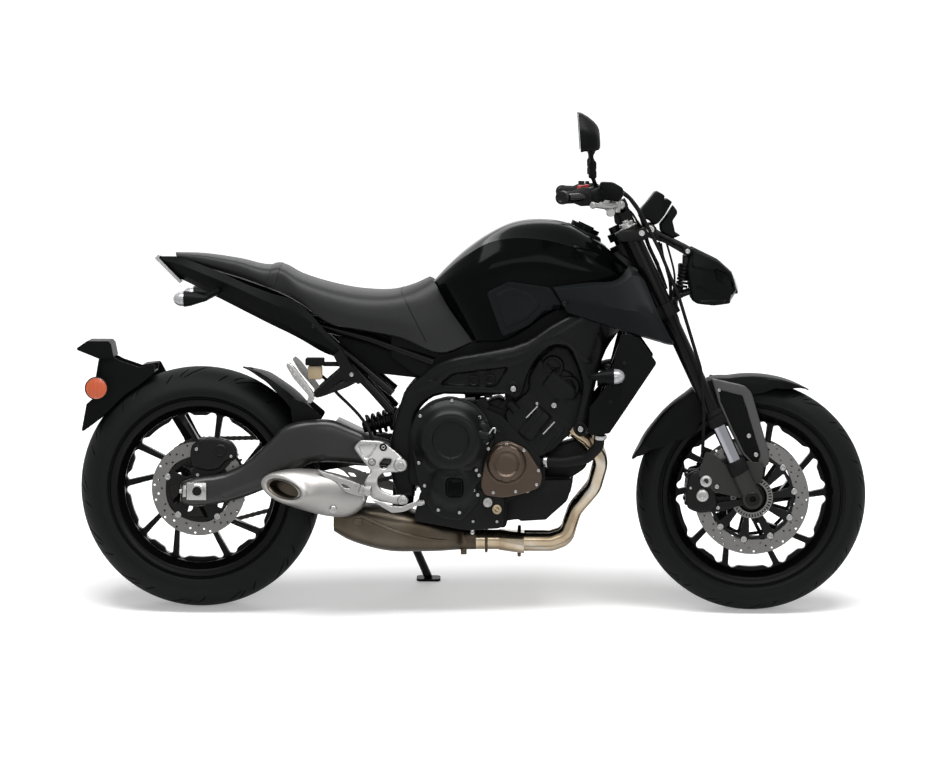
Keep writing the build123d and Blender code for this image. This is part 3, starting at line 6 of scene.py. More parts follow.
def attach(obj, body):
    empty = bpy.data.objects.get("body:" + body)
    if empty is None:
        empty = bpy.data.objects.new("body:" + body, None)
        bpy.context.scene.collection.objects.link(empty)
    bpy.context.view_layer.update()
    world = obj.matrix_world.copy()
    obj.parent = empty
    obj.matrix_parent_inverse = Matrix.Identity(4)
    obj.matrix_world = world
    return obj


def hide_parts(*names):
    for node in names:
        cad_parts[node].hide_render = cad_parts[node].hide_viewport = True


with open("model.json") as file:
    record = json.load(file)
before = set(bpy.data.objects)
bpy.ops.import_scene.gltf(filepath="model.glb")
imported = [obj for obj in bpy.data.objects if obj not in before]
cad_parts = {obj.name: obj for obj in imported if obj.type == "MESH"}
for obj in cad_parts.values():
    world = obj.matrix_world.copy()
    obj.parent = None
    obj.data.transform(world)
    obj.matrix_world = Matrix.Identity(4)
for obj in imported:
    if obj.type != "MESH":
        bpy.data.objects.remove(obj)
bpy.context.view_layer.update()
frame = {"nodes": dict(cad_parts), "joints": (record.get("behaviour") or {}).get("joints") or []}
cad = frame["nodes"]
print("frame loaded:", len(cad), "nodes")

# The machine is drawn upright, in millimetres: x forward from the rear axle, y to the rider's
# left, z up from the ground. bikeMatrix leans it onto its stand, in metres.
joints = {joint["name"]: joint for joint in frame["joints"]}
axleAt = {"rear": (0, 315), "front": (1440, 300)}
rearAxle, frontAxle = [Vector((x, 0, z)) for x, z in axleAt.values()]
# foot is where the steering line meets the ground, and legFoot where the fork legs' line would
steerLook = {"foot": 1543.0, "legFoot": 1579.4, "slope": 0.4663, "sine": 0.4226, "cosine": 0.9063,
    "legsAhead": 33.0, "legsApart": 105.0}
steerUp = Vector((-steerLook["sine"], 0, steerLook["cosine"]))


def leaningFrame():
    rear = Vector(joints["rear_wheel_spin"]["pos_m"])
    front = Vector(joints["front_wheel_spin"]["pos_m"])
    across = Vector(joints["rear_wheel_spin"]["axis"]).normalized()
    ahead = (front - rear).normalized()
    drawnAhead = (frontAxle - rearAxle).normalized()
    drawnAcross = Vector((0, 1, 0))
    drawn = Matrix((drawnAhead, drawnAcross, drawnAhead.cross(drawnAcross)))
    real = Matrix((ahead, across, ahead.cross(across))).transposed()
    turn = (real @ drawn).to_4x4()
    return Matrix.Translation(rear) @ turn @ Matrix.Scale(0.001, 4) @ Matrix.Translation(-rearAxle)


bikeMatrix = leaningFrame()

# stage, lights and camera
stageLook = {"floorSize": 60.0, "floorWhite": 0.86, "nearGlow": 0.3, "farGlow": 0.9, "glowStart": 1.6,
    "glowEnd": 7.0, "worldLight": 0.3, "keyPower": 230.0, "rimPower": 40.0, "sidePower": 34.0}
cameraLook = {"distance": 11700.0, "elevation": 3.6, "azimuth": 1.1, "roll": 0.27, "lens": 170.3,
    "aim": (710.4, 0.0, 586.9)}


def addNode(tree, kind, **settings):
    # a node and its settings; names with a capital are its inputs
    node = tree.nodes.new(kind)
    for key, value in settings.items():
        if key[0].isupper():
            node.inputs[key.replace("_", " ")].default_value = value
        else:
            setattr(node, key, value)
    return node


def wire(tree, *runs):
    # each run is a node, its outlet, the node it feeds and that node's inlet
    for start, outlet, end, inlet in runs:
        tree.links.new(start.outputs[outlet], end.inputs[inlet])


def seenDirectly(tree):
    # 1 where the eye, a reflection or glass looks, 0 where light falls
    path = addNode(tree, "ShaderNodeLightPath")
    total = path.outputs["Is Camera Ray"]
    for kind in ("Is Glossy Ray", "Is Transmission Ray"):
        most = addNode(tree, "ShaderNodeMath", operation="MAXIMUM")
        tree.links.new(total, most.inputs[0])
        tree.links.new(path.outputs[kind], most.inputs[1])
        total = most.outputs[0]
    return total


def makeWorld():
    world = bpy.data.worlds.new("studio")
    bpy.context.scene.world = world
    world.use_nodes = True
    tree = world.node_tree
    tree.nodes.clear()
    soft = addNode(tree, "ShaderNodeBackground", Strength=stageLook["worldLight"])
    white = addNode(tree, "ShaderNodeBackground", Color=(1, 1, 1, 1))
    mix = addNode(tree, "ShaderNodeMixShader")
    out = addNode(tree, "ShaderNodeOutputWorld")
    tree.links.new(seenDirectly(tree), mix.inputs[0])
    wire(tree, (soft, 0, mix, 1), (white, 0, mix, 2), (mix, 0, out, "Surface"))


def makeFloor():
    half = stageLook["floorSize"] / 2
    mesh = bpy.data.meshes.new("studioFloor")
    mesh.from_pydata([(-half, -half, 0), (half, -half, 0), (half, half, 0), (-half, half, 0)], [],
        [(0, 1, 2, 3)])
    floor = bpy.data.objects.new("studioFloor", mesh)
    bpy.context.scene.collection.objects.link(floor)
    material = bpy.data.materials.new("studioFloor")
    material.use_nodes = True
    tree = material.node_tree
    tree.nodes.clear()
    paint = addNode(tree, "ShaderNodeBsdfDiffuse", Color=(stageLook["floorWhite"],) * 3 + (1,))
    glow = addNode(tree, "ShaderNodeEmission")
    coords = addNode(tree, "ShaderNodeTexCoord")
    reach = addNode(tree, "ShaderNodeVectorMath", operation="LENGTH")
    fade = addNode(tree, "ShaderNodeMapRange", interpolation_type="SMOOTHSTEP",
        From_Min=stageLook["glowStart"], From_Max=stageLook["glowEnd"], To_Min=stageLook["nearGlow"],
        To_Max=stageLook["farGlow"])
    both = addNode(tree, "ShaderNodeAddShader")
    mix = addNode(tree, "ShaderNodeMixShader")
    out = addNode(tree, "ShaderNodeOutputMaterial")
    tree.links.new(seenDirectly(tree), mix.inputs[0])
    wire(tree, (coords, "Object", reach, 0), (reach, "Value", fade, "Value"),
        (fade, 0, glow, "Strength"), (paint, 0, both, 0), (glow, 0, both, 1), (paint, 0, mix, 1),
        (both, 0, mix, 2), (mix, 0, out, "Surface"))
    mesh.materials.append(material)


def areaLight(name, place, aim, size, power):
    lamp = bpy.data.lights.new(name, "AREA")
    lamp.shape = "RECTANGLE"
    lamp.size, lamp.size_y = size
    lamp.energy = power
    holder = bpy.data.objects.new(name, lamp)
    holder.location = place
    holder.rotation_euler = (Vector(aim) - Vector(place)).to_track_quat("-Z", "Y").to_euler()
    bpy.context.scene.collection.objects.link(holder)


def makeCamera():
    lens = bpy.data.cameras.new("camera")
    lens.lens = cameraLook["lens"]
    lens.sensor_width = 36.0
    lens.clip_end = 100.0
    rise = math.radians(cameraLook["elevation"])
    swing = math.radians(cameraLook["azimuth"])
    forward = Vector(
        (-math.sin(swing) * math.cos(rise), math.cos(swing) * math.cos(rise), -math.sin(rise)))
    level = forward.cross(Vector((0, 0, 1))).normalized()
    right = Matrix.Rotation(-math.radians(cameraLook["roll"]), 3, forward) @ level
    up = right.cross(forward)
    spot = Vector(cameraLook["aim"]) - forward * cameraLook["distance"]
    turn = Matrix((right, up, -forward)).transposed()
    holder = bpy.data.objects.new("camera", lens)
    bike = bikeMatrix.to_3x3().normalized()
    holder.matrix_world = Matrix.Translation(bikeMatrix @ spot) @ (bike @ turn).to_4x4()
    bpy.context.scene.collection.objects.link(holder)
    bpy.context.scene.camera = holder


makeWorld()
makeFloor()
areaLight("overhead", (0.0, -0.6, 3.6), (0, 0, 0.5), (4.2, 1.6), stageLook["keyPower"])
areaLight("behind", (0.0, 3.4, 2.6), (0, 0, 0.6), (4.0, 1.2), stageLook["rimPower"])
areaLight("nearSide", (0.6, -4.2, 2.4), (0, 0, 0.5), (3.0, 1.2), stageLook["sidePower"])
makeCamera()
bpy.context.scene.view_settings.view_transform = "Standard"
print("stage ready")


# shared shader groups
def newGroup(name, inputs, outputs):
    group = bpy.data.node_groups.new(name, "ShaderNodeTree")
    for label, kind, value in inputs:
        socket = group.interface.new_socket(label, in_out="INPUT", socket_type=kind)
        socket.default_value = value
    for label, kind in outputs:
        group.interface.new_socket(label, in_out="OUTPUT", socket_type=kind)
    return group, group.nodes.new("NodeGroupInput"), group.nodes.new("NodeGroupOutput")


def makeGrainGroup():
    # fine grain of castings, mouldings and lacquer: a height, and a slow drift of the sheen
    group, given, result = newGroup("grain", [("Size", "NodeSocketFloat", 400.0),
            ("Drift", "NodeSocketFloat", 6.0), ("Sheen", "NodeSocketFloat", 0.4),
            ("Spread", "NodeSocketFloat", 0.08)],
        [("Height", "NodeSocketFloat"), ("Roughness", "NodeSocketFloat")])
    coords = addNode(group, "ShaderNodeTexCoord")
    fine = addNode(group, "ShaderNodeTexNoise", Detail=4.0)
    slow = addNode(group, "ShaderNodeTexNoise", Detail=3.0)
    centred = addNode(group, "ShaderNodeMath", operation="SUBTRACT")
    centred.inputs[1].default_value = 0.5
    spread = addNode(group, "ShaderNodeMath", operation="MULTIPLY_ADD")
    wire(group, (coords, "Object", fine, "Vector"), (coords, "Object", slow, "Vector"),
        (given, "Size", fine, "Scale"), (given, "Drift", slow, "Scale"), (slow, "Fac", centred, 0),
        (centred, 0, spread, 0), (given, "Spread", spread, 1), (given, "Sheen", spread, 2),
        (fine, "Fac", result, "Height"), (spread, 0, result, "Roughness"))
    return group


def makeBrushGroup():
    # long scratches left by a belt or a lathe, along one of the object's own directions
    group, given, result = newGroup("brushing", [("Stretch", "NodeSocketVector", (4.0, 300.0, 300.0)),
            ("Sheen", "NodeSocketFloat", 0.3), ("Spread", "NodeSocketFloat", 0.2)],
        [("Height", "NodeSocketFloat"), ("Roughness", "NodeSocketFloat")])
    coords = addNode(group, "ShaderNodeTexCoord")
    stretch = addNode(group, "ShaderNodeVectorMath", operation="MULTIPLY")
    lines = addNode(group, "ShaderNodeTexNoise", Detail=3.0, Scale=1.0)
    spread = addNode(group, "ShaderNodeMath", operation="MULTIPLY_ADD")
    wire(group, (coords, "Object", stretch, 0), (given, "Stretch", stretch, 1),
        (stretch, 0, lines, "Vector"), (lines, "Fac", spread, 0), (given, "Spread", spread, 1),
        (given, "Sheen", spread, 2), (lines, "Fac", result, "Height"),
        (spread, 0, result, "Roughness"))
    return group


def makeHeatGroup():
    # temper colours of hot stainless steel, from bare to straw to bronze, in soft patches
    group, given, result = newGroup("heatTint", [("Bare", "NodeSocketColor", (0.62, 0.6, 0.56, 1)),
            ("Straw", "NodeSocketColor", (0.5, 0.4, 0.26, 1)),
            ("Bronze", "NodeSocketColor", (0.22, 0.14, 0.09, 1)), ("Patches", "NodeSocketFloat", 9.0),
            ("Amount", "NodeSocketFloat", 0.5)],
        [("Color", "NodeSocketColor"), ("Height", "NodeSocketFloat")])
    coords = addNode(group, "ShaderNodeTexCoord")
    patches = addNode(group, "ShaderNodeTexNoise", Detail=5.0)
    level = addNode(group, "ShaderNodeMath", operation="ADD", use_clamp=True)
    shift = addNode(group, "ShaderNodeMath", operation="SUBTRACT")
    shift.inputs[1].default_value = 0.5
    first = addNode(group, "ShaderNodeMix", data_type="RGBA")
    second = addNode(group, "ShaderNodeMix", data_type="RGBA")
    for mix, low, high in ((first, 0.3, 0.55), (second, 0.5, 0.85)):
        ease = addNode(group, "ShaderNodeMapRange", interpolation_type="SMOOTHSTEP", From_Min=low,
            From_Max=high)
        wire(group, (level, 0, ease, "Value"), (ease, 0, mix, "Factor"))
    wire(group, (coords, "Object", patches, "Vector"), (given, "Patches", patches, "Scale"),
        (given, "Amount", shift, 0), (patches, "Fac", level, 0), (shift, 0, level, 1),
        (given, "Bare", first, "A"), (given, "Straw", first, "B"), (first, "Result", second, "A"),
        (given, "Bronze", second, "B"), (second, "Result", result, "Color"),
        (patches, "Fac", result, "Height"))
    return group


def makeLeatherGroup():
    # pebbled vinyl: cells with soft valleys
    group, given, result = newGroup("pebbles", [("Size", "NodeSocketFloat", 700.0)],
        [("Height", "NodeSocketFloat")])
    coords = addNode(group, "ShaderNodeTexCoord")
    cells = addNode(group, "ShaderNodeTexVoronoi", feature="SMOOTH_F1", Smoothness=0.5)
    wire(group, (coords, "Object", cells, "Vector"), (given, "Size", cells, "Scale"),
        (cells, "Distance", result, "Height"))
    return group


grainGroup = makeGrainGroup()
brushGroup = makeBrushGroup()
heatGroup = makeHeatGroup()
leatherGroup = makeLeatherGroup()


def shader(name, color, metallic, roughness, **sockets):
    material = bpy.data.materials.new(name)
    material.use_nodes = True
    tree = material.node_tree
    skin = tree.nodes["Principled BSDF"]
    skin.inputs["Base Color"].default_value = (*color, 1)
    skin.inputs["Metallic"].default_value = metallic
    skin.inputs["Roughness"].default_value = roughness
    for key, value in sockets.items():
        skin.inputs[key.replace("_", " ")].default_value = value
    return material, tree, skin


def addBump(tree, skin, height, distance, strength, edge=0.0):
    bump = addNode(tree, "ShaderNodeBump", Distance=distance, Strength=strength)
    if edge:
        # hard edges catch the light as if rounded over this radius
        soft = addNode(tree, "ShaderNodeBevel", samples=4, Radius=edge)
        wire(tree, (soft, "Normal", bump, "Normal"))
    tree.links.new(height, bump.inputs["Height"])
    wire(tree, (bump, "Normal", skin, "Normal"))


def grained(name, color, metallic, sheen, spread=0.08, size=400.0, drift=6.0, depth=0.0002,
        strength=0.4, edge=0.0012, **sockets):
    material, tree, skin = shader(name, color, metallic, sheen, **sockets)
    grain = addNode(tree, "ShaderNodeGroup", node_tree=grainGroup, Size=size, Drift=drift, Sheen=sheen,
        Spread=spread)
    tree.links.new(grain.outputs["Roughness"], skin.inputs["Roughness"])
    addBump(tree, skin, grain.outputs["Height"], depth, strength, edge)
    return material


def brushed(name, color, sheen, spread, stretch):
    material, tree, skin = shader(name, color, 1.0, sheen)
    lines = addNode(tree, "ShaderNodeGroup", node_tree=brushGroup, Stretch=stretch, Sheen=sheen,
        Spread=spread)
    tree.links.new(lines.outputs["Roughness"], skin.inputs["Roughness"])
    addBump(tree, skin, lines.outputs["Height"], 0.0001, 0.3)
    return material


def heated(name, bare, straw, bronze, amount, patches, roughness):
    material, tree, skin = shader(name, bare, 1.0, roughness)
    tint = addNode(tree, "ShaderNodeGroup", node_tree=heatGroup, Bare=(*bare, 1), Straw=(*straw, 1),
        Bronze=(*bronze, 1), Amount=amount, Patches=patches)
    tree.links.new(tint.outputs["Color"], skin.inputs["Base Color"])
    addBump(tree, skin, tint.outputs["Height"], 0.0003, 0.15)
    return material


def pebbled(name, color, roughness, size, depth, **sockets):
    material, tree, skin = shader(name, color, 0.0, roughness, **sockets)
    cells = addNode(tree, "ShaderNodeGroup", node_tree=leatherGroup, Size=size)
    addBump(tree, skin, cells.outputs["Height"], depth, 0.5)
    return material


def ribbed(name, pale, deep, roughness, metallic=0.0):
    # moulded lens: fine upright ribs inside a clear skin
    material, tree, skin = shader(name, pale, metallic, roughness, Coat_Weight=0.5)
    coords = addNode(tree, "ShaderNodeTexCoord")
    bands = addNode(tree, "ShaderNodeTexWave", Scale=90.0, Distortion=0.4)
    shade = addNode(tree, "ShaderNodeMix", data_type="RGBA", A=(*pale, 1), B=(*deep, 1))
    wire(tree, (coords, "Object", bands, "Vector"), (bands, "Fac", shade, "Factor"),
        (shade, "Result", skin, "Base Color"))
    addBump(tree, skin, bands.outputs["Fac"], 0.0003, 0.4)
    return material


looks = {finish.name: finish for finish in [
        grained("tankGloss", (0.0012, 0.0015, 0.0015), 0.0, 0.12, 0.03, 900, 3, 0.00003, 0.15,
            Specular_IOR_Level=0.034),
        grained("panelMatt", (0.0052, 0.0062, 0.0066), 0.0, 0.42, 0.06, 1400, 5, 0.00006, 0.3,
            Specular_IOR_Level=0.055),
        grained("frameBlack", (0.0034, 0.0037, 0.0036), 0.0, 0.3, 0.1, 700, 8, 0.0001, 0.4,
            Specular_IOR_Level=0.09),
        grained("tubeBlack", (0.0026, 0.0028, 0.0027), 0.0, 0.24, 0.08, 900, 8, 0.00005, 0.3,
            Specular_IOR_Level=0.1),
        grained("engineBlack", (0.0036, 0.0039, 0.0038), 0.0, 0.44, 0.12, 500, 9, 0.00018, 0.5,
            Specular_IOR_Level=0.09),
        grained("coverBlack", (0.0042, 0.0046, 0.0045), 0.0, 0.32, 0.08, 900, 7, 0.00008, 0.4,
            Specular_IOR_Level=0.1),
        grained("bronzeCover", (0.05, 0.034, 0.024), 0.7, 0.36, 0.1, 900, 7, 0.0001, 0.4),
        grained("mouldingBlack", (0.0026, 0.0029, 0.0028), 0.0, 0.42, 0.08, 1500, 6, 0.0001, 0.5,
            Specular_IOR_Level=0.05),
        grained("rubberBlack", (0.0042, 0.0044, 0.0043), 0.0, 0.55, 0.1, 600, 10, 0.0001, 0.4,
            Specular_IOR_Level=0.08),
        grained("tyreBlack", (0.0056, 0.0062, 0.006), 0.0, 0.6, 0.12, 900, 7, 0.00008, 0.4,
            Specular_IOR_Level=0.07),
        grained("rimBlack", (0.002, 0.0021, 0.0021), 0.0, 0.26, 0.08, 1100, 6, 0.00005, 0.3,
            Specular_IOR_Level=0.09),
        grained("castSilver", (0.27, 0.268, 0.262), 1.0, 0.36, 0.14, 500, 12, 0.0001, 0.35),
        grained("boltSteel", (0.3, 0.3, 0.295), 1.0, 0.28, 0.1, 900, 20, 0.00004, 0.3),
        grained("boltBlack", (0.0042, 0.0044, 0.0043), 0.0, 0.33, 0.1, 900, 20, 0.00004, 0.3,
            Specular_IOR_Level=0.12),
        brushed("discSteel", (0.135, 0.133, 0.13), 0.26, 0.2, (220.0, 220.0, 12.0)),
        brushed("silencerSatin", (0.25, 0.243, 0.235), 0.34, 0.22, (14.0, 400.0, 400.0)),
        brushed("chainSteel", (0.05, 0.048, 0.045), 0.35, 0.2, (60.0, 200.0, 60.0)),
        grained("chrome", (0.24, 0.245, 0.265), 1.0, 0.08, 0.03, 700, 5, 0.00001, 0.2),
        heated("headerSteel", (0.4, 0.37, 0.33), (0.32, 0.26, 0.18), (0.16, 0.1, 0.06), 0.5, 12.0, 0.2),
        heated("chamberSteel", (0.075, 0.064, 0.05), (0.056, 0.045, 0.032), (0.034, 0.026, 0.019), 0.5,
            9.0, 0.36),
        pebbled("seatVinyl", (0.006, 0.0062, 0.0064), 0.46, 900.0, 0.0003, Specular_IOR_Level=0.2),
        pebbled("seatGrip", (0.0095, 0.0097, 0.0098), 0.55, 420.0, 0.0006, Specular_IOR_Level=0.24),
        ribbed("amber", (0.55, 0.085, 0.006), (0.3, 0.03, 0.003), 0.22),
        grained("killRed", (0.35, 0.012, 0.01), 0.0, 0.4, 0.1, 1200, 20, 0.00005, 0.4),
        ribbed("lensClear", (0.42, 0.42, 0.43), (0.2, 0.2, 0.21), 0.14, 0.35),
        grained("fluidAmber", (0.3, 0.235, 0.14), 0.0, 0.3, 0.12, 500, 30, 0.0001, 0.3),
        grained("mirrorGlass", (0.8, 0.82, 0.83), 1.0, 0.03, 0.02, 300, 8, 0.000005, 0.1, 0.0),
        grained("armSatin", (0.0085, 0.0087, 0.0085), 0.0, 0.32, 0.1, 700, 8, 0.0001, 0.4,
            Specular_IOR_Level=0.3),
        grained("footGrey", (0.02, 0.0197, 0.0186), 0.3, 0.42, 0.12, 700, 12, 0.00008, 0.4,
            Specular_IOR_Level=0.2),
        grained("platedGrey", (0.04, 0.0395, 0.039), 0.4, 0.4, 0.1, 900, 10, 0.00006, 0.3),
        grained("displayGlass", (0.03, 0.033, 0.034), 0.0, 0.14, 0.05, 300, 20, 0.00002, 0.1,
            Coat_Weight=0.5),
    ]}
carried = {  # finishes that nodes of the CAD wear
    "frameBlack": "main_frame swingarm fork_yokes",
    "tubeBlack": "subframe side_stand handlebar rear_shock",
    "footGrey": "fork_feet",
    "engineBlack": "crankcase cylinder_head throttle_bodies",
    "coverBlack": "engine_covers fork_tubes",
    "bronzeCover": "timing_cover",
    "mouldingBlack": "oil_cooler radiator_shrouds rear_hugger plate_holder tail_cowl instrument"
        " switchgear headlamp mirrors front_mudguard radiator indicators airbox"
        " battery_box",
    "rubberBlack": "coolant_hoses brake_hoses grips footpegs",
    "headerSteel": "exhaust_headers",
    "chamberSteel": "exhaust_chamber",
    "silencerSatin": "silencer",
    "tankGloss": "fuel_tank fuel_cap",
    "panelMatt": "knee_panels side_scoops",
    "seatVinyl": "seat",
    "lensClear": "tail_lamp",
    "castSilver": "footrest_brackets foot_levers control_levers",
    "chainSteel": "drive_chain rear_sprocket",
    "boltBlack": "front_calipers rear_caliper",
    "fluidAmber": "brake_reservoir",
    "chrome": "fork_stanchions",
    "rimBlack": "front_rim rear_rim",
    "tyreBlack": "front_tyre rear_tyre",
    "discSteel": "front_discs rear_disc",
}
for look, names in carried.items():
    for name in names.split():
        cad[name].data.materials.clear()
        cad[name].data.materials.append(looks[look])
print("looks ready:", len(looks))


# making tools: every shape is drawn in the upright machine's millimetres
def meshFrom(points, faces):
    mesh = bpy.data.meshes.new("shape")
    mesh.from_pydata([tuple(point) for point in points], [], [tuple(face) for face in faces])
    return mesh


def worked(mesh, *steps):
    # the mesh after a row of modifiers, as a plain mesh
    bench = bpy.data.objects.new("bench", mesh)
    bpy.context.scene.collection.objects.link(bench)
    for kind, settings in steps:
        modifier = bench.modifiers.new(kind.title(), kind)
        for key, value in settings.items():
            setattr(modifier, key, value)
    graph = bpy.context.evaluated_depsgraph_get()
    result = bpy.data.meshes.new_from_object(bench.evaluated_get(graph))
    bpy.data.objects.remove(bench)
    return result


def joined(*meshes):
    # one mesh of several; each part keeps its own material number
    whole = bmesh.new()
    for mesh in meshes:
        whole.from_mesh(mesh)
    result = bpy.data.meshes.new("joined")
    whole.to_mesh(result)
    whole.free()
    return result


def outward(mesh, weld=0.01):
    shell = bmesh.new()
    shell.from_mesh(mesh)
    bmesh.ops.remove_doubles(shell, verts=shell.verts, dist=weld)
    bmesh.ops.recalc_face_normals(shell, faces=shell.faces)
    shell.to_mesh(mesh)
    shell.free()
    return mesh


def painted(mesh, number):
    mesh.polygons.foreach_set("material_index", [number] * len(mesh.polygons))
    return mesh


def turnedTo(mesh, matrix):
    mesh.transform(matrix)
    return mesh


def mirrored(mesh):
    other = mesh.copy()
    other.transform(Matrix.Scale(-1, 4, (0, 1, 0)))
    other.flip_normals()
    return other


def bothSides(mesh):
    return joined(mesh, mirrored(mesh))


def piece(name, mesh, look, body="chassis", stands=None, sharp=38.0):
    # puts a finished shape on the machine: look is one finish or a list in material order
    mesh.transform(bikeMatrix)
    mesh.shade_smooth()
    mesh.set_sharp_from_angle(angle=math.radians(sharp))
    mesh.materials.clear()
    for item in [look] if isinstance(look, str) else look:
        mesh.materials.append(looks[item])
    mesh.name = name
    thing = bpy.data.objects.new(name, mesh)
    bpy.context.scene.collection.objects.link(thing)
    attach(thing, body)
    if stands:
        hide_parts(*stands.split())
    return thing


def smoothLine(points, steps):
    # even cubic through the points; steps between each pair
    points = [Vector(point) for point in points]
    if len(points) == 2:
        return [points[0].lerp(points[1], index / steps) for index in range(steps + 1)]
    gaps = [max((b - a).length, 1e-6) for a, b in zip(points, points[1:])]
    slopes = []
    for index, point in enumerate(points):
        if index == 0:
            slopes.append((points[1] - point) / gaps[0])
        elif index == len(points) - 1:
            slopes.append((point - points[-2]) / gaps[-1])
        else:
            before = (point - points[index - 1]) / gaps[index - 1]
            after = (points[index + 1] - point) / gaps[index]
            share = gaps[index - 1] / (gaps[index - 1] + gaps[index])
            slopes.append(before.lerp(after, share))
    line = []
    for index, gap in enumerate(gaps):
        start, end = points[index], points[index + 1]
        run = geometry.interpolate_bezier(start, start + slopes[index] * gap / 3,
            end - slopes[index + 1] * gap / 3, end, steps + 1)
        line += run if index == len(gaps) - 1 else run[:-1]
    return line


def creased(points, steps, creases):
    # the same, but turning sharply at the numbered points
    line = []
    stops = [0] + [number for number in creases if 0 < number < len(points) - 1]
    stops.append(len(points) - 1)
    for start, end in zip(stops, stops[1:]):
        run = smoothLine(points[start:end + 1], steps)
        line += run if end == len(points) - 1 else run[:-1]
    return line


def railGrid(rails, along, across, creaseRails, creaseStations=()):
    # a surface through rails that have the same stations
    fine = [creased(rail, along, creaseStations) for rail in rails]
    return [
        creased([rail[index] for rail in fine], across, creaseRails) for index in range(len(fine[0]))]


def gridFaces(rows, columns, closed):
    faces = []
    for row in range(rows - 1):
        for column in range(columns if closed else columns - 1):
            after = (column + 1) % columns
            faces.append((row * columns + column, row * columns + after, (row + 1) * columns + after,
                    (row + 1) * columns + column))
    return faces


def gridMesh(grid, closed=False, capped=False):
    rows, columns = len(grid), len(grid[0])
    faces = gridFaces(rows, columns, closed)
    if capped:
        faces.append(tuple(range(columns)))
        faces.append(tuple(range((rows - 1) * columns, rows * columns))[::-1])
    return meshFrom([point for row in grid for point in row], faces)


def fullForm(rails, creaseRails):
    # rails from the middle line over one side to the middle line again, then the other side
    half = gridMesh(railGrid(rails, 5, 4, creaseRails))
    whole = bmesh.new()
    whole.from_mesh(joined(half, mirrored(half)))
    bmesh.ops.remove_doubles(whole, verts=whole.verts, dist=0.05)
    bmesh.ops.holes_fill(whole, edges=[edge for edge in whole.edges if edge.is_boundary])
    bmesh.ops.recalc_face_normals(whole, faces=whole.faces)
    result = bpy.data.meshes.new("form")
    whole.to_mesh(result)
    whole.free()
    return result


def lathe(profile, centre=(0, 0), steps=48, closed=True):
    # profile of (y, radius) about a wheel's axle at (x, z)
    grid = []
    for index in range(steps + 1):
        turn = 2 * math.pi * index / steps
        grid.append([(centre[0] + radius * math.cos(turn), y, centre[1] + radius * math.sin(turn))
                for y, radius in profile])
    return outward(gridMesh(grid, closed=closed))


def spun(profile, base, direction, steps=48):
    # profile of (height, radius) about any axis that starts at base
    mesh = lathe(profile, steps=steps, closed=False)
    turn = Vector(direction).to_track_quat("Y", "Z").to_matrix().to_4x4()
    return turnedTo(mesh, Matrix.Translation(Vector(base)) @ turn)


def slab(outline, low, high, bevel=1.5):
    # a side outline of (x, z) given width from y low to y high
    flat = [Vector(point) for point in outline]
    count = len(flat)
    points = [(x, low, z) for x, z in flat] + [(x, high, z) for x, z in flat]
    faces = [tuple(range(count)), tuple(range(count, 2 * count))]
    faces += [(index, (index + 1) % count, count + (index + 1) % count, count + index)
        for index in range(count)]
    mesh = outward(meshFrom(points, faces))
    if bevel:
        mesh = worked(mesh,
            ("BEVEL", {"width": bevel, "segments": 2, "limit_method": "ANGLE", "angle_limit": 0.5}))
    return mesh


def rounded(outline, radius, steps=4):
    # the outline with every corner rounded off
    points = [Vector(point) for point in outline]
    result = []
    for index, corner in enumerate(points):
        before, after = points[index - 1], points[(index + 1) % len(points)]
        reach = min(radius, (before - corner).length * 0.45, (after - corner).length * 0.45)
        start = corner + (before - corner).normalized() * reach
        end = corner + (after - corner).normalized() * reach
        for step in range(steps + 1):
            part = step / steps
            result.append(start.lerp(corner, part).lerp(corner.lerp(end, part), part))
    return result


def tube(points, radius, sides):
    # a round tube whose middle is a smooth NURBS line through the run of points
    curve = bpy.data.curves.new("route", "CURVE")
    curve.dimensions = "3D"
    curve.bevel_depth = radius
    curve.bevel_resolution = max(1, sides // 4)
    curve.use_fill_caps = True
    curve.resolution_u = 6
    line = curve.splines.new("NURBS")
    line.points.add(len(points) - 1)
    for spot, point in zip(line.points, points):
        spot.co = (*point, 1)
    line.order_u = 3
    line.use_endpoint_u = True
    holder = bpy.data.objects.new("route", curve)
    bpy.context.scene.collection.objects.link(holder)
    graph = bpy.context.evaluated_depsgraph_get()
    mesh = bpy.data.meshes.new_from_object(holder.evaluated_get(graph))
    bpy.data.objects.remove(holder)
    return outward(mesh)


def blockAt(size, place, bevel=1.5, turn=None, segments=2):
    # a small rounded block, lengths along x, y, z
    half = [value / 2 for value in size]
    points = [
        (x * half[0], y * half[1], z * half[2]) for x in (-1, 1) for y in (-1, 1) for z in (-1, 1)]
    faces = [(0, 1, 3, 2), (4, 6, 7, 5), (0, 4, 5, 1), (2, 3, 7, 6), (0, 2, 6, 4), (1, 5, 7, 3)]
    mesh = worked(outward(meshFrom(points, faces)), ("BEVEL", {"width": bevel, "segments": segments}))
    matrix = Matrix.Translation(Vector(place))
    if turn:
        matrix = matrix @ Matrix.Rotation(math.radians(turn[0]), 4, turn[1])
    return turnedTo(mesh, matrix)


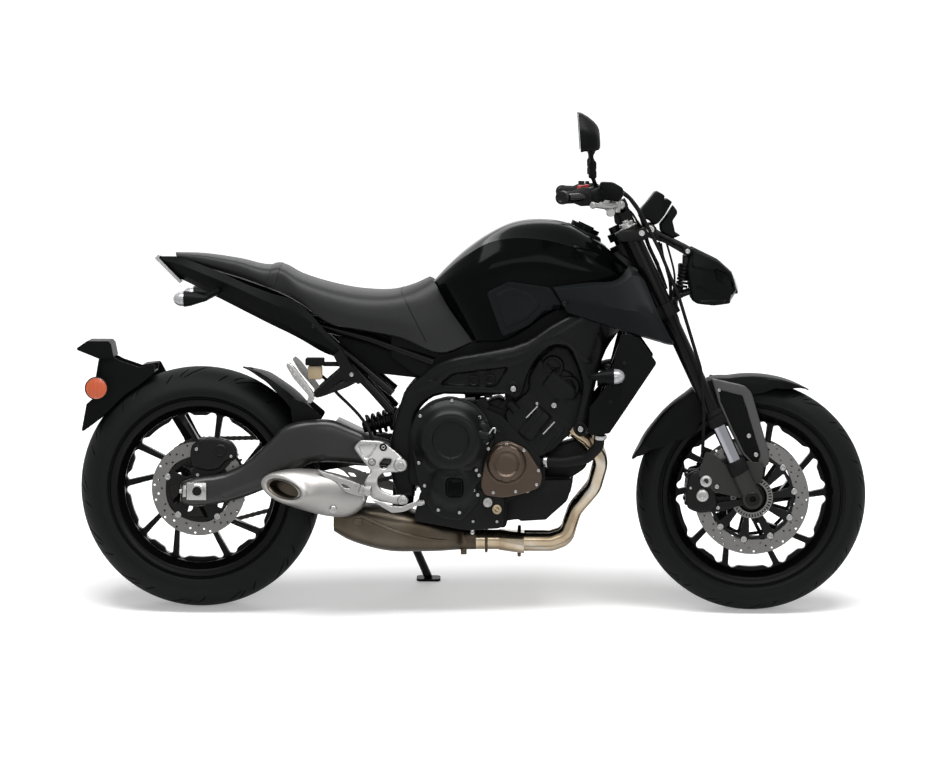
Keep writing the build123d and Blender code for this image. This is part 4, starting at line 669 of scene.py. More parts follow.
# Geometry Nodes: one unit repeated on points that say how it faces and how big it is
def makeSetOutTree():
    tree = bpy.data.node_groups.new("setOut", "GeometryNodeTree")
    for label, kind in (("Geometry", "Geometry"), ("Unit", "Object"), ("Finish", "Material"),
            ("Weld", "Float")):
        tree.interface.new_socket(label, in_out="INPUT", socket_type="NodeSocket" + kind)
    tree.interface.new_socket("Geometry", in_out="OUTPUT", socket_type="NodeSocketGeometry")
    given, result = addNode(tree, "NodeGroupInput"), addNode(tree, "NodeGroupOutput")
    toPoints = addNode(tree, "GeometryNodeMeshToPoints")
    unit = addNode(tree, "GeometryNodeObjectInfo")
    facing = addNode(tree, "GeometryNodeInputNamedAttribute", data_type="FLOAT_VECTOR", Name="facing")
    size = addNode(tree, "GeometryNodeInputNamedAttribute", data_type="FLOAT_VECTOR", Name="size")
    turn = addNode(tree, "FunctionNodeEulerToRotation")
    place = addNode(tree, "GeometryNodeInstanceOnPoints")
    real = addNode(tree, "GeometryNodeRealizeInstances")
    weld = addNode(tree, "GeometryNodeMergeByDistance")
    finish = addNode(tree, "GeometryNodeSetMaterial")
    wire(tree, (given, "Geometry", toPoints, "Mesh"), (given, "Unit", unit, "Object"),
        (given, "Weld", weld, "Distance"), (given, "Finish", finish, "Material"),
        (toPoints, "Points", place, "Points"), (unit, "Geometry", place, "Instance"),
        (facing, "Attribute", turn, "Euler"), (turn, "Rotation", place, "Rotation"),
        (size, "Attribute", place, "Scale"), (place, "Instances", real, "Geometry"),
        (real, "Geometry", weld, "Geometry"), (weld, "Geometry", finish, "Geometry"),
        (finish, "Geometry", result, "Geometry"))
    return tree


setOutTree = makeSetOutTree()
setOutSockets = {
    item.name: item.identifier for item in setOutTree.interface.items_tree if item.in_out == "INPUT"}


def setOut(unitMesh, places, look, weld=0.00001):
    # places: (point, rotation matrix, size), size being one number or three
    seeds = bpy.data.meshes.new("seeds")
    seeds.from_pydata([tuple(point) for point, turn, size in places], [], [])
    facing = seeds.attributes.new("facing", "FLOAT_VECTOR", "POINT")
    sizes = seeds.attributes.new("size", "FLOAT_VECTOR", "POINT")
    for index, (point, turn, size) in enumerate(places):
        facing.data[index].vector = turn.to_3x3().to_euler()
        sizes.data[index].vector = (size,) * 3 if isinstance(size, (int, float)) else size
    holder = bpy.data.objects.new("seeds", seeds)
    unit = bpy.data.objects.new("unit", unitMesh)
    for thing in (holder, unit):
        bpy.context.scene.collection.objects.link(thing)
    modifier = holder.modifiers.new("setOut", "NODES")
    modifier.node_group = setOutTree
    modifier[setOutSockets["Unit"]] = unit
    modifier[setOutSockets["Finish"]] = looks[look]
    modifier[setOutSockets["Weld"]] = weld
    graph = bpy.context.evaluated_depsgraph_get()
    result = bpy.data.meshes.new_from_object(holder.evaluated_get(graph))
    for thing in (holder, unit):
        bpy.data.objects.remove(thing)
    return result


def facingAlong(direction):
    # turns a unit drawn standing up (+Z) to stand along direction
    return Vector(direction).normalized().to_track_quat("Z", "Y").to_matrix().to_4x4()


def boltHead(*rings):
    # rings of (height, radius, whether it is six-sided), standing on z = 0
    grid = []
    for height, radius, sixSided in rings:
        ring = []
        for index in range(24):
            turn = 2 * math.pi * index / 24
            reach = radius
            if sixSided:
                part = (turn % (math.pi / 3)) - math.pi / 6
                reach = radius * math.cos(math.pi / 6) / math.cos(part)
            ring.append((reach * math.cos(turn), reach * math.sin(turn), height))
        grid.append(ring)
    return outward(gridMesh(grid, closed=True))


# a cap screw's head of 10 mm with its socket, and a flanged hexagon of 12 mm across flats
socketHead = boltHead((0, 5.0, False), (5.2, 5.0, False), (6.0, 4.3, False), (6.0, 2.9, True),
    (3.2, 2.7, True), (3.2, 0.01, True))
hexHead = boltHead((0, 8.0, False), (1.2, 8.0, False), (2.2, 6.9, True), (7.0, 6.9, True),
    (7.8, 5.6, False), (7.8, 0.01, False))


def bolts(name, head, places, look, body="chassis"):
    # places: (x, y, z, direction, size)
    spots = [((x, y, z), facingAlong(direction), size) for x, y, z, direction, size in places]
    mesh = setOut(head.copy(), spots, look)
    return piece(name, mesh, look, body, sharp=32)


print("tools ready")


# flat work with holes
def sameWay(ring):
    # the ring, listed anticlockwise
    area = sum(a[0] * b[1] - b[0] * a[1] for a, b in zip(ring, [*ring[1:], ring[0]]))
    return list(ring) if area > 0 else list(ring)[::-1]


def cutSheet(outline, holes, inner=()):
    # triangles of an outline, and those of its holes
    points, faces = [], []
    for ring in [outline, *holes]:
        faces.append(list(range(len(points), len(points) + len(ring))))
        points += [Vector(point) for point in sameWay(ring)]
    points += [Vector(point) for point in inner]
    spots, _, triangles, _, _, origins = geometry.delaunay_2d_cdt(points, [], faces, 1, 0.0001)
    sheet = [tuple(face) for face, origin in zip(triangles, origins) if origin == [0]]
    cut = [tuple(face) for face, origin in zip(triangles, origins) if len(origin) > 1]
    return spots, sheet, cut


def openEdges(faces):
    seen = {}
    for face in faces:
        for index, start in enumerate(face):
            end = face[(index + 1) % len(face)]
            if (end, start) in seen:
                del seen[(end, start)]
            else:
                seen[(start, end)] = True
    return list(seen)


def thickSheet(outline, holes, low, high, bevel=0.0, segments=2, inner=()):
    # a plate standing in the side view; low and high are y, or functions of (x, z) that give y
    spots, faces, _ = cutSheet(outline, holes, inner)
    lowAt = low if callable(low) else lambda x, z: low
    highAt = high if callable(high) else lambda x, z: high
    count = len(spots)
    points = [(x, lowAt(x, z), z) for x, z in spots] + [(x, highAt(x, z), z) for x, z in spots]
    solid = list(faces) + [tuple(index + count for index in face[::-1]) for face in faces]
    solid += [(end, start, start + count, end + count) for start, end in openEdges(faces)]
    mesh = outward(meshFrom(points, solid))
    if bevel:
        mesh = worked(mesh, ("BEVEL",
                {"width": bevel, "segments": segments, "limit_method": "ANGLE", "angle_limit": 0.6}))
    return mesh


def circle(radius, centre=(0, 0), steps=16, start=0.0):
    return [(centre[0] + radius * math.cos(2 * math.pi * index / steps + start),
            centre[1] + radius * math.sin(2 * math.pi * index / steps + start))
        for index in range(steps)]


def polar(radius, angle, centre=(0, 0)):
    turn = math.radians(angle)
    return Vector((centre[0] + radius * math.cos(turn), centre[1] + radius * math.sin(turn)))


def aboutAxle(count):
    return [Matrix.Rotation(-math.radians(360 * index / count), 4, "Y") for index in range(count)]


# tyres
tyreLook = {
    "rear": {"radius": 315.0, "half": 88.0, "rimHalf": 72.0, "pitches": 13, "acrossSteps": 22,
        "depth": 4.5, "slots": (((10, 8), (40, 44), (88, 74), 5.0), ((68, 34), (84, 52), (94, 66), 4.2),
            ((112, 50), (124, 66), (134, 80), 4.4))},
    "front": {"radius": 300.0, "half": 58.0, "rimHalf": 47.0, "pitches": 15, "acrossSteps": 16,
        "depth": 3.8, "slots": (((8, 5), (30, 30), (66, 50), 4.0), ((54, 20), (66, 32), (74, 44), 3.2),
            ((88, 30), (98, 42), (106, 54), 3.4))},
}


def tyreSection(look):
    # (y, radius) from the middle of the crown round the right-hand side to the bead
    half, radius, bead = look["half"], look["radius"], look["rimHalf"] - 5.3
    drop = half * 0.62
    turn = (half * half + drop * drop) / (2 * drop)
    crown = []
    widest = math.atan2(half, turn - drop)
    for step in range(look["acrossSteps"] + 1):
        angle = widest * step / look["acrossSteps"]
        crown.append((-turn * math.sin(angle), radius - turn + turn * math.cos(angle)))
    shoulder = radius - drop
    wall = smoothLine([(-half, shoulder, 0), (-half - 0.6, shoulder - 9, 0),
            (-half + 1, shoulder - 20, 0), (-(half + bead) / 2 - 2, 246, 0), (-bead - 1.5, 238, 0)], 4)
    side = [(point.x, point.y) for point in wall[1:]]
    # a raised step and a fine line where the wall leaves the tread, then the rim protector
    side = [(y + (0.9 if index in (4, 5) else 0), r) for index, (y, r) in enumerate(side)]
    side += [(-bead - 3.5, 235.5), (-bead - 2.6, 232.5), (-bead, 231), (-bead, 219.6), (0, 219.6)]
    return crown, side


def slotOutline(start, middle, end, width, steps=9):
    # a slit that bends from start to end and thins at both ends
    centre = [Vector(start).lerp(Vector(middle), t).lerp(Vector(middle).lerp(Vector(end), t), t)
        for t in (index / steps for index in range(steps + 1))]
    left, right = [], []
    for index, point in enumerate(centre):
        ahead = (centre[min(index + 1, steps)] - centre[max(index - 1, 0)]).normalized()
        reach = width / 2 * (0.25 + 0.75 * math.sin(math.pi * index / steps) ** 0.5)
        across = Vector((-ahead.y, ahead.x)) * reach
        left.append(point + across)
        right.append(point - across)
    return left + right[::-1]


def makeTyre(key, centre):
    look = tyreLook[key]
    crown, side = tyreSection(look)
    lengths = [0.0]
    for (y0, r0), (y1, r1) in zip(crown, crown[1:]):
        lengths.append(lengths[-1] + math.hypot(y1 - y0, r1 - r0))
    width = lengths[-1]
    pitch = 2 * math.pi * look["radius"] / look["pitches"]
    around = max(12, round(pitch / 9))
    rim = [(pitch * index / around, -width) for index in range(around)]
    rim += [(pitch, -width + 2 * width * index / 40) for index in range(40)]
    rim += [(pitch - pitch * index / around, width) for index in range(around)]
    rim += [(0, width - 2 * width * index / 40) for index in range(40)]
    slots = []
    for start, middle, end, wide in look["slots"]:
        shape = slotOutline(start, middle, end, wide)
        slots.append(shape)
        slots.append([(u, -v) for u, v in shape])
    inner = [(pitch * (u + 0.5 * (v % 2)) / around, -width + 2 * width * v / 40)
        for u in range(1, around) for v in range(1, 40)]
    spots, top, floor = cutSheet(rim, slots, inner)

    def wrapped(u, v, sunk):
        reach = min(abs(v), width)
        index = min(int(reach / width * look["acrossSteps"]), look["acrossSteps"] - 1)
        part = (reach - lengths[index]) / (lengths[index + 1] - lengths[index])
        (y0, r0), (y1, r1) = crown[index], crown[index + 1]
        y, r = y0 + (y1 - y0) * part, r0 + (r1 - r0) * part
        inwards = Vector((-(r1 - r0), y1 - y0)).normalized()
        y, r = y + inwards.x * sunk, r + inwards.y * sunk
        turn = 2 * math.pi * u / (pitch * look["pitches"])
        return (r * math.cos(turn), y if v > 0 else -y, r * math.sin(turn))

    count = len(spots)
    flat = [wrapped(u, v, 0) for u, v in spots] + [wrapped(u, v, look["depth"]) for u, v in spots]
    solid = top + [tuple(index + count for index in face) for face in floor]
    solid += [(start, end, end + count, start + count) for start, end in openEdges(floor)]
    tile = meshFrom(flat, solid)
    cleaned = bmesh.new()
    cleaned.from_mesh(tile)
    loose = [vertex for vertex in cleaned.verts if not vertex.link_faces]
    bmesh.ops.delete(cleaned, geom=loose, context="VERTS")
    cleaned.to_mesh(tile)
    cleaned.free()
    spots = [((0, 0, 0), turn, 1.0) for turn in aboutAxle(look["pitches"])]
    tread = setOut(tile, spots, "tyreBlack", weld=0.02)
    profile = [crown[-1]] + side
    steps = around * look["pitches"]
    walls = lathe(profile, steps=steps, closed=False)
    whole = joined(tread, walls, mirrored(walls))
    return turnedTo(outward(whole, 0.05), Matrix.Translation((centre[0], 0, centre[1])))


for key, centre in axleAt.items():
    piece(key + "TreadedTyre", makeTyre(key, centre), "tyreBlack", key + "_wheel", key + "_tyre",
        sharp=50)
print("tyres made")

# cast wheels
wheelLook = {"spokeHalf": 3.9, "apexRadius": 60.0, "apexAngle": 203.0, "nearLeg": 219.0,
    "farLeg": 249.7, "lip": 186.5, "lobe": 9.5, "cornerRadius": 10.0, "hubReach": 52, "taper": 90,
    "rimDepth": 12.5, "spiderRadius": 203, "bore": 12.6,
    "rear": {"rimHalf": 72, "hubHalf": 66, "hubRadius": 48, "hubDepth": 34},
    "front": {"rimHalf": 47, "hubHalf": 59.75, "hubRadius": 50, "hubDepth": 30}}


def lineCrossing(p, q):
    return geometry.intersect_line_line(*[Vector((a[0], a[1], 0)) for a in (*p, *q)])[0].xy


def besideLine(start, end, distance):
    across = (end - start).normalized()
    shift = Vector((-across.y, across.x)) * distance
    return start + shift, end + shift


def lipArc(start, end, look):
    # the wheel's inner edge from one spoke to the next, with a lobe beside each spoke
    line = []
    for index in range(25):
        angle = start + (end - start) * index / 24
        near = min(angle - start, end - angle)
        rise = look["lobe"] * (0.5 + 0.5 * math.cos(math.pi * min(1, abs(near - 3.2) / 5.4)))
        line.append(polar(look["lip"] + rise, angle))
    return line


def wheelWindows(look):
    windows = []
    half = look["spokeHalf"]
    for index in range(5):
        turn = 72 * index
        apex = polar(look["apexRadius"], look["apexAngle"] + turn)
        lastApex = polar(look["apexRadius"], look["apexAngle"] + turn - 72)
        near = polar(215, look["nearLeg"] + turn)
        away = polar(215, look["farLeg"] + turn)
        lastAway = polar(215, look["farLeg"] + turn - 72)
        nearEdge = besideLine(apex, near, half)
        awayEdge = besideLine(apex, away, -half)
        tip = lineCrossing(nearEdge, awayEdge)
        inside = lipArc(look["nearLeg"] + turn + 2.6, look["farLeg"] + turn - 2.6, look)
        windows.append(rounded([tip, *inside], look["cornerRadius"]))
        nearOut = besideLine(apex, near, -half)
        lastOut = besideLine(lastApex, lastAway, half)
        outside = lipArc(look["farLeg"] + turn - 72 + 2.6, look["nearLeg"] + turn - 2.6, look)
        hub = [nearOut[0] + (nearOut[1] - nearOut[0]) * 0.04, polar(50, look["apexAngle"] + turn - 12),
            polar(50, look["apexAngle"] + turn - 46), lastOut[0] + (lastOut[1] - lastOut[0]) * 0.04]
        windows.append(rounded([*outside, *hub], look["cornerRadius"]))
    return windows


def makeWheel(centre, rimHalf, hubHalf, hubRadius, hubDepth):
    look = wheelLook
    windows = [[(x, z) for x, z in window] for window in wheelWindows(look)]
    filled = [
        polar(radius, 5 * index + radius) for radius in (52, 70, 96, 128, 160) for index in range(72)]
    inner = [point for point in filled if not any(insideRing(point, ring) for ring in windows)]

    def depth(x, z):
        reach = math.hypot(x, z)
        part = min(1, max(0, (reach - look["hubReach"]) / look["taper"]))
        return hubDepth + (look["rimDepth"] - hubDepth) * part

    spider = thickSheet(circle(look["spiderRadius"], steps=120), windows, lambda x, z: -depth(x, z),
        depth, 3.2, 3, inner)
    h = rimHalf
    outer = [(-h, 231), (-h + 1.5, 233), (-h + 4, 232), (-h + 5.5, 225), (-h + 9, 219.4),
        (-h + 22, 218), (-h + 28, 206), (h - 28, 206), (h - 22, 218), (h - 9, 219.4), (h - 5.5, 225),
        (h - 4, 232), (h - 1.5, 233), (h, 231), (h - 0.5, 222), (h - 6, 214), (h - 17, 211),
        (h - 25, 200), (h - 34, 197), (-h + 34, 197), (-h + 25, 200), (-h + 17, 211), (-h + 6, 214),
        (-h + 0.5, 222)]
    barrel = lathe(outer, steps=144)
    hub = lathe([(-hubHalf, look["bore"]), (-hubHalf, hubRadius - 8), (-hubHalf + 5, hubRadius - 1),
            (-hubHalf + 9, hubRadius), (-hubDepth - 6, hubRadius), (-hubDepth, hubRadius + 5),
            (hubDepth, hubRadius + 5), (hubDepth + 6, hubRadius), (hubHalf - 9, hubRadius),
            (hubHalf - 5, hubRadius - 1), (hubHalf, hubRadius - 8), (hubHalf, look["bore"])], steps=72)
    return turnedTo(joined(spider, barrel, hub), Matrix.Translation((centre[0], 0, centre[1])))


def insideRing(point, ring):
    inside = False
    for (x0, z0), (x1, z1) in zip(ring, ring[1:] + ring[:1]):
        if (z0 > point[1]) != (z1 > point[1]):
            if point[0] < (x1 - x0) * (point[1] - z0) / (z1 - z0) + x0:
                inside = not inside
    return inside


for key, centre in axleAt.items():
    piece(key + "CastWheel", makeWheel(centre, **wheelLook[key]), "rimBlack", key + "_wheel",
        key + "_rim", sharp=40)
print("wheels made")

# brake discs: drilled band, carrier with arms, rivets
discLook = {
    "front": {"outer": 149.0, "inner": 113.0, "ys": (-62, 62), "holes": 66, "arms": 10, "hub": 38.0,
        "hole": 2.7},
    "rear": {"outer": 122.5, "inner": 88.0, "ys": (-82,), "holes": 48, "arms": 5, "hub": 30.0,
        "hole": 2.9},
}


def discBand(look):
    outer, inner = look["outer"], look["inner"]
    wave = [polar(outer, 360 * index / 180) for index in range(180)]
    hollow = [polar(inner + 1.6 * math.cos(math.radians(look["arms"] * 4 * index)), 4 * index)
        for index in range(90)]
    holes = []
    for index in range(look["holes"]):
        row = (0.24, 0.52, 0.8)[index % 3]
        angle = 360 * index / look["holes"] + (3.0 if index % 6 > 2 else 0)
        spot = polar(inner + (outer - inner) * row, angle)
        holes.append(circle(look["hole"], spot, 10))
    return thickSheet(wave, [hollow, *holes], -2.2, 2.2)


def discCarrier(look):
    hub, reach = look["hub"], look["inner"]
    windows = []
    step = 360 / look["arms"]
    for index in range(look["arms"]):
        turn = index * step
        windows.append(rounded([polar(hub + 12, turn + step * 0.3),
                    polar(reach - 9, turn + step * 0.42), polar(reach - 9, turn + step * 1.02),
                    polar(hub + 12, turn + step * 0.9)], 6))
    rim = []
    for index in range(180):
        near = abs((2 * index + step / 2 - step * 0.22) % step - step / 2)
        rim.append(polar(reach + (5.0 if near < 4.5 else -2.0), 2 * index))
    return thickSheet(rim, [circle(hub, steps=48), *windows], -2.8, 2.8, 0.8, 1)


def makeDisc(look, centre, y):
    move = Matrix.Translation((centre[0], y, centre[1]))
    return turnedTo(discBand(look), move), turnedTo(discCarrier(look), move)


button = spun([(-4.2, 0.01), (-4.2, 7.5), (-3.2, 8.4), (3.2, 8.4), (4.2, 7.5), (4.2, 4.0), (3.0, 3.2),
        (3.0, 0.01)], (0, 0, 0), (0, 0, 1), 20)


def discRivets(look, centre):
    places = []
    for y in look["ys"]:
        for index in range(look["arms"]):
            spot = polar(look["inner"] - 1, 360 / look["arms"] * (index + 0.22), centre)
            places.append(((spot.x, y, spot.y), facingAlong((0, -1 if y < 0 else 1, 0)), 1.0))
    return setOut(button.copy(), places, "boltSteel")


for key, look in discLook.items():
    bands, carriers = zip(*[makeDisc(look, axleAt[key], y) for y in look["ys"]])
    node = "front_discs" if key == "front" else "rear_disc"
    piece(key + "DiscBands", joined(*bands), "discSteel", key + "_wheel", node)
    piece(key + "DiscCarriers", joined(*carriers), "boltBlack", key + "_wheel")
    piece(key + "DiscRivets", discRivets(look, axleAt[key]), "boltSteel", key + "_wheel")
print("discs made")

# fuel tank
tankLook = {"capCentre": (1000.0, 0.0, 992.0), "capNormal": (0.42, 0.0, 0.9075), "recess": 44.0,
    "neck": 27.0, "neckDepth": 46.0, "lockTurns": (14, 18.5, 23, 27, 31), "roomFoot": (1179.3, 780),
    "room": 26}
tankRails = [
    [(606, 0, 855), (640, 0, 893), (696, 0, 944), (753, 0, 983), (810, 0, 1010), (880, 0, 1020),
        (962, 0, 1009), (1040, 0, 964), (1094, 0, 918), (1122, 0, 893)],
    [(606, -34, 855), (640, -44, 891), (696, -54, 940), (753, -60, 979), (810, -64, 1004),
        (880, -66, 1012), (962, -64, 1001), (1040, -56, 958), (1094, -48, 915), (1122, -42, 891)],
    [(608, -60, 853), (640, -86, 882), (694, -108, 926), (752, -122, 960), (810, -130, 973),
        (880, -134, 972), (964, -126, 954), (1042, -108, 922), (1096, -88, 897), (1120, -70, 885)],
    [(616, -80, 842), (648, -114, 862), (700, -140, 888), (756, -152, 908), (814, -152, 912),
        (884, -146, 906), (966, -142, 896), (1044, -128, 887), (1097, -104, 880), (1116, -84, 877)],
    [(648, -92, 800), (674, -122, 806), (716, -142, 818), (764, -144, 830), (820, -136, 838),
        (888, -132, 846), (968, -136, 855), (1045, -126, 862), (1097, -104, 868), (1114, -86, 870)],
    [(706, -94, 709), (720, -118, 707), (744, -134, 708), (790, -134, 711), (846, -132, 742),
        (900, -130, 780), (970, -134, 812), (1046, -122, 838), (1096, -100, 860), (1112, -82, 866)],
    [(708, -70, 704), (724, -88, 702), (748, -100, 703), (794, -102, 706), (848, -102, 734),
        (902, -102, 772), (972, -104, 806), (1046, -94, 834), (1092, -78, 858), (1108, -62, 864)],
    [(708, 0, 704), (724, 0, 702), (748, 0, 703), (794, 0, 706), (848, 0, 734), (902, 0, 772),
        (972, 0, 806), (1046, 0, 834), (1092, 0, 858), (1108, 0, 864)],
]


def cutBy(mesh, *tools):
    for tool in tools:
        cutter = bpy.data.objects.new("cutter", tool)
        bpy.context.scene.collection.objects.link(cutter)
        mesh = worked(mesh,
            ("BOOLEAN", {"object": cutter, "operation": "DIFFERENCE", "solver": "EXACT"}))
        bpy.data.objects.remove(cutter)
    return mesh


def drum(base, direction, radius, length, steps=48):
    return spun([(0, 0.001), (0, radius), (length, radius), (length, 0.001)], base, direction, steps)


def onStem(z):
    return Vector((steerLook["foot"] - steerLook["slope"] * z, 0, z))


tankForm = fullForm(tankRails, (2, 5, 6))
capAt, capUp = Vector(tankLook["capCentre"]), Vector(tankLook["capNormal"]).normalized()
steerRoom = drum(onStem(740), steerUp, 46, 300)
headRoom = slab([(1030, 700), (1036, 840), (1058, 950), (1058, 1100), (1220, 1100), (1220, 700)], -47,
    47, 0)
lockRooms = []  # where the fork tubes come to as the steering nears its stops
roomX, roomZ = tankLook["roomFoot"]
for turn in tankLook["lockTurns"]:
    part, ahead, apart = math.radians(turn), steerLook["legsAhead"], steerLook["legsApart"]
    back = ahead * math.cos(part) - apart * math.sin(part)
    side = ahead * math.sin(part) + apart * math.cos(part)
    x, z = roomX + steerLook["cosine"] * back, roomZ + steerLook["sine"] * back
    lockRooms += [drum((x, way * side, z), steerUp, tankLook["room"], 300, 32) for way in (-1, 1)]
tankMesh = cutBy(tankForm, drum(capAt - capUp * 1.0, capUp, tankLook["recess"], 60),
    drum(capAt - capUp * tankLook["neckDepth"], capUp, tankLook["neck"], 90), steerRoom, headRoom,
    *lockRooms)
piece("tankShell", tankMesh, "tankGloss", "chassis", "fuel_tank", sharp=30)
capCollar = spun([(-34, 34), (-34, 56), (-14, 55), (-5, 51), (-1, 47), (-0.4, 44), (-0.4, 40.6),
        (-3, 40.2), (-3, 28), (-34, 28)], capAt, capUp, 64)
piece("capCollar", capCollar, "mouldingBlack", "chassis")


def treeOf(mesh):
    shell = bmesh.new()
    shell.from_mesh(mesh)
    bmesh.ops.triangulate(shell, faces=shell.faces)
    tree = BVHTree.FromBMesh(shell)
    shell.free()
    return tree


def wrappedPlate(outline, tree, lift, thickness, step, bevel=1.0):
    # a side outline laid on the right-hand flank of a form
    ring = [Vector(point) for point in outline]
    fine = []
    for index, point in enumerate(ring):
        after = ring[(index + 1) % len(ring)]
        count = max(1, round((after - point).length / step))
        fine += [point.lerp(after, part / count) for part in range(count)]
    xs, zs = [p.x for p in ring], [p.y for p in ring]
    plain = [(p.x, p.y) for p in fine]
    inner = []
    for row in range(int((max(zs) - min(zs)) / step) + 1):
        for column in range(int((max(xs) - min(xs)) / step) + 1):
            spot = (min(xs) + (column + 0.5 * (row % 2)) * step, min(zs) + row * step)
            if insideRing(spot, plain) and min((Vector(spot) - p).length for p in fine) > step * 0.5:
                inner.append(spot)
    spots, faces, _ = cutSheet(fine, [], inner)

    def ground(x, z):
        hit = tree.ray_cast(Vector((x, -600, z)), Vector((0, 1, 0)))[0]
        return hit.y if hit else -120.0

    depths = {index: ground(x, z) for index, (x, z) in enumerate(spots)}
    count = len(spots)
    points = [(x, depths[i] - lift - thickness, z) for i, (x, z) in enumerate(spots)]
    points += [(x, depths[i] - lift, z) for i, (x, z) in enumerate(spots)]
    solid = list(faces) + [tuple(index + count for index in face[::-1]) for face in faces]
    solid += [(end, start, start + count, end + count) for start, end in openEdges(faces)]
    mesh = outward(meshFrom(points, solid))
    return worked(mesh,
        ("BEVEL", {"width": bevel, "segments": 2, "limit_method": "ANGLE", "angle_limit": 0.9}))


tankTree = treeOf(tankForm)
kneeOutline = rounded(
    [(748, 833), (806, 862), (912, 846), (952, 788), (898, 788), (858, 748), (790, 719)], 9)
kneeInset = rounded([(770, 826), (808, 847), (862, 830), (888, 800), (852, 764), (798, 740)], 8)
kneePanel = joined(wrappedPlate(kneeOutline, tankTree, 0.4, 3.0, 10.0),
    wrappedPlate(kneeInset, tankTree, 2.6, 2.2, 10.0, 0.8))
piece("kneePanels", bothSides(kneePanel), "panelMatt", "chassis", "knee_panels")
print("tank made")

# side scoops: a shell with an upper facet, a lower facet and a front lip
scoopRails = [
    [(919, -138, 848), (1012, -140, 860), (1086, -126, 868), (1116, -96, 902), (1132, -82, 897),
        (1150, -84, 878)],
    [(924, -152, 842), (1014, -172, 850), (1090, -178, 856), (1124, -164, 880), (1140, -158, 878),
        (1158, -158, 862)],
    [(940, -160, 815), (1030, -188, 806), (1110, -206, 792), (1160, -208, 786), (1180, -206, 784),
        (1192, -202, 780)],
    [(956, -158, 784), (1044, -186, 758), (1130, -206, 732), (1196, -212, 714), (1214, -210, 708),
        (1230, -206, 706)],
    [(960, -148, 780), (1046, -172, 753), (1132, -190, 727), (1196, -196, 709), (1212, -195, 704),
        (1228, -194, 702)],
]


def shellOf(rails, along, across, thickness, creaseRails, creaseStations=()):
    skin = outward(gridMesh(railGrid(rails, along, across, creaseRails, creaseStations)))
    facing = sum((face.normal * face.area for face in skin.polygons), Vector())
    if facing.y > 0:
        skin.flip_normals()
    return worked(skin, ("SOLIDIFY", {"thickness": thickness, "offset": -1, "use_even_offset": True}))


scoop = shellOf(scoopRails, 4, 4, 4.0, (1, 2, 3), (3,))
piece("sideScoops", bothSides(scoop), "panelMatt", "chassis", "side_scoops", sharp=24)
print("scoops made")

# seat
seatRails = [
    [(-66, 0, 928), (0, 0, 926), (100, 0, 912), (184, 0, 896), (206, 0, 899), (262, 0, 874),
        (340, 0, 850), (430, 0, 834), (510, 0, 834), (560, 0, 848), (596, 0, 866)],
    [(-66, -20, 927), (0, -30, 925), (100, -44, 911), (184, -54, 895), (206, -56, 898), (262, -64, 872),
        (340, -72, 847), (430, -76, 831), (510, -72, 832), (560, -62, 847), (598, -46, 866)],
    [(-64, -30, 921), (0, -48, 917), (100, -70, 900), (184, -90, 880), (206, -92, 882),
        (262, -108, 850), (340, -120, 822), (430, -124, 806), (512, -116, 810), (570, -100, 828),
        (610, -74, 858)],
    [(-60, -30, 913), (0, -50, 903), (100, -74, 884), (184, -96, 860), (206, -98, 856),
        (262, -116, 826), (340, -130, 790), (430, -136, 770), (520, -130, 766), (600, -114, 772),
        (646, -92, 796)],
    [(-50, -28, 909), (0, -46, 895), (100, -70, 868), (184, -92, 840), (206, -96, 832),
        (262, -112, 804), (340, -124, 752), (430, -130, 734), (524, -126, 716), (634, -116, 676),
        (712, -98, 704)],
    [(-46, -20, 909), (0, -36, 893), (100, -58, 864), (184, -78, 836), (206, -82, 828), (262, -96, 800),
        (340, -106, 748), (430, -108, 730), (524, -104, 711), (636, -94, 667), (712, -80, 691)],
    [(-46, 0, 909), (0, 0, 893), (100, 0, 864), (184, 0, 836), (206, 0, 828), (262, 0, 800),
        (340, 0, 748), (430, 0, 730), (524, 0, 711), (636, 0, 667), (712, 0, 691)],
]
seatLook = {"seamTop": (523, 838), "seamFoot": (592, 704), "bandBack": 187.0, "bandWide": 25.0,
    "bandLift": 3.0, "bandLean": 0.28, "leanFrom": 895, "rearCore": 862, "frontCore": 775,
    "coreChange": 300}
seatForm = worked(fullForm(seatRails, (4, 5)),
    ("SUBSURF", {"levels": 1, "render_levels": 1, "subdivision_type": "SIMPLE"}))


def aheadOfSeam(x, z):
    (topX, topZ), (footX, footZ) = seatLook["seamTop"], seatLook["seamFoot"]
    return x > topX + (footX - topX) * (topZ - z) / (topZ - footZ)


for face in seatForm.polygons:
    face.material_index = int(aheadOfSeam(face.center.x, face.center.z))
seatTree = treeOf(seatForm)


def onSeat(x, turn, lift, lean=0.0):
    # the seat's skin at x, looking out from inside at an angle from the right-hand side over the top
    low = seatLook["rearCore"] if x < seatLook["coreChange"] else seatLook["frontCore"]
    way = Vector((0, -math.cos(turn), math.sin(turn)))
    hit = seatTree.ray_cast(Vector((x, 0, low)), way)[0]
    hit = seatTree.ray_cast(Vector((x - lean * (seatLook["leanFrom"] - hit.z), 0, low)), way)[0]
    return hit + way * lift


def overSeat(steps):
    return [math.radians(-8 + 196 * step / steps) for step in range(steps + 1)]


bandGrid = [[onSeat(seatLook["bandBack"] + across * seatLook["bandWide"], turn,
            lift * seatLook["bandLift"], seatLook["bandLean"]) for turn in overSeat(48)]
    for across, lift in ((0, -0.6), (0.02, 0.7), (0.12, 1), (0.5, 1.1), (0.88, 1), (0.98, 0.7),
        (1, -0.6))]
seatPiece = piece("seatPad", joined(seatForm, painted(outward(gridMesh(bandGrid)), 0)),
    ["seatVinyl", "seatGrip"], "chassis", "seat", sharp=40)


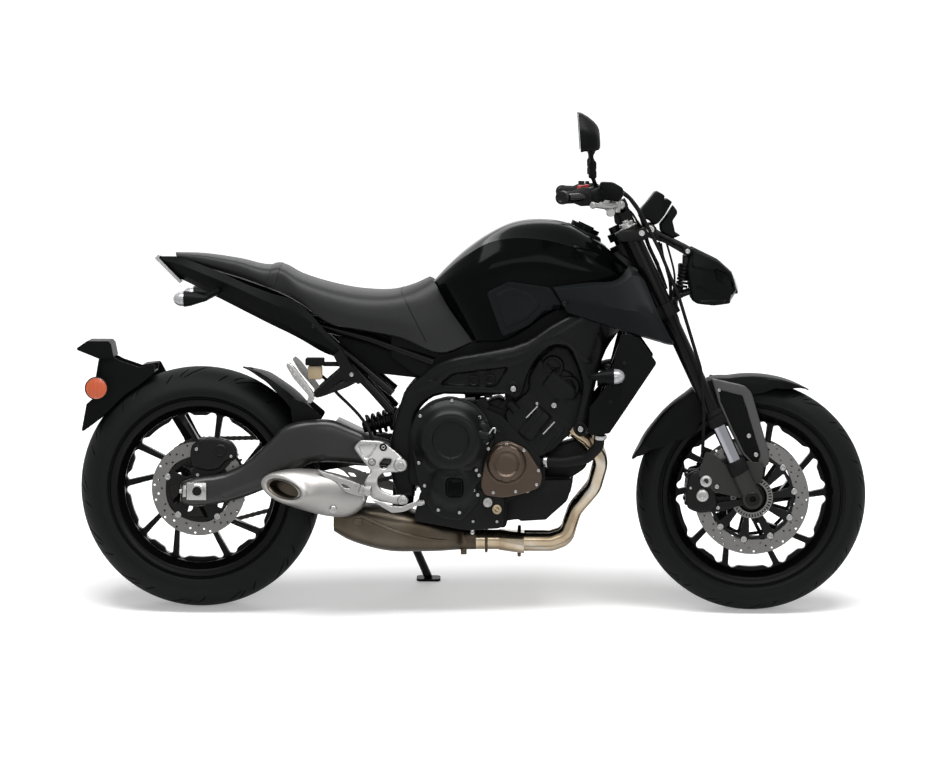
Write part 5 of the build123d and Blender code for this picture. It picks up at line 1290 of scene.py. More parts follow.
# a low ridge of thread along the skin on both flanks and over the top
(topX, topZ), (footX, footZ) = seatLook["seamTop"], seatLook["seamFoot"]
sideSeam = []
for step in range(15):
    z = footZ + (topZ - 10 - footZ) * step / 14
    x = topX + (footX - topX) * (topZ - z) / (topZ - footZ)
    hit = seatTree.ray_cast(Vector((x, -400, z)), Vector((0, 1, 0)))[0]
    if hit:
        sideSeam.append(hit + Vector((0, -0.2, 0)))
topSeam = [onSeat(topX + 4, math.radians(30 + 120 * step / 20), 0.2) for step in range(21)]
piece("seatSeams", joined(bothSides(tube(sideSeam, 0.9, 8)), tube(topSeam, 0.9, 8)), "rubberBlack",
    "chassis")
print("seat made")

# tail cowl
cowlRails = [
    [(-108, -14, 917), (-50, -40, 914), (6, -62, 897), (62, -82, 876), (122, -100, 850),
        (190, -110, 826), (254, -122, 806), (276, -124, 790), (330, -124, 732), (370, -124, 690)],
    [(-112, -17, 911), (-50, -50, 896), (6, -74, 876), (62, -92, 855), (122, -110, 830),
        (190, -120, 800), (254, -130, 776), (276, -132, 766), (330, -130, 716), (372, -127, 678)],
    [(-92, -14, 886), (-44, -44, 872), (6, -66, 850), (62, -84, 826), (122, -100, 796),
        (190, -114, 764), (254, -124, 730), (276, -126, 716), (330, -126, 690), (372, -124, 664)],
    [(-68, -8, 864), (-36, -30, 852), (10, -50, 830), (62, -68, 806), (122, -84, 777), (190, -98, 744),
        (254, -108, 714), (276, -110, 702), (330, -114, 672), (366, -116, 660)],
]
cowl = shellOf(cowlRails, 3, 3, 3.0, (1, 2))
piece("tailCowl", bothSides(cowl), "mouldingBlack", "chassis", "tail_cowl", sharp=26)
print("cowl made")


# castings: a side outline with rolled edges, windows, and fields pressed in or raised
def dense(ring, gap):
    points = [Vector(point) for point in ring]
    line = []
    for index, start in enumerate(points):
        end = points[(index + 1) % len(points)]
        count = max(1, math.ceil((end - start).length / gap))
        line += [start.lerp(end, part / count) for part in range(count)]
    return line


def reachOf(rings):
    # a function giving how far a place is from the nearest of the rings
    spots = [point for ring in rings for point in dense(ring, 1.5)]
    tree = kdtree.KDTree(len(spots))
    for index, point in enumerate(spots):
        tree.insert((point.x, point.y, 0), index)
    tree.balance()
    return lambda x, z: tree.find((x, z, 0))[2]


def eased(value):
    value = min(1.0, max(0.0, value))
    return value * value * (3 - 2 * value)


def casting(outline, top, depth, roll=8.0, holes=(), fields=(), step=9.0, back=0.0):
    # outline and holes are rings of (x, z); top gives the outer y of the right-hand side;
    # fields are (ring, rise, blend); back thins the wall towards its edge
    rings = [list(map(tuple, outline)), *[list(map(tuple, hole)) for hole in holes]]
    reach = reachOf(rings)
    raised = [([tuple(p) for p in ring], reachOf([ring]), rise, blend) for ring, rise, blend in fields]
    edges = [dense(rings[0], step * 0.7), *[dense(ring, step * 0.5) for ring in rings[1:]]]

    def within(x, z):
        return insideRing((x, z), rings[0]) and not any(insideRing((x, z), ring) for ring in rings[1:])

    rows = [(edge, roll, (0.08, 0.3, 0.62, 1.0)) for edge in edges]
    rows += [(dense(ring, step * 0.7), blend, (-0.5, 0.0, 0.5)) for ring, _, _, blend in raised]
    inner = []
    for row, width, shares in rows:
        for index, point in enumerate(row):
            run = row[(index + 1) % len(row)] - row[index - 1]
            aside = Vector((-run.y, run.x)).normalized()
            for share in shares:
                for way in ((1, -1) if width == roll else (1,)):
                    spot = point + aside * width * share * way
                    clear = abs(share if width == roll else 0.06) * width * 0.9
                    if within(*spot) and reach(*spot) > clear:
                        inner.append(tuple(spot))
    lowX, highX = min(p[0] for p in rings[0]), max(p[0] for p in rings[0])
    lowZ, highZ = min(p[1] for p in rings[0]), max(p[1] for p in rings[0])
    for row in range(int((highZ - lowZ) / step) + 1):
        for column in range(int((highX - lowX) / step) + 1):
            x, z = lowX + (column + 0.5 * (row % 2)) * step, lowZ + row * step
            if within(x, z) and reach(x, z) > roll * 1.35:
                inner.append((x, z))
    spots, faces, _ = cutSheet(edges[0], edges[1:], inner)
    front, rear = [], []
    for x, z in spots:
        far = reach(x, z)
        y = top(x, z)
        rear.append((x, y + depth - back * (1 - eased(far / 30)), z))
        if far < roll:
            y += roll * (1 - math.sqrt(max(0.0, 1 - (1 - far / roll) ** 2)))
        for ring, away, rise, blend in raised:
            part = away(x, z) * (1 if insideRing((x, z), ring) else -1)
            y -= rise * eased(part / blend + 0.5)
        front.append((x, y, z))
    count = len(spots)
    solid = [tuple(face) for face in faces]
    solid += [tuple(index + count for index in face[::-1]) for face in faces]
    solid += [(end, start, start + count, end + count) for start, end in openEdges(faces)]
    return outward(meshFrom(front + rear, solid), 0.02)


def along(points, steps=5):
    # a smooth open line of (x, z) through the points
    return [(p.x, p.y) for p in smoothLine([(x, z, 0) for x, z in points], steps)]


def between(x, table):
    # straight-line reading of a short table of (x, value)
    if x <= table[0][0]:
        return table[0][1]
    for (x0, v0), (x1, v1) in zip(table, table[1:]):
        if x <= x1:
            return v0 + (v1 - v0) * eased((x - x0) / (x1 - x0))
    return table[-1][1]


# frame: two cast spars
frameLook = {
    "wall": 40.0,
    "roll": 12.0,
    "plan": ((560, -105), (700, -138), (780, -152), (950, -157), (1040, -148), (1112, -82),
        (1165, -42)),
    "upper": ((534, 569), (552, 592), (579, 615), (606, 639), (650, 658), (741, 678), (853, 707),
        (915, 748), (1000, 796), (1062, 846)),
    "nose": ((1128, 848), (1150, 822), (1094, 737), (1058, 686), (1034, 610), (1022, 545), (1016, 490)),
    "loop": ((976, 490), (986, 525), (998, 596), (984, 648), (957, 692), (926, 698), (886, 670),
        (858, 624), (845, 582)),
    "under": ((795, 571), (702, 568), (612, 560), (578, 530), (566, 500), (574, 452), (569, 400),
        (563, 300)),
    "heel": ((519, 296), (499, 372), (499, 430), (512, 500)),
    "window": ((628, 592), (660, 620), (806, 641), (772, 588)),
    "brow": ((560, 574), (600, 612), (652, 640), (742, 662), (850, 688), (920, 730), (1000, 778),
        (1064, 826), (1104, 826), (1040, 742), (1014, 650), (940, 716), (886, 700), (836, 652),
        (660, 632), (612, 590)),
}
lowerBoss, upperBoss = (993, 482), (819, 585)
near = (0, -1, 0)  # towards the right-hand side
frameRing = (along(frameLook["upper"], 3) + along(frameLook["nose"], 3)
    + [(1012, 470), (1002, 462), (990, 461), (980, 468), (974, 480)] + along(frameLook["loop"], 3)
    + [(838, 568), (826, 561), (812, 562)] + along(frameLook["under"], 3)
    + along(frameLook["heel"], 3))


def sparTop(x, z):
    return between(x, frameLook["plan"])


def leftSparTop(x, z):
    # kept inside the chain beside the swingarm pivot
    return max(sparTop(x, z), -93.0) if x < 668 and z < 474 else sparTop(x, z)


def makeSpar(top):
    parts = [casting(frameRing, top, frameLook["wall"], frameLook["roll"],
            fields=[(rounded(frameLook["window"], 12), -10.0, 6.0),
                (rounded(frameLook["brow"], 20), 5.0, 16.0)], back=6)]
    bossProfile = [(0, 0.001), (0, 18), (15, 18), (18, 16.5), (18, 11.5), (12, 10.5), (12, 0.001)]
    eyeProfile = [(2, 0.001), (2, 8.5), (9.5, 9.5), (11.5, 12), (11.5, 13), (9.5, 14), (2, 14.5),
        (1, 14), (1, 0.001)]
    for x, z in (upperBoss, lowerBoss):
        parts.append(spun(bossProfile, (x, sparTop(x, z) + 11, z), near, 32))
    for x, z in ((716, 604), (758, 608)):
        parts.append(spun(eyeProfile, (x, sparTop(x, z) + 14, z), near, 28))
    return joined(*parts)


crossParts = [
    drum(onStem(815), steerUp, 33, 157),
    slab(rounded([(1052, 802), (1062, 900), (1084, 940), (1140, 905), (1150, 822), (1100, 750)], 10),
        -38, 38, 4),
    slab(rounded([(500, 476), (512, 520), (548, 545), (566, 520), (552, 474)], 8), -78, 78, 3),
    drum((530, -104, 400), (0, 1, 0), 24, 36),
    drum((530, 56, 400), (0, 1, 0), 24, 36),
]
standAxis = Vector((0, math.cos(math.radians(29)), math.sin(math.radians(29))))
standPivot = Vector((520, 112, 232))
standLug = [
    slab(rounded([(500, 336), (562, 336), (548, 212), (536, 204), (506, 204), (498, 214)], 8), 84, 97,
        3),
    spun([(0, 0.001), (0, 19), (2, 21), (15, 21), (16.7, 19.5), (16.7, 8), (33, 8), (33, 0.001)],
        standPivot - standAxis * 24, standAxis, 36),
]
piece("castSpars", joined(makeSpar(sparTop), mirrored(makeSpar(leftSparTop)), *crossParts, *standLug),
    "frameBlack", "chassis", "main_frame", sharp=42)
print("frame made")

# engine
engineLook = {"clutch": (658, 452), "timing": (802, 390), "pod": (664, 334), "generator": (803, 400)}


def swell(x, z, centre, reach, shoulder, rise):
    # a round dome with a flat top and a soft shoulder
    return rise * eased((reach - math.hypot(x - centre[0], z - centre[1])) / shoulder)


def clutchTop(x, z):
    dome = swell(x, z, engineLook["clutch"], 102, 40, 34)
    pod = swell(x, z, engineLook["pod"], 70, 30, 17)
    neck = swell(x, z, (742, 470), 34, 14, 13)
    return -135 - max(dome, pod, neck)


clutchRing = rounded([(552, 470), (556, 420), (562, 384), (574, 330), (600, 272), (632, 246),
        (684, 240), (706, 262), (738, 300), (722, 330), (742, 352), (736, 384), (756, 412), (774, 450),
        (752, 512), (716, 548), (656, 565), (606, 552), (568, 520)], 16)
clutchCover = casting(clutchRing, clutchTop, 13, 4.0, fields=[
        (circle(100, engineLook["clutch"], 48), 2.0, 3.0),
        (circle(47, engineLook["clutch"], 40), -5.0, 3.0),
        (rounded([(646, 302), (646, 352), (690, 352), (690, 302)], 16), -9.0, 4.0),
    ], step=6.5)
oilWindow = slab(rounded([(650, 306), (650, 348), (686, 348), (686, 306)], 14), -148, -140, 2)


def timingTop(x, z):
    dome = swell(x, z, engineLook["timing"], 54, 12, 12)
    return -134 - dome - swell(x, z, engineLook["timing"], 40, 20, 5)


timingRing = rounded([(804, 450), (772, 440), (750, 410), (734, 332), (746, 305), (795, 300),
        (850, 312), (889, 328), (896, 362), (853, 428)], 14)
timingCover = casting(timingRing, timingTop, 12, 3.0, fields=[
        (circle(50, engineLook["timing"], 40), 1.6, 2.0),
        (circle(31, engineLook["timing"], 32), -7.0, 6.0)], step=6.0)
piece("timingCover", timingCover, "bronzeCover", "chassis", "timing_cover", sharp=34)


def generatorTop(x, z):
    return -137 - swell(x, z, engineLook["generator"], 84, 24, 24)


generatorRing = circle(92, engineLook["generator"], 56)
generatorCover = casting(generatorRing, generatorTop, 15, 4.0,
    fields=[(circle(52, engineLook["generator"], 40), -3.0, 3.0)], step=8.0)
sprocketRing = rounded(
    [(556, 452), (640, 470), (684, 440), (690, 380), (668, 322), (596, 318), (556, 352)], 18)
sprocketCover = casting(sprocketRing, lambda x, z: -130 - swell(x, z, (610, 404), 66, 26, 12), 8, 4.0,
    fields=[(circle(24, (610, 404), 24), -3.0, 3.0)], step=9.0)
piece("engineCovers", joined(clutchCover, mirrored(joined(generatorCover, sprocketCover))),
    "coverBlack", "chassis", "engine_covers", sharp=34)
piece("oilWindow", oilWindow, "tankGloss", "chassis")

# the head's near side: two stepped faces with studs and bosses
headRing = rounded([(796, 520), (826, 552), (858, 580), (856, 612), (884, 662), (930, 696), (962, 690),
        (986, 648), (1002, 598), (1004, 545), (996, 500), (974, 470), (950, 452), (926, 424),
        (870, 398), (846, 430), (806, 470)], 10)


def headTop(x, z):
    # steps down towards the cam cover
    over = (x - 800) * 0.62 + (z - 470) * 0.78
    return -118 + 10 * eased((over - 96) / 12) + 8 * eased((over - 196) / 12)


headSide = casting(headRing, headTop, 44, 6.0, fields=[
        (rounded([(832, 470), (884, 540), (916, 512), (864, 446)], 8), 4.0, 5.0),
        (rounded([(892, 592), (930, 640), (972, 622), (984, 560), (940, 548)], 12), 4.0, 6.0),
    ])
headRibs = [slab([(x, z), (x + 44, z + 56), (x + 49, z + 52), (x + 5, z - 4)], -124, -112, 1.2)
    for x, z in ((846, 470), (874, 446), (902, 424))]
camArches = [lathe([(-110, 26), (-97, 30), (-96, 20), (-110, 20)], centre, 40)
    for centre in ((921, 640), (962, 588))]
piece("headSides",
    joined(bothSides(joined(headSide, *headRibs)), *camArches, *[mirrored(arch) for arch in camArches]),
    "engineBlack", "chassis", sharp=36)
studs = [tube([(x0, -126, z0), ((x0 + x1) / 2, -126, (z0 + z1) / 2), (x1, -126, z1)], 2.3, 8)
    for x0, z0, x1, z1 in ((882, 539, 852, 508), (926, 498, 896, 466))]
piece("headStuds", bothSides(joined(*studs)), "boltSteel", "chassis")

# housings in front of and behind the cylinders, seen past the frame
filterBody = spun([(0, 0.001), (0, 30), (6, 36), (66, 37), (74, 31), (78, 20), (78, 0.001)],
    (896, 26, 338), (1, 0, -0.18), 40)
housings = [
    slab(rounded(
            [(884, 338), (884, 402), (934, 432), (1002, 452), (1030, 430), (1006, 372), (974, 350)],
            10), -60, 60, 5),
    slab(rounded([(800, 236), (800, 300), (838, 316), (892, 344), (976, 346), (960, 290), (906, 242),
                (822, 240)], 8), -96, -88, 3),
    slab(rounded([(786, 556), (752, 548), (742, 512), (802, 480), (812, 520)], 10), -84, 84, 4),
    slab(rounded([(548, 330), (548, 470), (600, 540), (640, 540), (640, 330)], 18), -118, -100, 4),
    slab(rounded([(560, 238), (700, 214), (792, 220), (800, 300), (700, 330), (580, 320)], 14), -128,
        -116, 4),
    slab(rounded([(866, 640), (900, 700), (960, 712), (1000, 660), (1010, 590), (960, 600), (900, 600)],
            10), -88, 88, 4),
    slab(rounded([(606, 676), (640, 716), (748, 730), (800, 720), (840, 694), (700, 650)], 8), -96, -84,
        3),
    drum((738, -118, 540), (0, 1, 0), 17, 60),
    drum((808, -112, 548), (0.5, 0, -0.6), 14, 30),
    drum((812, -96, 566), (0, 1, 0), 16, 30),
]
piece("engineHousings", joined(*housings, filterBody), "engineBlack", "chassis")

frontSensor = joined(drum((714, -150, 470), (1, 0, -0.2), 13, 42),
    drum((746, -146, 476), (0, -1, 0), 8, 14),
    tube([(757, -150, 476), (772, -152, 480), (786, -148, 474), (800, -138, 462)], 3, 8))
piece("coverSensor", frontSensor, "coverBlack", "chassis")
piece("sensorClip",
    tube([(757, -158, 468), (765, -160, 484), (776, -158, 482), (771, -158, 470)], 2.2, 8), "boltSteel",
    "chassis")

coverBolts = [(732, 509), (751, 444), (755, 428), (724, 372), (731, 359), (717, 320), (728, 308),
    (681, 262), (626, 268), (590, 331), (575, 390), (660, 552), (578, 512)]
timingBolts = [(802, 440), (847, 424), (885, 372), (880, 336), (826, 317), (768, 314)]
lowerBolts = [(677, 247), (632, 254), (716, 238), (778, 238)]
silver = [(x, -137, z, near, 0.9) for x, z in coverBolts]
silver += [(x, -136, z, near, 0.9) for x, z in timingBolts]
silver += [(x, -129, z, near, 0.75) for x, z in lowerBolts]
silver += [(880, -120, 545, near, 0.8), (924, -112, 540, near, 1.5), (856, -120, 318, near, 1.1)]
silver += [(x, sparTop(x, z) - 7, z, near, 1.5) for x, z in (upperBoss, lowerBoss)]
silver += [(x, 138, z, (0, 1, 0), 0.9) for x, z in circle(86, engineLook["generator"], 10, 0.2)]
silver += [(x, 132, z, (0, 1, 0), 0.9) for x, z in ((572, 446), (652, 452), (676, 356), (600, 330))]
silver += [(x, 7 - sparTop(x, z), z, (0, 1, 0), 1.5) for x, z in (upperBoss, lowerBoss)]
bolts("engineBolts", socketHead, silver, "boltSteel")
drainPlug = spun(
    [(0, 0.001), (0, 13), (3, 13), (5, 11.5), (5, 8), (3.4, 7.4), (3.4, 4), (5, 3.4), (5, 0.001)],
    (754, -136, 288), near, 28)
piece("roundPlug", drainPlug, "boltSteel", "chassis")
fillerPlug = joined(spun([(0, 0.001), (0, 12), (6, 12), (8, 10), (8, 6), (5, 5.4), (5, 0.001)],
        (778, -132, 270), near, 28), blockAt((18, 5, 5), (778, -140, 270), 1.2, (35, "Y")))
piece("fillerPlug", fillerPlug, "fluidAmber", "chassis")

clampRing = [(14.4, -5), (15.8, -5), (16.2, -3), (16.2, 3), (15.8, 5), (14.4, 5)]
clamps = [spun([(h, r) for r, h in clampRing], place, way, 32)
    for place, way in (((1043, -160, 462), (0.04, -0.2, 1)), ((1042, 160, 462), (0.04, 0.2, 1)),
        ((906, -106, 392), (1, -0.34, 0)), ((906, 106, 392), (1, 0.34, 0)))]
clampEars = [blockAt((8, 14, 9), (1057, -163, 462), 1.5), blockAt((8, 14, 9), (1057, 163, 462), 1.5)]
piece("hoseClamps", joined(*clamps, *clampEars), "boltSteel", "chassis")
print("engine made")

# swingarm: two cast arms, cross member, axle and its blocks
armLook = {
    "plan": ((-50, -128), (160, -129), (330, -141), (420, -131), (478, -104), (560, -84)),
    "top": ((-44, 334), (-11, 345), (68, 358), (112, 378), (187, 444), (227, 482), (264, 494),
        (310, 500), (350, 498), (392, 482), (440, 462), (500, 442), (548, 420)),
    "low": ((556, 400), (540, 374), (480, 378), (404, 386), (341, 390), (296, 386), (257, 366),
        (172, 316), (68, 281), (19, 273), (-30, 274), (-46, 284)),
    "leftTop": ((-44, 340), (-10, 348), (80, 354), (200, 394), (330, 420), (440, 430), (540, 424)),
    "leftLow": ((556, 400), (540, 374), (400, 366), (200, 318), (60, 280), (-44, 284)),
}


def armTop(x, z):
    return between(x, armLook["plan"])


def leftArmTop(x, z):
    return -between(x, ((-50, 153), (180, 153), (400, 97), (478, 85), (560, 80)))


rightRing = along(armLook["top"], 3) + along(armLook["low"], 3)
rightArm = casting(rightRing, armTop, 34, 22.0, fields=[
        (circle(24, (462, 414), 24), -7.0, 6.0),
        (circle(11, (462, 414), 16), 7.0, 3.0),
        (rounded([(60, 300), (180, 346), (260, 394), (330, 410), (330, 396), (262, 380), (180, 330),
                    (70, 292)], 8), -3.0, 8.0),
    ], step=8.0)
leftRing = along(armLook["leftTop"], 3) + along(armLook["leftLow"], 3)
leftArm = mirrored(casting(leftRing, leftArmTop, 30, 12.0, step=10.0))
crossMember = slab(
    rounded([(352, 496), (420, 464), (470, 430), (470, 374), (400, 392), (366, 422)], 12), -86, 86, 4)
piece("castSwingarm", joined(rightArm, leftArm, crossMember, drum((530, -82, 400), (0, 1, 0), 26, 164),
        drum((0, -100, 315), (0, 1, 0), 19, 16), drum((0, 84, 315), (0, 1, 0), 19, 38),
        drum((0, -128, 315), (0, 1, 0), 12.4, 280)), "armSatin", "chassis", "swingarm",
    sharp=40)
axleBlocks = []
for y, way in ((-130, -1), (154, 1)):
    axleBlocks += [
        blockAt((52, 10, 46), (-2, y + way * 3, 312), 2.5),
        blockAt((9, 10, 30), (-33, y + way * 3, 312), 1.5),
        spun([(0, 14.5), (0, 19), (5, 19), (7, 16.5), (7, 12.2), (1, 12.2), (1, 14.5)],
            (0, y + way * 8, 313), (0, way, 0), 32),
    ]
piece("axleBlocks", joined(*axleBlocks), "boltSteel", "chassis")
piece("axleEnds", joined(*[spun([(0, 0.001), (0, 12), (-3 * way, 12), (-3 * way, 0.001)], (0, y, 313),
                (0, 1, 0), 28) for y, way in ((-141, 1), (165, -1))]), "boltBlack", "chassis")
bolts("adjusterBolts", hexHead,
    [(-40, -133, 312, (-1, 0, 0), 0.8), (-40, 157, 312, (-1, 0, 0), 0.8), (462, -128, 414, near, 0.9)],
    "boltSteel")


# calipers
def caliper(outline, low, high, caps, size, roll=7.0):
    # a cast body with sunk rims round its piston caps
    body = casting(outline, lambda x, z: low, high - low, roll, step=8.0)
    rims = [spun([(0, size + 4), (3, size + 4), (4.5, size + 2), (4.5, size), (0, size)],
            (x, low + 1, z), near, 28) for x, z in caps]
    return joined(body, *rims)


def capsOn(caps, y, size):
    return [spun([(0, 0.001), (0, size), (2.5, size), (3.5, size - 1.5), (3.5, size * 0.45),
                (2, size * 0.4), (2, 0.001)], (x, y, z), near, 28) for x, z in caps]


rearRing = rounded([(-18, 428), (2, 447), (48, 450), (88, 438), (102, 414), (98, 390), (76, 392),
        (52, 366), (22, 362), (-12, 372), (-22, 400)], 10)
piece("rearCaliper", joined(caliper(rearRing, -106, -68, [(58, 416)], 12),
        caliper(rounded([(-16, 330), (24, 332), (74, 372), (96, 400), (80, 410), (20, 384), (-20, 366)],
                10), -95.6, -87.6, [], 0, 2.0), drum((-4, -108, 420), (0, 1, 0), 9, 20)), "boltBlack",
    "chassis", "rear_caliper", sharp=34)
bolts("rearCaliperBolts", socketHead,
    [(-4, -109, 420, near, 0.9), (-2, -95, 352, near, 0.9), (86, -108, 402, near, 0.8)], "boltSteel")

# drive chain: plates and rollers along two runs and two sprockets
chainLook = {"pitch": 15.875, "rear": (0.0, 315.0, 116.0), "front": (602.0, 404.0, 41.0), "y": 107.0}


def chainRoute(look):
    # evenly spaced points round both sprockets
    (x0, z0, r0), (x1, z1, r1) = look["rear"], look["front"]
    far = math.hypot(x1 - x0, z1 - z0)
    tilt = math.atan2(z1 - z0, x1 - x0)
    spread = math.acos((r0 - r1) / far)
    line = []
    for step in range(41):
        turn = tilt + spread + (2 * math.pi - 2 * spread) * step / 40
        line.append(Vector((x0 + r0 * math.cos(turn), look["y"], z0 + r0 * math.sin(turn))))
    for step in range(21):
        turn = tilt - spread + 2 * spread * step / 20
        line.append(Vector((x1 + r1 * math.cos(turn), look["y"], z1 + r1 * math.sin(turn))))
    line.append(line[0])
    lengths = [0.0]
    for a, b in zip(line, line[1:]):
        lengths.append(lengths[-1] + (b - a).length)
    count = round(lengths[-1] / look["pitch"] / 2) * 2
    spots = []
    index = 0
    for link in range(count + 1):
        goal = lengths[-1] * link / count
        while index < len(lengths) - 2 and lengths[index + 1] < goal:
            index += 1
        part = (goal - lengths[index]) / (lengths[index + 1] - lengths[index])
        spots.append(line[index].lerp(line[index + 1], part))
    return spots


def linkUnit(spread):
    # two waisted plates, spread apart, and a roller, lying along +X
    outline = []
    for step in range(24):
        turn = 2 * math.pi * step / 24
        x = math.cos(turn) * 15.2
        waist = 6.6 - 1.9 * math.cos(min(1.0, abs(x) / 8) * math.pi / 2)
        high = waist / max(0.4, abs(math.sin(turn)) ** 0.45) if abs(x) < 14 else 12
        outline.append((x, math.sin(turn) * high))
    plates = [slab(outline, y - 0.9, y + 0.9, 0) for y in (-spread, spread)]
    rollers = [spun([(0, 0.001), (0, r), (w * 2, r), (w * 2, 0.001)], (x, -w, 0), (0, 1, 0), 10)
        for x in (-7.9, 7.9) for w, r in ((spread + 2.2, 2.6), (spread - 1, 4.6))]
    return joined(*plates, *rollers)


route = chainRoute(chainLook)
linkSpots = []
for start, end in zip(route, route[1:]):
    ahead = (end - start).normalized()
    linkSpots.append(((start + end) / 2, Matrix.Rotation(-math.atan2(ahead.z, ahead.x), 4, "Y"), 1.0))
chainMesh = joined(setOut(linkUnit(6.4), linkSpots[::2], "chainSteel"),
    setOut(linkUnit(4.3), linkSpots[1::2], "chainSteel"))
frontTeeth = [polar(38 if index % 2 else 34, index * 11.25, (602, 404)) for index in range(32)]
frontSprocket = slab(frontTeeth, 103, 111, 1)
piece("driveChain", joined(chainMesh, frontSprocket), "chainSteel", "chassis", "drive_chain",
    sharp=40)

# hugger: a blade over the tyre
huggerLook = {"start": 24, "sweep": 46, "steps": 24, "wall": 3.0,
    "low": ((24, 326), (36, 318), (50, 324), (60, 332), (70, 340)),
    "top": ((24, 350), (40, 352), (56, 346), (70, 341)), "profile": ((-98, 0.0), (-97, 0.35),
        (-90, 0.8), (-62, 1.0), (0, 1.06), (62, 1.0), (86, 0.8), (92, 0.35), (92, 0.0))}


def huggerPoint(angle, y, rise):
    # the skirt starts at a point and grows deeper towards the swingarm
    low = between(angle, huggerLook["low"])
    radius = low + (between(angle, huggerLook["top"]) - low) * rise
    turn = math.radians(angle)
    return (radius * math.cos(turn), y, 315 + radius * math.sin(turn))


huggerGrid = []
for step in range(huggerLook["steps"] + 1):
    angle = huggerLook["start"] + huggerLook["sweep"] * step / huggerLook["steps"]
    narrow = 1 - 0.75 * eased((angle - 58) / 13)
    side = [(y if y < -80 else -98 + (y + 98) * narrow, rise) for y, rise in huggerLook["profile"]]
    last = 4 if step == huggerLook["steps"] else 0
    huggerGrid.append([huggerPoint(angle - (last if y > -80 else 0), y, rise) for y, rise in side])
hugger = worked(outward(gridMesh(huggerGrid)),
    ("SOLIDIFY", {"thickness": huggerLook["wall"], "offset": -1}))
brackets = [
    slab(rounded([(246, 476), (300, 470), (322, 505), (280, 540), (236, 556)], 8), -99, -94, 1.5),
    slab(rounded([(246, 476), (300, 470), (322, 505), (280, 540)], 8), 88, 93, 1.5),
]
piece("hugger", joined(hugger, *brackets), "mouldingBlack", "chassis", "rear_hugger",
    sharp=30)

# shock with its spring
shockStart, shockEnd = Vector((424, 0, 471)), Vector((556, 0, 511))
shockWay = (shockEnd - shockStart).normalized()
shockCoil = []
for step in range(73):
    turn = 2 * math.pi * step / 12
    out = Vector((-shockWay.z, 0, shockWay.x)) * math.cos(turn) + Vector((0, 1, 0)) * math.sin(turn)
    shockCoil.append(shockStart + shockWay * (18 + 92 * step / 72) + out * 26)
piece("shockSpring", tube(shockCoil, 4.5, 8), "boltBlack", "chassis")
piece("shockBody", spun([(0, 0.001), (0, 14), (14, 16), (14, 30), (19, 30), (19, 17), (108, 17),
            (108, 30), (114, 30), (114, 15), (138, 14), (138, 0.001)], shockStart, shockWay, 32),
    "boltBlack", "chassis", "rear_shock")
print("rear made")

# silencer: rings (centre, long way, high way), from the outlet towards the chamber
silencerRings = [
    ((226, -205, 325), (54, -24, -13), (2, 2, 29)),
    ((227, -203, 325.5), (58, -25, -14), (2, 2, 33)),
    ((231, -198, 326), (61, -26, -14), (3, 2, 38)),
    ((244, -189, 326), (60, -31, -13), (4, 0, 44)),
    ((290, -163, 320), (46, -42, -8), (8, 0, 54)),
    ((345, -149, 308), (26, -41, -4), (10, 0, 56)),
    ((405, -134, 296), (10, -32, 0), (14, 0, 46)),
    ((432, -127, 297), (4, -25, 0), (12, 0, 34)),
    ((440, -124, 297), (2, -17, 0), (7, 0, 22)),
]
outletRings = [
    ((226, -205, 325), (54, -24, -13), (2, 2, 29)),
    ((227, -204, 325), (48, -21, -11.5), (2, 2, 25)),
    ((229, -201, 325), (45, -20, -11), (2, 2, 23)),
    ((227, -206, 325), (41, -18, -10), (2, 2, 21)),
    ((229, -204, 325), (38, -17, -9.5), (2, 2, 19)),
    ((246, -178, 325), (36, -16, -9), (2, 2, 17.5)),
]


def ringLoft(rings, around=48, steps=4, cap=False, power=1.0):
    lines = []
    for index in range(around):
        turn = 2 * math.pi * index / around
        cosine, sine = math.cos(turn), math.sin(turn)
        wide = math.copysign(abs(cosine) ** power, cosine)
        high = math.copysign(abs(sine) ** power, sine)
        spots = [Vector(c) + Vector(u) * wide + Vector(v) * high for c, u, v in rings]
        lines.append(smoothLine(spots, steps) if steps > 1 else spots)
    grid = [[line[row] for line in lines] for row in range(len(lines[0]))]
    mesh = gridMesh(grid, closed=True)
    if cap:
        faces = [tuple(range(around)), tuple(range((len(grid) - 1) * around, len(grid) * around))[::-1]]
        mesh = meshFrom([p for row in grid for p in row],
            [tuple(face.vertices) for face in mesh.polygons] + faces)
    return mesh


def ringCap(ring):
    # the flat end of a loft
    centre, wide, high = [Vector(part) for part in ring]
    turns = [2 * math.pi * index / 64 for index in range(64)]
    return meshFrom([centre + wide * math.cos(turn) + high * math.sin(turn) for turn in turns],
        [tuple(range(64))])


silencer = outward(joined(ringLoft(silencerRings, 64, 5), ringLoft(outletRings[:4], 64, 1),
        ringCap(silencerRings[-1])), 0.05)
outletLining = outward(joined(ringLoft(outletRings[3:], 64, 1), ringCap(outletRings[-1])), 0.05)
silencerBolt = spun([(0, 0.001), (0, 10), (4, 10), (6, 8), (6, 4.5), (3.5, 4), (3.5, 0.001)],
    (356, -186, 272), (0.1, -1, -0.1), 28)
silencerLink = ringLoft([((384, -62, 246), (0, 18, 0), (0, 0, 18)),
        ((396, -92, 262), (-4, 18, 0), (0, 0, 20)), ((414, -120, 290), (-8, 16, 0), (0, 0, 22))], 28,
    3)
piece("silencerBody", joined(silencer, outward(silencerLink)), "silencerSatin", "chassis", "silencer",
    sharp=50)
piece("outletLining", outletLining, "chamberSteel", "chassis")
piece("silencerBolt", silencerBolt, "boltSteel", "chassis")

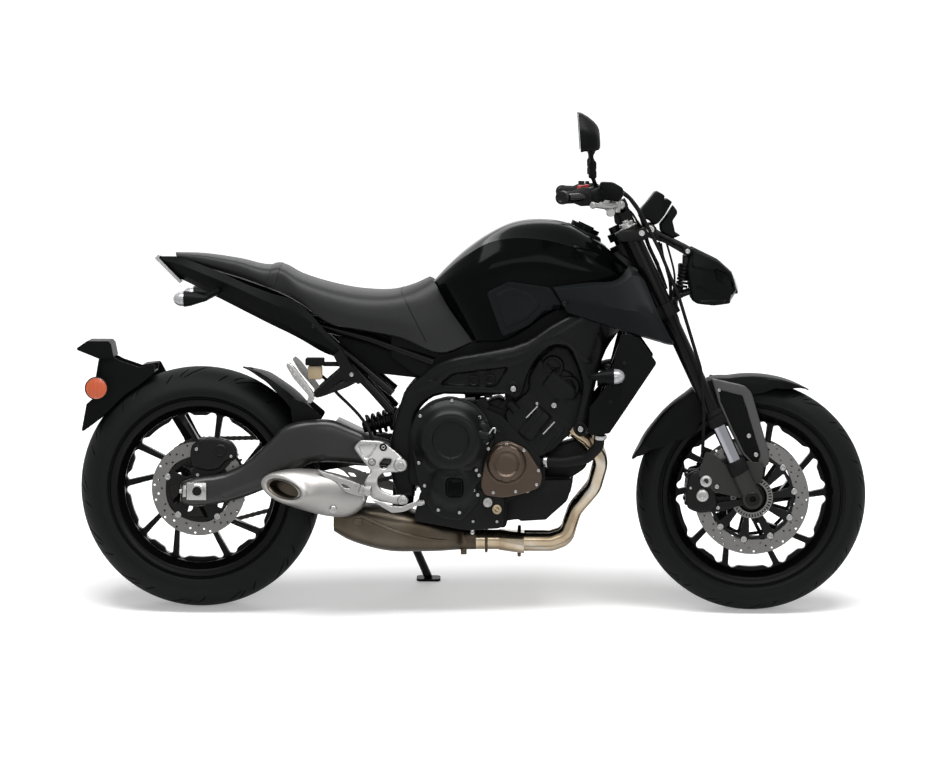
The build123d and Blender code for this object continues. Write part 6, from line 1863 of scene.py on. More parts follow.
# exhaust chamber with its pressed seam, clamps and sensor
chamberRings = [((352, -38, 238), (0, 56, 0), (0, 0, 35)), ((384, -32, 231), (0, 76, 0), (0, 0, 47)),
    ((430, -27, 221), (0, 88, 0), (0, 0, 54)), ((500, -24, 210), (0, 95, 0), (0, 0, 58)),
    ((570, -21, 203), (0, 92, 0), (0, 0, 52)), ((630, -17, 194), (0, 80, 0), (0, 0, 42)),
    ((672, -13, 186), (0, 54, 0), (0, 0, 32)), ((692, -11, 182), (0, 33, 0), (0, 0, 28)),
    ((722, -10, 180), (0, 28, 0), (0, 0, 26))]
chamber = outward(ringLoft(chamberRings, 64, 4, cap=True, power=0.62))
seam = ringLoft([((424, -117, 250), (0, 5, 0), (1, 0, 5)), ((470, -121, 229), (0, 5, 0), (1, 0, 5)),
        ((520, -118, 208), (0, 5, 0), (1, 0, 5)), ((580, -110, 192), (0, 5, 0), (1, 0, 5)),
        ((640, -88, 184), (0, 5, 0), (1, 0, 4)), ((682, -46, 181), (0, 4, 0), (1, 0, 3))], 12, 5,
    cap=True)
farSeam = mirrored(turnedTo(seam.copy(), Matrix.Translation((0, 44, 0))))
boss = slab(rounded([(404, 226), (404, 242), (428, 242), (428, 226)], 6), -119, -100, 2)
piece("chamber", joined(chamber, seam, farSeam, boss), "chamberSteel", "chassis", "exhaust_chamber",
    sharp=44)


def clampBand(x, y, z, radius, width):
    half = width / 2
    band = lathe([(-half, radius), (-half, radius + 3), (-half / 2, radius + 4.5),
            (half / 2, radius + 4.5), (half, radius + 3), (half, radius)], steps=48)
    return turnedTo(band, Matrix.Translation((x, y, z)) @ Matrix.Rotation(math.radians(90), 4, "Z"))


clampBands = [clampBand(*sizes) for sizes in ((690, -11, 183, 31, 14), (749, -10, 180, 30, 7),
        (835, -4, 176, 37, 9))]
clampBands.append(blockAt((16, 12, 16), (690, -30, 150), 2))
piece("exhaustClamps", joined(*clampBands), "chamberSteel", "chassis")
sensor = spun([(0, 9), (6, 9), (6, 7), (18, 7), (20, 5), (34, 5), (34, 0.001), (0, 0.001)],
    (712, -30, 198), (0.05, -0.4, 1), 20)
piece("exhaustSensor", sensor, "boltSteel", "chassis")
piece("sensorLead", tube([(714, -43, 230), (715, -48, 246), (722, -60, 262), (730, -100, 262)], 3.2, 8),
    "rubberBlack", "chassis")
print("exhaust made")

# rider footrests: cast plates, heel guards, pegs and the foot levers
restRing = rounded([(406, 430), (424, 450), (476, 448), (487, 443), (531, 408), (546, 394), (546, 375),
        (531, 368), (508, 368), (482, 366), (470, 354), (470, 336), (482, 320), (508, 309), (539, 311),
        (551, 299), (545, 284), (518, 286), (476, 294), (455, 301), (442, 321), (434, 342), (453, 370),
        (447, 378)], 7)
restSlot = rounded([(474, 391), (486, 404), (505, 402), (503, 391), (490, 377), (477, 378)], 5)


def restTop(x, z):
    return between(z, ((290, -186), (340, -182), (380, -172), (440, -164)))


restPlate = casting(restRing, restTop, 12, 4.0, [restSlot],
    [
        (circle(17, (529, 387), 28), 4.0, 3.0),
        (circle(14.5, (537, 296), 24), 4.0, 3.0),
        (circle(9, (484, 432), 20), -2.5, 2.5),
        (circle(9, (455, 394), 20), -2.5, 2.5),
        (rounded([(420, 436), (470, 440), (440, 400), (430, 410)], 6), -2.5, 3.0),
    ], step=5.0)
heelRing = rounded([(315, 377), (326, 371), (377, 354), (413, 342), (430, 330), (436, 305), (413, 309),
        (387, 318), (364, 342), (330, 357)], 4)
heelSlot = rounded([(376, 338), (392, 336), (400, 326), (384, 328)], 3)
heel = casting(heelRing, lambda x, z: -186 - 6 * eased((360 - x) / 60), 7, 2.0, [heelSlot], step=6.0)
pegArm = joined(blockAt((30, 20, 24), (438, -190, 322), 4, (20, "Y")),
    blockAt((16, 60, 14), (446, -222, 326), 3),
    *[blockAt((19, 5, 17), (446, -198 - 11 * index, 326), 1.5) for index in range(6)],
    drum((436, -226, 300), (0, 0, 1), 3, 22), drum((436, -226, 298), (0, 0, 1), 5, 5))
pedal = casting(rounded([(455, 297), (476, 284), (508, 265), (539, 268), (570, 283), (586, 284),
            (590, 291), (582, 297), (566, 294), (533, 281), (504, 283), (478, 295)], 4),
    lambda x, z: -196, 8, 2.0, step=6.0)
pedalPad = joined(blockAt((22, 26, 9), (582, -198, 292), 3),
    *[blockAt((3, 26, 3), (574 + 5 * i, -198, 297.5), 0.8) for i in range(4)])
shiftLever = joined(drum((536, -188, 297), (0, 1, 0), 9, 24),
    tube([(536, -196, 297), (560, -198, 300), (586, -200, 306), (604, -202, 318)], 4.5, 10),
    drum((604, -224, 318), (0, 1, 0), 7, 26))
rests = joined(restPlate, heel, pegArm)
stays = joined(*[drum((x, -166, z), (0, 1, 0), 9, 60) for x, z in ((529, 387), (484, 432))])
piece("riderRests", joined(bothSides(rests), pedal, pedalPad, mirrored(shiftLever)), "castSilver",
    "chassis", "footrest_brackets foot_levers footpegs", sharp=36)
piece("restStays", bothSides(stays), "frameBlack", "chassis")
restBolts = []
for x, z, size in ((529, 387, 1.7), (537, 296, 1.3), (484, 432, 1.1), (455, 394, 1.1), (420, 333, 1.3),
        (427, 322, 1.0)):
    out = (4 if size > 1.2 else -2) - restTop(x, z)
    restBolts += [(x, way * out, z, (0, way, 0), size) for way in (-1, 1)]
bolts("restBolts", socketHead, restBolts, "boltSteel")

# passenger rests: black arms carrying folded silver pegs
passengerArm = casting(
    rounded([(300, 572), (378, 640), (402, 634), (424, 604), (392, 586), (324, 560), (306, 556)], 8),
    lambda x, z: -136, 10, 3.0, [rounded([(330, 584), (378, 616), (396, 606), (350, 586)], 6)],
    step=7.0)
passengerPeg = joined(casting(rounded([(230, 642), (238, 650), (254, 636), (300, 575), (306, 562),
                (296, 542), (284, 546), (290, 562), (250, 608)], 5), lambda x, z: -150, 16, 4.0,
        step=6.0),
    *[blockAt((11, 20, 3.5), (244 + 9 * i, -144, 628 - 12 * i), 1, (52, "Y")) for i in range(5)])
piece("passengerArms", bothSides(passengerArm), "boltBlack", "chassis")
piece("passengerPegs", bothSides(passengerPeg), "castSilver", "chassis")
bolts("passengerBolts", socketHead, [(x, way * y, z, (0, way, 0), s) for way in (-1, 1)
        for x, y, z, s in ((400, 137, 618, 1.1), (300, 151, 556, 1.0))], "boltSteel")

# rear brake fluid: a clear pot with a black cap, and its hose
piece("fluidPot", slab(rounded([(286, 604), (286, 640), (323, 640), (323, 604)], 6), -136, -98, 4),
    "fluidAmber", "chassis", "brake_reservoir")
piece("fluidCap", joined(
        slab(rounded([(280, 641), (280, 660), (328, 660), (328, 641)], 4), -141, -93, 2),
        *[blockAt((2, 50, 15), (284 + 6 * i, -117, 651), 0.7) for i in range(8)],
        blockAt((44, 14, 12), (346, -116, 644), 3)), "rubberBlack", "chassis")
piece("fluidHose", tube([(322, -110, 612), (338, -108, 600), (356, -112, 572), (392, -116, 540),
            (430, -118, 500), (452, -128, 462), (462, -140, 420)], 4.2, 8), "rubberBlack", "chassis")
print("rests made")

# fork: seals, caps, guards, spindle clamps
forkDown = -steerUp


def forkAt(z, y):
    return Vector((steerLook["legFoot"] - steerLook["slope"] * z, y, z))


forkLook = {"tube": 22.0, "leg": 18.0, "sealTop": 527.0, "footTop": 398.0}
forkTubes, forkCollars, forkCaps, forkLegs = [], [], [], []
for y in (-105, 105):
    r = forkLook["tube"]
    run = (forkAt(520, y) - forkAt(1000, y)).length
    forkTubes.append(spun(
            [(0, 8), (0, r), (150, r + 1.5), (262, r + 1.5), (280, r - 1), (run, r - 1), (run, 8)],
            forkAt(1000, y), forkDown, 48))
    forkCollars.append(spun([(0, r - 1), (0, r + 1.5), (7, r + 3), (12, r + 3), (13, r + 1),
                (16, r + 1), (17, r + 3), (32, r + 3), (40, r), (44, 18)],
            forkAt(forkLook["sealTop"], y), forkDown, 40))
    forkCollars.append(spun([(0, 18), (0, 24), (4, 26), (22, 26), (34, 25), (46, 23), (50, 18)],
            forkAt(forkLook["footTop"], y), forkDown, 40))
    forkLegs.append(spun([(0, 10), (0, forkLook["leg"]), (150, forkLook["leg"]), (150, 10)],
            forkAt(500, y), forkDown, 56))
    forkCaps.append(spun([(0, 0.001), (0, r + 1), (5, r + 1), (7, 19), (16, 19), (18, 16), (18, 9),
                (23, 8.4), (23, 0.001)], forkAt(998, y), -forkDown, 28))
piece("forkTubes", joined(*forkTubes), "tubeBlack", "steering", "fork_tubes")
piece("forkCollars", joined(*forkCollars), "rubberBlack", "steering")
piece("forkLegs", joined(*forkLegs), "chrome", "steering", "fork_stanchions")
piece("forkCaps", joined(*forkCaps), "castSilver", "steering")

# front mudguard: one curved skin, pointed at both ends
mudLook = {
    "start": 62,
    "sweep": 101,
    "steps": 56,
    "wall": 2.6,
    "endHalf": 24,
    "widening": 44,
    "low": ((62, 314), (76, 293), (86, 272), (94, 260), (106, 272), (120, 240), (136, 224), (149, 262),
        (158, 298), (163, 322)),
    "top": ((62, 316), (76, 317), (100, 318), (109, 327), (118, 321), (124, 317), (140, 317),
        (155, 321), (163, 326)),
    "profile": ((-1, 0), (-1, 0.45), (-0.99, 0.8), (-0.93, 0.95), (-0.75, 1), (-0.4, 1.02), (0, 1.03)),
}


def mudguardRow(angle):
    low, high = between(angle, mudLook["low"]), between(angle, mudLook["top"])
    near = eased((angle - 61) / 14) * eased((164 - angle) / 10)
    half = mudLook["endHalf"] + mudLook["widening"] * near
    turn = math.radians(angle)
    row = []
    for y, rise in mudLook["profile"]:
        radius = low + (high - low) * rise
        row.append((1440 + radius * math.cos(turn), y * half, 300 + radius * math.sin(turn)))
    return row + [(x, -y, z) for x, y, z in row[-2::-1]]


mudGrid = [mudguardRow(mudLook["start"] + mudLook["sweep"] * step / mudLook["steps"])
    for step in range(mudLook["steps"] + 1)]
mudguard = worked(outward(gridMesh(mudGrid)),
    ("SOLIDIFY", {"thickness": mudLook["wall"], "offset": -1}))
piece("mudguard", mudguard, "mouldingBlack", "steering", "front_mudguard", sharp=30)

# guards beside the fork legs
guardRing = rounded([(1330, 612), (1420, 592), (1437, 574), (1484, 416), (1484, 386), (1453, 372),
        (1414, 412), (1384, 470), (1350, 545)], 8)
guardField = rounded([(1352, 580), (1412, 566), (1423, 534), (1460, 412), (1452, 382), (1420, 416),
        (1390, 476), (1357, 550)], 6)


def legGuardTop(x, z):
    return -85 + 4 * eased((x - 1380) / 60)


guardEdge = casting(guardRing, legGuardTop, 5, 4.0, [guardField], step=7.0)
guardPlate = casting(guardField, lambda x, z: legGuardTop(x, z) + 3, 3, 1.0, step=8.0)
piece("guardEdges", bothSides(guardEdge), "platedGrey", "steering", sharp=30)
piece("guardPlates", bothSides(guardPlate), "mouldingBlack", "steering",
    sharp=30)
guardBolts = [
    (x, way * 87, z, (0, way, 0), 1.2) for way in (-1, 1) for x, z in ((1430, 462), (1449, 413))]
guardBolts += [(x, way * 84, z, (0, way, 0), 0.9) for way in (-1, 1) for x, z in ((1352, 580),)]
bolts("guardBolts", socketHead, guardBolts, "boltSteel", "steering")

# front calipers with their piston caps, hangers and pins
caliperRing = rounded([(1278, 366), (1270, 336), (1267, 298), (1272, 272), (1302, 260), (1336, 264),
        (1350, 286), (1346, 318), (1352, 340), (1340, 368), (1312, 374)], 9)
upperArm = rounded([(1296, 376), (1322, 352), (1352, 330), (1388, 352), (1418, 330), (1400, 384),
        (1384, 402), (1352, 398)], 8)
lowerArm = rounded(
    [(1326, 262), (1352, 262), (1400, 276), (1444, 286), (1436, 304), (1396, 294), (1350, 288)], 7)
capSpots = [(1320, 344), (1311, 306)]
frontCaliper = joined(caliper(caliperRing, -96, -70, capSpots, 15),
    casting(upperArm, lambda x, z: -86, 14, 3.0, step=7.0),
    casting(lowerArm, lambda x, z: -84, 12, 3.0, step=7.0),
    slab(rounded([(1278, 364), (1268, 308), (1276, 272), (1330, 270), (1336, 364)], 10), -70, -42, 4),
    *[drum((1270, -88, z), (0, 1, 0), 6, 40) for z in (286, 358)])
piece("frontCalipers", bothSides(frontCaliper), "boltBlack", "steering", "front_calipers",
    sharp=34)
piece("pistonCaps", bothSides(joined(*capsOn(capSpots, -97, 15.5))), "boltSteel", "steering")
pins = [(x, way * y, z, (0, way, 0), s) for way in (-1, 1)
    for x, y, z, s in ((1348, 98, 330, 1.2), (1400, 86, 368, 1.2), (1280, 97, 326, 0.7),
        (1352, 85, 274, 1.0), (1426, 84, 292, 0.8))]
bolts("caliperPins", socketHead, pins, "boltSteel", "steering")
spindleEnds = spun([(0, 9), (0, 19), (5, 19), (7, 17), (7, 9)], (1440, -126, 300), near, 32)
piece("spindleEnds", bothSides(spindleEnds), "boltBlack", "steering")

# wheel-speed ring: a slotted plate inside the right-hand disc
ringSlots = []
for index in range(40):
    a, b = 9 * index, 9 * index + 4.2
    ringSlots.append([tuple(polar(r, t)) for r, t in ((44, a), (52, a), (52, b), (44, b))])
speedRing = thickSheet(circle(55, steps=80), [circle(40, steps=48), *ringSlots], -1, 1)
piece("speedRing", turnedTo(speedRing, Matrix.Translation((1440, -69, 300))), "discSteel",
    "front_wheel")
print("fork made")

# headlamp: faceted sides, a hooded lens, and its two-bar bracket
lampRing = [(1273, 925), (1279, 950), (1350, 916), (1384, 885), (1402, 831), (1381, 826), (1381, 804),
    (1338, 799), (1294, 804), (1279, 813), (1267, 888)]


def lampTop(x, z):
    return -96 + 44 * eased((x - 1296) / 118) + 12 * eased((z - 886) / 60)


lampSide = casting(rounded(lampRing, 5), lampTop, 40, 7.0,
    fields=[
        (rounded([(1336, 896), (1370, 882), (1390, 846), (1346, 862)], 8), -9.0, 4.0),
        (rounded([(1282, 944), (1350, 912), (1384, 882), (1396, 850), (1380, 850), (1340, 892),
                    (1280, 900)], 6), 4.0, 4.0),
        (rounded([(1290, 852), (1366, 826), (1370, 812), (1300, 812)], 6), -3.0, 4.0),
    ], step=6.0)
lampCore = slab(rounded(
        [(1284, 816), (1274, 888), (1282, 940), (1346, 908), (1376, 880), (1388, 836), (1372, 812)], 6),
    -64, 64, 4)
faceGrid = [[(x + 6 * (1 - (step / 8) ** 2), 58 * step / 8, z) for step in range(-8, 9)]
    for x, z in ((1350, 910), (1372, 892), (1388, 866), (1396, 840), (1384, 820), (1376, 808))]
lampFace = worked(outward(gridMesh(faceGrid)), ("SOLIDIFY", {"thickness": 4, "offset": 0}))
piece("headlampShell", joined(bothSides(lampSide), lampCore), "mouldingBlack", "steering", "headlamp",
    sharp=26)
piece("headlampGlass", lampFace, "displayGlass", "steering", sharp=30)
eyeLook = {"x": 1388, "z": 846, "apart": 31, "way": (1, 0, 0.42),
    "bowl": [(0, 0.001), (0, 21), (3, 23), (6, 21), (7, 17), (4, 12), (2, 0.001)],
    "lens": [(2, 0.001), (5, 6), (7, 8), (9, 6), (10, 0.001)]}
eyes = []
for way in (-1, 1):
    spot = (eyeLook["x"], way * eyeLook["apart"], eyeLook["z"])
    eyes.append(spun(eyeLook["bowl"], spot, eyeLook["way"], 40))
    eyes.append(spun(eyeLook["lens"], spot, eyeLook["way"], 24))
# pale strips in lens finish along the top edge of the lamp face: a painted highlight line
paintedHighlightStrips = [tube([(1358, way * 60, 902), (1376, way * 40, 890), (1384, way * 12, 884)], 2.6, 8)
    for way in (-1, 1)]
piece("headlampEyes", joined(*eyes, *paintedHighlightStrips), "lensClear", "steering")

yokeRing = rounded([(1078, 984), (1092, 994), (1136, 996), (1176, 1012), (1188, 1000), (1184, 984),
        (1150, 968), (1092, 964)], 6)
lampArmRing = rounded([(1158, 992), (1184, 996), (1206, 984), (1270, 952), (1284, 944), (1276, 928),
        (1262, 930), (1206, 962), (1160, 976)], 5)
bracketSide = joined(casting(lampArmRing, lambda x, z: -80, 12, 4.0,
        fields=[(rounded([(1192, 980), (1256, 948), (1254, 938), (1204, 964)], 3), -4.0, 3.0)],
        step=6.0),
    tube([(1216, -70, 792), (1236, -72, 812), (1256, -74, 828), (1284, -74, 836)], 6, 8))
hornRibs = [spun([(0, 10), (0, 15), (3, 16), (6, 15), (6, 10)],
        (1262 - index * 1.5, -62, 900 - index * 9), (0.15, 0, 1), 20) for index in range(7)]
coilBox = joined(blockAt((26, 60, 46), (1258, -20, 884), 4), blockAt((26, 44, 34), (1246, -10, 838), 4),
    blockAt((20, 60, 60), (1266, -30, 900), 4), blockAt((22, 34, 26), (1234, -30, 804), 4), *hornRibs)
piece("lampBracket", joined(bothSides(bracketSide), coilBox), "frameBlack", "steering")
yokeCheek = casting(yokeRing, lambda x, z: -138, 66, 5.0, step=7.0)
piece("topYokeCheeks", bothSides(yokeCheek), "frameBlack", "steering")
looms = [tube(points, radius, 8) for radius, points in ((5.0,
            [(1088, -196, 1096), (1112, -176, 1084), (1140, -150, 1050), (1156, -120, 1010),
                (1162, -76, 960), (1194, -42, 900), (1214, -42, 840)]),
        (3.0, [(1092, -180, 1062), (1116, -160, 1050), (1138, -128, 1016), (1148, -90, 980),
                (1152, -70, 940)]), (3.0,
            [(1214, -56, 960), (1226, -62, 920), (1238, -60, 870), (1230, -56, 820), (1216, -52, 780)]),
        (2.4, [(1200, -52, 960), (1210, -56, 900), (1226, -56, 850), (1222, -50, 800)]),
        (3.4, [(1196, 60, 960), (1214, 60, 900), (1232, 60, 850), (1228, 50, 806)]),
        (5.0, [(1088, 196, 1096), (1112, 176, 1084), (1140, 150, 1050), (1156, 120, 1010),
                (1162, 76, 960), (1194, 42, 900)]))]
piece("loomLines", joined(*looms), "rubberBlack", "steering")
bracketBolts = [(x, way * y, z, (0, way, 0), s) for way in (-1, 1)
    for x, y, z, s in ((1148, 139, 988, 1.6), (1170, 139, 998, 2.0), (1268, 82, 940, 1.3))]
bolts("bracketBolts", socketHead, bracketBolts, "boltSteel", "steering")

# instrument: slanted display, stepped case, and a narrow cover behind it
caseRing = rounded([(1146, 1041), (1188, 1095), (1208, 1084), (1207, 1074), (1216, 1075), (1228, 1067),
        (1220, 1053), (1208, 1032), (1192, 1012), (1181, 1007), (1166, 1020), (1140, 1028)], 3)
coverRing = rounded([(1231, 1058), (1241, 1044), (1241, 1036), (1229, 1018), (1236, 988), (1250, 980),
        (1230, 972), (1198, 990), (1196, 1008), (1212, 1028), (1226, 1050)], 3)
caseSide = casting(caseRing, lambda x, z: -72 + 14 * eased((x - 1196) / 40), 72, 4.0, step=6.0)
coverSide = casting(coverRing, lambda x, z: -60, 60, 4.0, step=6.0)
piece("displayCase", joined(bothSides(caseSide), bothSides(coverSide)), "mouldingBlack", "steering",
    "instrument", sharp=30)
screenTurn = math.degrees(math.atan2(54, 42))
screen = blockAt((62, 124, 5), (1165.0, 0, 1070.0), 2.0, (-screenTurn, "Y"))
piece("displayGlass", screen, "displayGlass", "steering")

# handlebar controls; back is measured along the bar from its right-hand end
barEnd, barRun = Vector((944, -404, 1084)), Vector((-0.480, -0.877, -0.005)).normalized()
barTurn = barRun.to_track_quat("Y", "Z").to_matrix().to_4x4()


def onBar(back, fore=0.0, up=0.0):
    return barEnd - barRun * back + Vector((fore, 0, up))


def onBarBlock(size, back, fore=0.0, up=0.0, bevel=4.0):
    return turnedTo(blockAt(size, (0, 0, 0), bevel),
        Matrix.Translation(onBar(back, fore, up)) @ barTurn)


gripLook = {"ribs": 20, "pitch": 4.2, "start": 6, "outer": 16.0, "swelling": 6.0}
gripProfile = [(0, 11.5), (0, 15), (1.5, 16.5), (4, 16.5)]
for index in range(gripLook["ribs"]):
    height = gripLook["start"] + index * gripLook["pitch"]
    wide = gripLook["outer"] + gripLook["swelling"] * eased((height - 50) / 40)
    gripProfile += [(height, wide - 0.8), (height + 0.9, wide), (height + 2.6, wide),
        (height + 3.4, wide - 0.8)]
gripProfile += [(92, 22.5), (94, 24), (99, 24), (101, 21.5), (104, 21.5), (105, 24), (108, 24),
    (109, 20), (109, 11.5)]
piece("gripRubbers", bothSides(spun(gripProfile, onBar(6), -barRun, 40)), "rubberBlack", "steering",
    "grips", sharp=50)
endWeight = spun(
    [(3, 0.001), (3, 8), (1, 10), (0, 11), (0, 14), (2, 17), (11, 17.5), (14, 15), (17, 12)],
    onBar(-11), -barRun, 36)
piece("barEnds", bothSides(endWeight), "boltBlack", "steering", sharp=50)
switchBox = joined(spun(
        [(0, 12), (0, 21), (3, 23.5), (30, 24.5), (46, 25), (48, 23), (50, 25), (58, 24), (60, 14)],
        onBar(112, 4), -barRun, 36), onBarBlock((30, 26, 22), 136, -14, 10, 7))
clampHalf = joined(onBarBlock((36, 20, 36), 184, 2, 2, 9), onBarBlock((36, 26, 24), 186, 26, 6, 8))
potRing = rounded(
    [(1040, 1122), (1072, 1121), (1098, 1106), (1098, 1086), (1086, 1070), (1044, 1080), (1036, 1110)],
    7)
potBody = slab(potRing, -272, -206, 5)
piece("switchHousings", joined(bothSides(joined(switchBox, clampHalf)), potBody), "mouldingBlack",
    "steering", "switchgear", sharp=34)
piece("killSwitch",
    joined(onBarBlock((12, 26, 12), 126, -14, 23, 3), onBarBlock((10, 14, 12), 146, -10, 25, 3)),
    "killRed", "steering")
buttons = [mirrored(onBarBlock((9, 10, 8), back, fore, 26, 2))
    for back, fore in ((122, -12), (138, -14), (152, -8))]
piece("leftButtons", joined(*buttons), "rubberBlack", "steering")
leverLine = [(1086, -226, 1058), (1078, -260, 1060), (1062, -316, 1058), (1040, -366, 1062),
    (1020, -398, 1066), (1016, -402, 1066)]
leverMesh = joined(tube(leverLine, 6.5, 12),
    tube([(x - 2, y, z + 6) for x, y, z in leverLine[:4]], 5, 10),
    spun([(0, 0.001), (0, 5), (3, 8), (8, 9), (12, 7), (13, 0.001)], (1022, -392, 1065),
        (-0.3, -0.95, 0), 24))
leverPerch = joined(blockAt((30, 30, 26), (1078, -232, 1062), 6),
    drum((1080, -250, 1044), (0, 0, 1), 10, 34, 28), drum((1064, -296, 1044), (0.2, -1, 0), 10, 12, 28),
    spun([(0, 0.001), (0, 9), (3, 13), (40, 13), (46, 9), (52, 0.001)], (1086, -190, 1062),
        (0.1, -1, 0), 28))
piece("handLevers", bothSides(joined(leverMesh, leverPerch)), "castSilver", "steering",
    "control_levers", sharp=50)
# each row of the shell is how far behind the glass, its size across and up, and its drop
mirrorLook = {
    "centre": Vector((1002.6, -351, 1249)),
    "back": Vector((-1, 0, -0.07)).normalized(),
    "up": Vector((-0.07, 0, 1)).normalized(),
    "glass": rounded([(-72, -50), (-76, 6), (-34, 50), (58, 50), (74, 20), (66, -34), (40, -50)], 16,
        5),
    "shell": ((16, 0.97, 1.0, 0), (18, 0.99, 1.0, 0), (16, 1.0, 1.0, 0), (8, 1.0, 0.97, 0),
        (-6, 0.95, 0.88, -5), (-20, 0.84, 0.74, -11), (-28, 0.72, 0.62, -16), (-32, 0.56, 0.46, -18),
        (-33, 0.3, 0.24, -18)),
    "pane": ((18.2, 0.94, 0.94, 0), (17.2, 0.95, 0.95, 0)),
}


def mirrorSkin(rows):
    look = mirrorLook
    grid = [[look["centre"] + look["back"] * out + Vector((0, y * wide, 0)) + look["up"]
            * (z * high + lift) for y, z in look["glass"]] for out, wide, high, lift in rows]
    return outward(gridMesh(grid, closed=True, capped=True))


mirrorShell, mirrorPane = mirrorSkin(mirrorLook["shell"]), mirrorSkin(mirrorLook["pane"])
stemPoints = [(1032, -253, 1096), (1028, -268, 1112), (1020, -292, 1130), (1017, -303, 1160),
    (1016, -311, 1190), (1014, -322, 1214)]
mirrorStem = joined(tube(stemPoints, 5.2, 12), spun([(0, 6), (0, 9), (3, 10.5), (16, 10.5), (18, 9.5),
            (22, 9.5), (24, 10.5), (38, 10.5), (42, 9), (46, 5)], (1019, -298, 1132), (-0.02, -0.14, 1),
        24),
    spun([(0, 4.5), (4, 6), (14, 10), (26, 17), (30, 18)], (1015, -316, 1186), (0.05, -0.2, 1), 24),
    spun([(0, 0.001), (0, 12), (16, 12), (22, 6), (22, 0.001)], (1034, -253, 1084), (0, 0, 1), 24))
piece("mirrorShells", bothSides(joined(mirrorShell, mirrorStem)), "mouldingBlack", "steering",
    "mirrors", sharp=30)
piece("mirrorPanes", bothSides(mirrorPane), "mirrorGlass", "steering")
barClamps = [spun([(0, 0.001), (0, 15), (3, 18), (30, 18), (33, 15), (33, 0.001)],
        (1089, way * 26, 1050), (0, way, 0), 32) for way in (-1, 1)]
barClamps += [slab(rounded([(1074, 1050), (1080, 1008), (1112, 1004), (1110, 1050)], 6), way * 42 - 14,
        way * 42 + 14, 4) for way in (-1, 1)]
piece("barClamps", joined(*barClamps), "frameBlack", "steering")
bolts("clampBolts", socketHead,
    [(1087 + dx, y, 1064, (0, 0, 1), 0.9) for dx in (-12, 12) for y in (-42, 42)], "boltBlack",
    "steering")
print("controls made")

# indicators: clear lens, dark body, stalk
lensProfile = [(0, 0.001), (2, 8), (7, 14), (16, 18.5), (26, 19.6), (28, 19.6)]
bodyProfile = [(28, 18), (28, 20.5), (32, 20.5), (46, 18.5), (70, 11), (88, 6), (94, 0.001)]


def indicator(tip, direction, stalk):
    away, home = Matrix.Translation(-Vector(tip)), Matrix.Translation(Vector(tip))
    wide = home @ Matrix.Diagonal((1, 1.25, 1, 1)) @ away
    lens = turnedTo(spun(lensProfile, tip, direction, 36), wide)
    body = turnedTo(spun(bodyProfile, tip, direction, 36), wide)
    return lens, joined(body, tube(stalk, 8, 12))


rearLens, rearBody = indicator((-61, -158, 812), (1, 0, 0.02),
    [(16, -158, 812), (24, -130, 816), (40, -100, 824), (50, -82, 830)])
foreLens, foreBody = indicator((1106, -228, 623), (-1, 0, -0.02),
    [(1050, -228, 622), (1056, -216, 622), (1070, -204, 622), (1078, -192, 622)])
piece("indicatorBodies", bothSides(joined(rearBody, foreBody)), "mouldingBlack", "chassis",
    "indicators", sharp=40)
piece("indicatorLenses", bothSides(joined(rearLens, foreLens)), "lensClear", "chassis",
    sharp=50)
reflector = spun([(0, 0.001), (0, 28), (2, 28), (3, 26.5), (2.4, 25.5), (3.4, 20), (4, 0.001)],
    (-266, -97, 576), near, 40)
reflectorRim = spun([(0, 25), (0, 30), (4, 30), (5, 28), (4, 26.6), (2, 26)], (-266, -95, 576), near,
    40)
piece("reflector", reflector, "amber", "chassis")
piece("reflectorRim", reflectorRim, "rubberBlack", "chassis")
print("front made")

# what closes the machine below the tank and seat (a dark sheet on both flanks, painted shade), the
# radiator's fins, and small fastenings
# a flat dark sheet inside both flanks below the tank and seat: painted shade that closes the gaps seen
# through the frame
paintedShadeRing = rounded([(500, 735), (560, 706), (640, 676), (708, 700), (800, 712), (880, 768), (960, 804),
        (1036, 836), (1060, 800), (1000, 766), (900, 708), (850, 676), (741, 646), (646, 626),
        (590, 606), (556, 622), (500, 660)], 8)
paintedShadePanel = casting(paintedShadeRing, lambda x, z: -98, 5, 2.0, step=12.0)
piece("innerPanels", bothSides(paintedShadePanel), "mouldingBlack", "chassis")

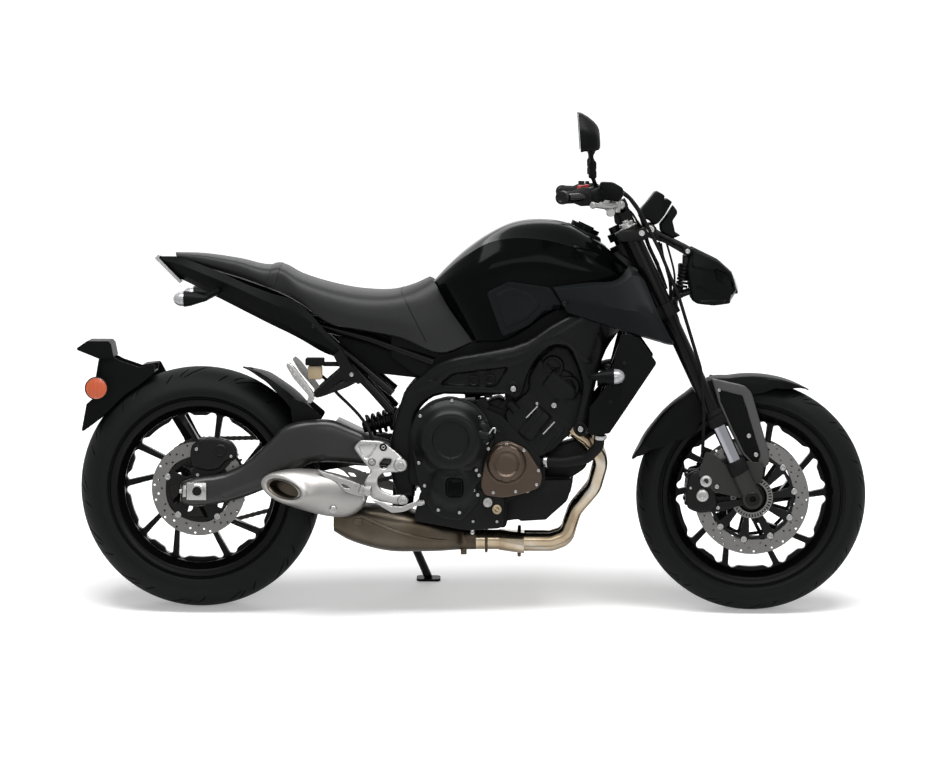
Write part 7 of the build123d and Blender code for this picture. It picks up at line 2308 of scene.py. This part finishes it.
radiatorLook = {"centre": (1084, 0, 600), "lean": 20.0, "high": 232.0, "wide": 296.0, "rows": 29,
    "thick": 1.6, "reach": 15.2, "folds": 96}
leanTurn = Matrix.Translation(Vector(radiatorLook["centre"])) @ Matrix.Rotation(
    math.radians(radiatorLook["lean"]), 4, "Y")


def finSheet():
    # one folded ribbon between two rows of pipe, seen from the front
    look = radiatorLook
    gap = look["high"] / look["rows"]
    grid = []
    for index in range(look["folds"] + 1):
        y = look["wide"] * (index / look["folds"] - 0.5)
        z = gap * 0.36 * (1 if index % 2 else -1)
        grid.append([(-look["reach"] + 1, y, z), (look["reach"] - 1, y, z)])
    return worked(gridMesh(grid), ("SOLIDIFY", {"thickness": 0.5, "offset": 0}))


def coreRows(count, start):
    # evenly spaced places up the core, leaning with it
    step = radiatorLook["high"]
    return [(leanTurn @ Vector((0, 0, step * ((row + start) / radiatorLook["rows"] - 0.5))), leanTurn,
            1.0) for row in range(count)]


pipes = setOut(blockAt((radiatorLook["reach"] * 2, radiatorLook["wide"], radiatorLook["thick"]),
        (0, 0, 0), 0.5, segments=1), coreRows(radiatorLook["rows"] + 1, 0), "boltBlack")
fins = setOut(finSheet(), coreRows(radiatorLook["rows"], 0.5), "platedGrey")
piece("radiatorPipes", pipes, "boltBlack", "chassis")
piece("radiatorFins", fins, "platedGrey", "chassis")

fastenings = [(950, way * 166, 806, (0, way, 0), 1.3) for way in (-1, 1)]
fastenings += [(x, way * y, z, (0, way, 0), 1.0) for way in (-1, 1)
    for x, y, z in ((1070, 199, 556), (1104, 205, 656), (606, 139, 600), (300, 134, 742))]
bolts("panelBolts", socketHead, fastenings, "boltBlack", "chassis")

# side stand: its return spring
standWay = (Vector((590, 262, 44)) - standPivot).normalized()
standSide = standWay.orthogonal().normalized()
standCoil = []
for index in range(73):
    turn = 2 * math.pi * index / 8
    middle = standPivot + standWay * (24 + 70 * index / 72) + Vector((16, 0, 0))
    standCoil.append(
        middle + standSide * 6 * math.cos(turn) + standWay.cross(standSide) * 6 * math.sin(turn))
piece("standSpring", tube(standCoil, 1.5, 6), "boltSteel", "side_stand")
print("rest made")
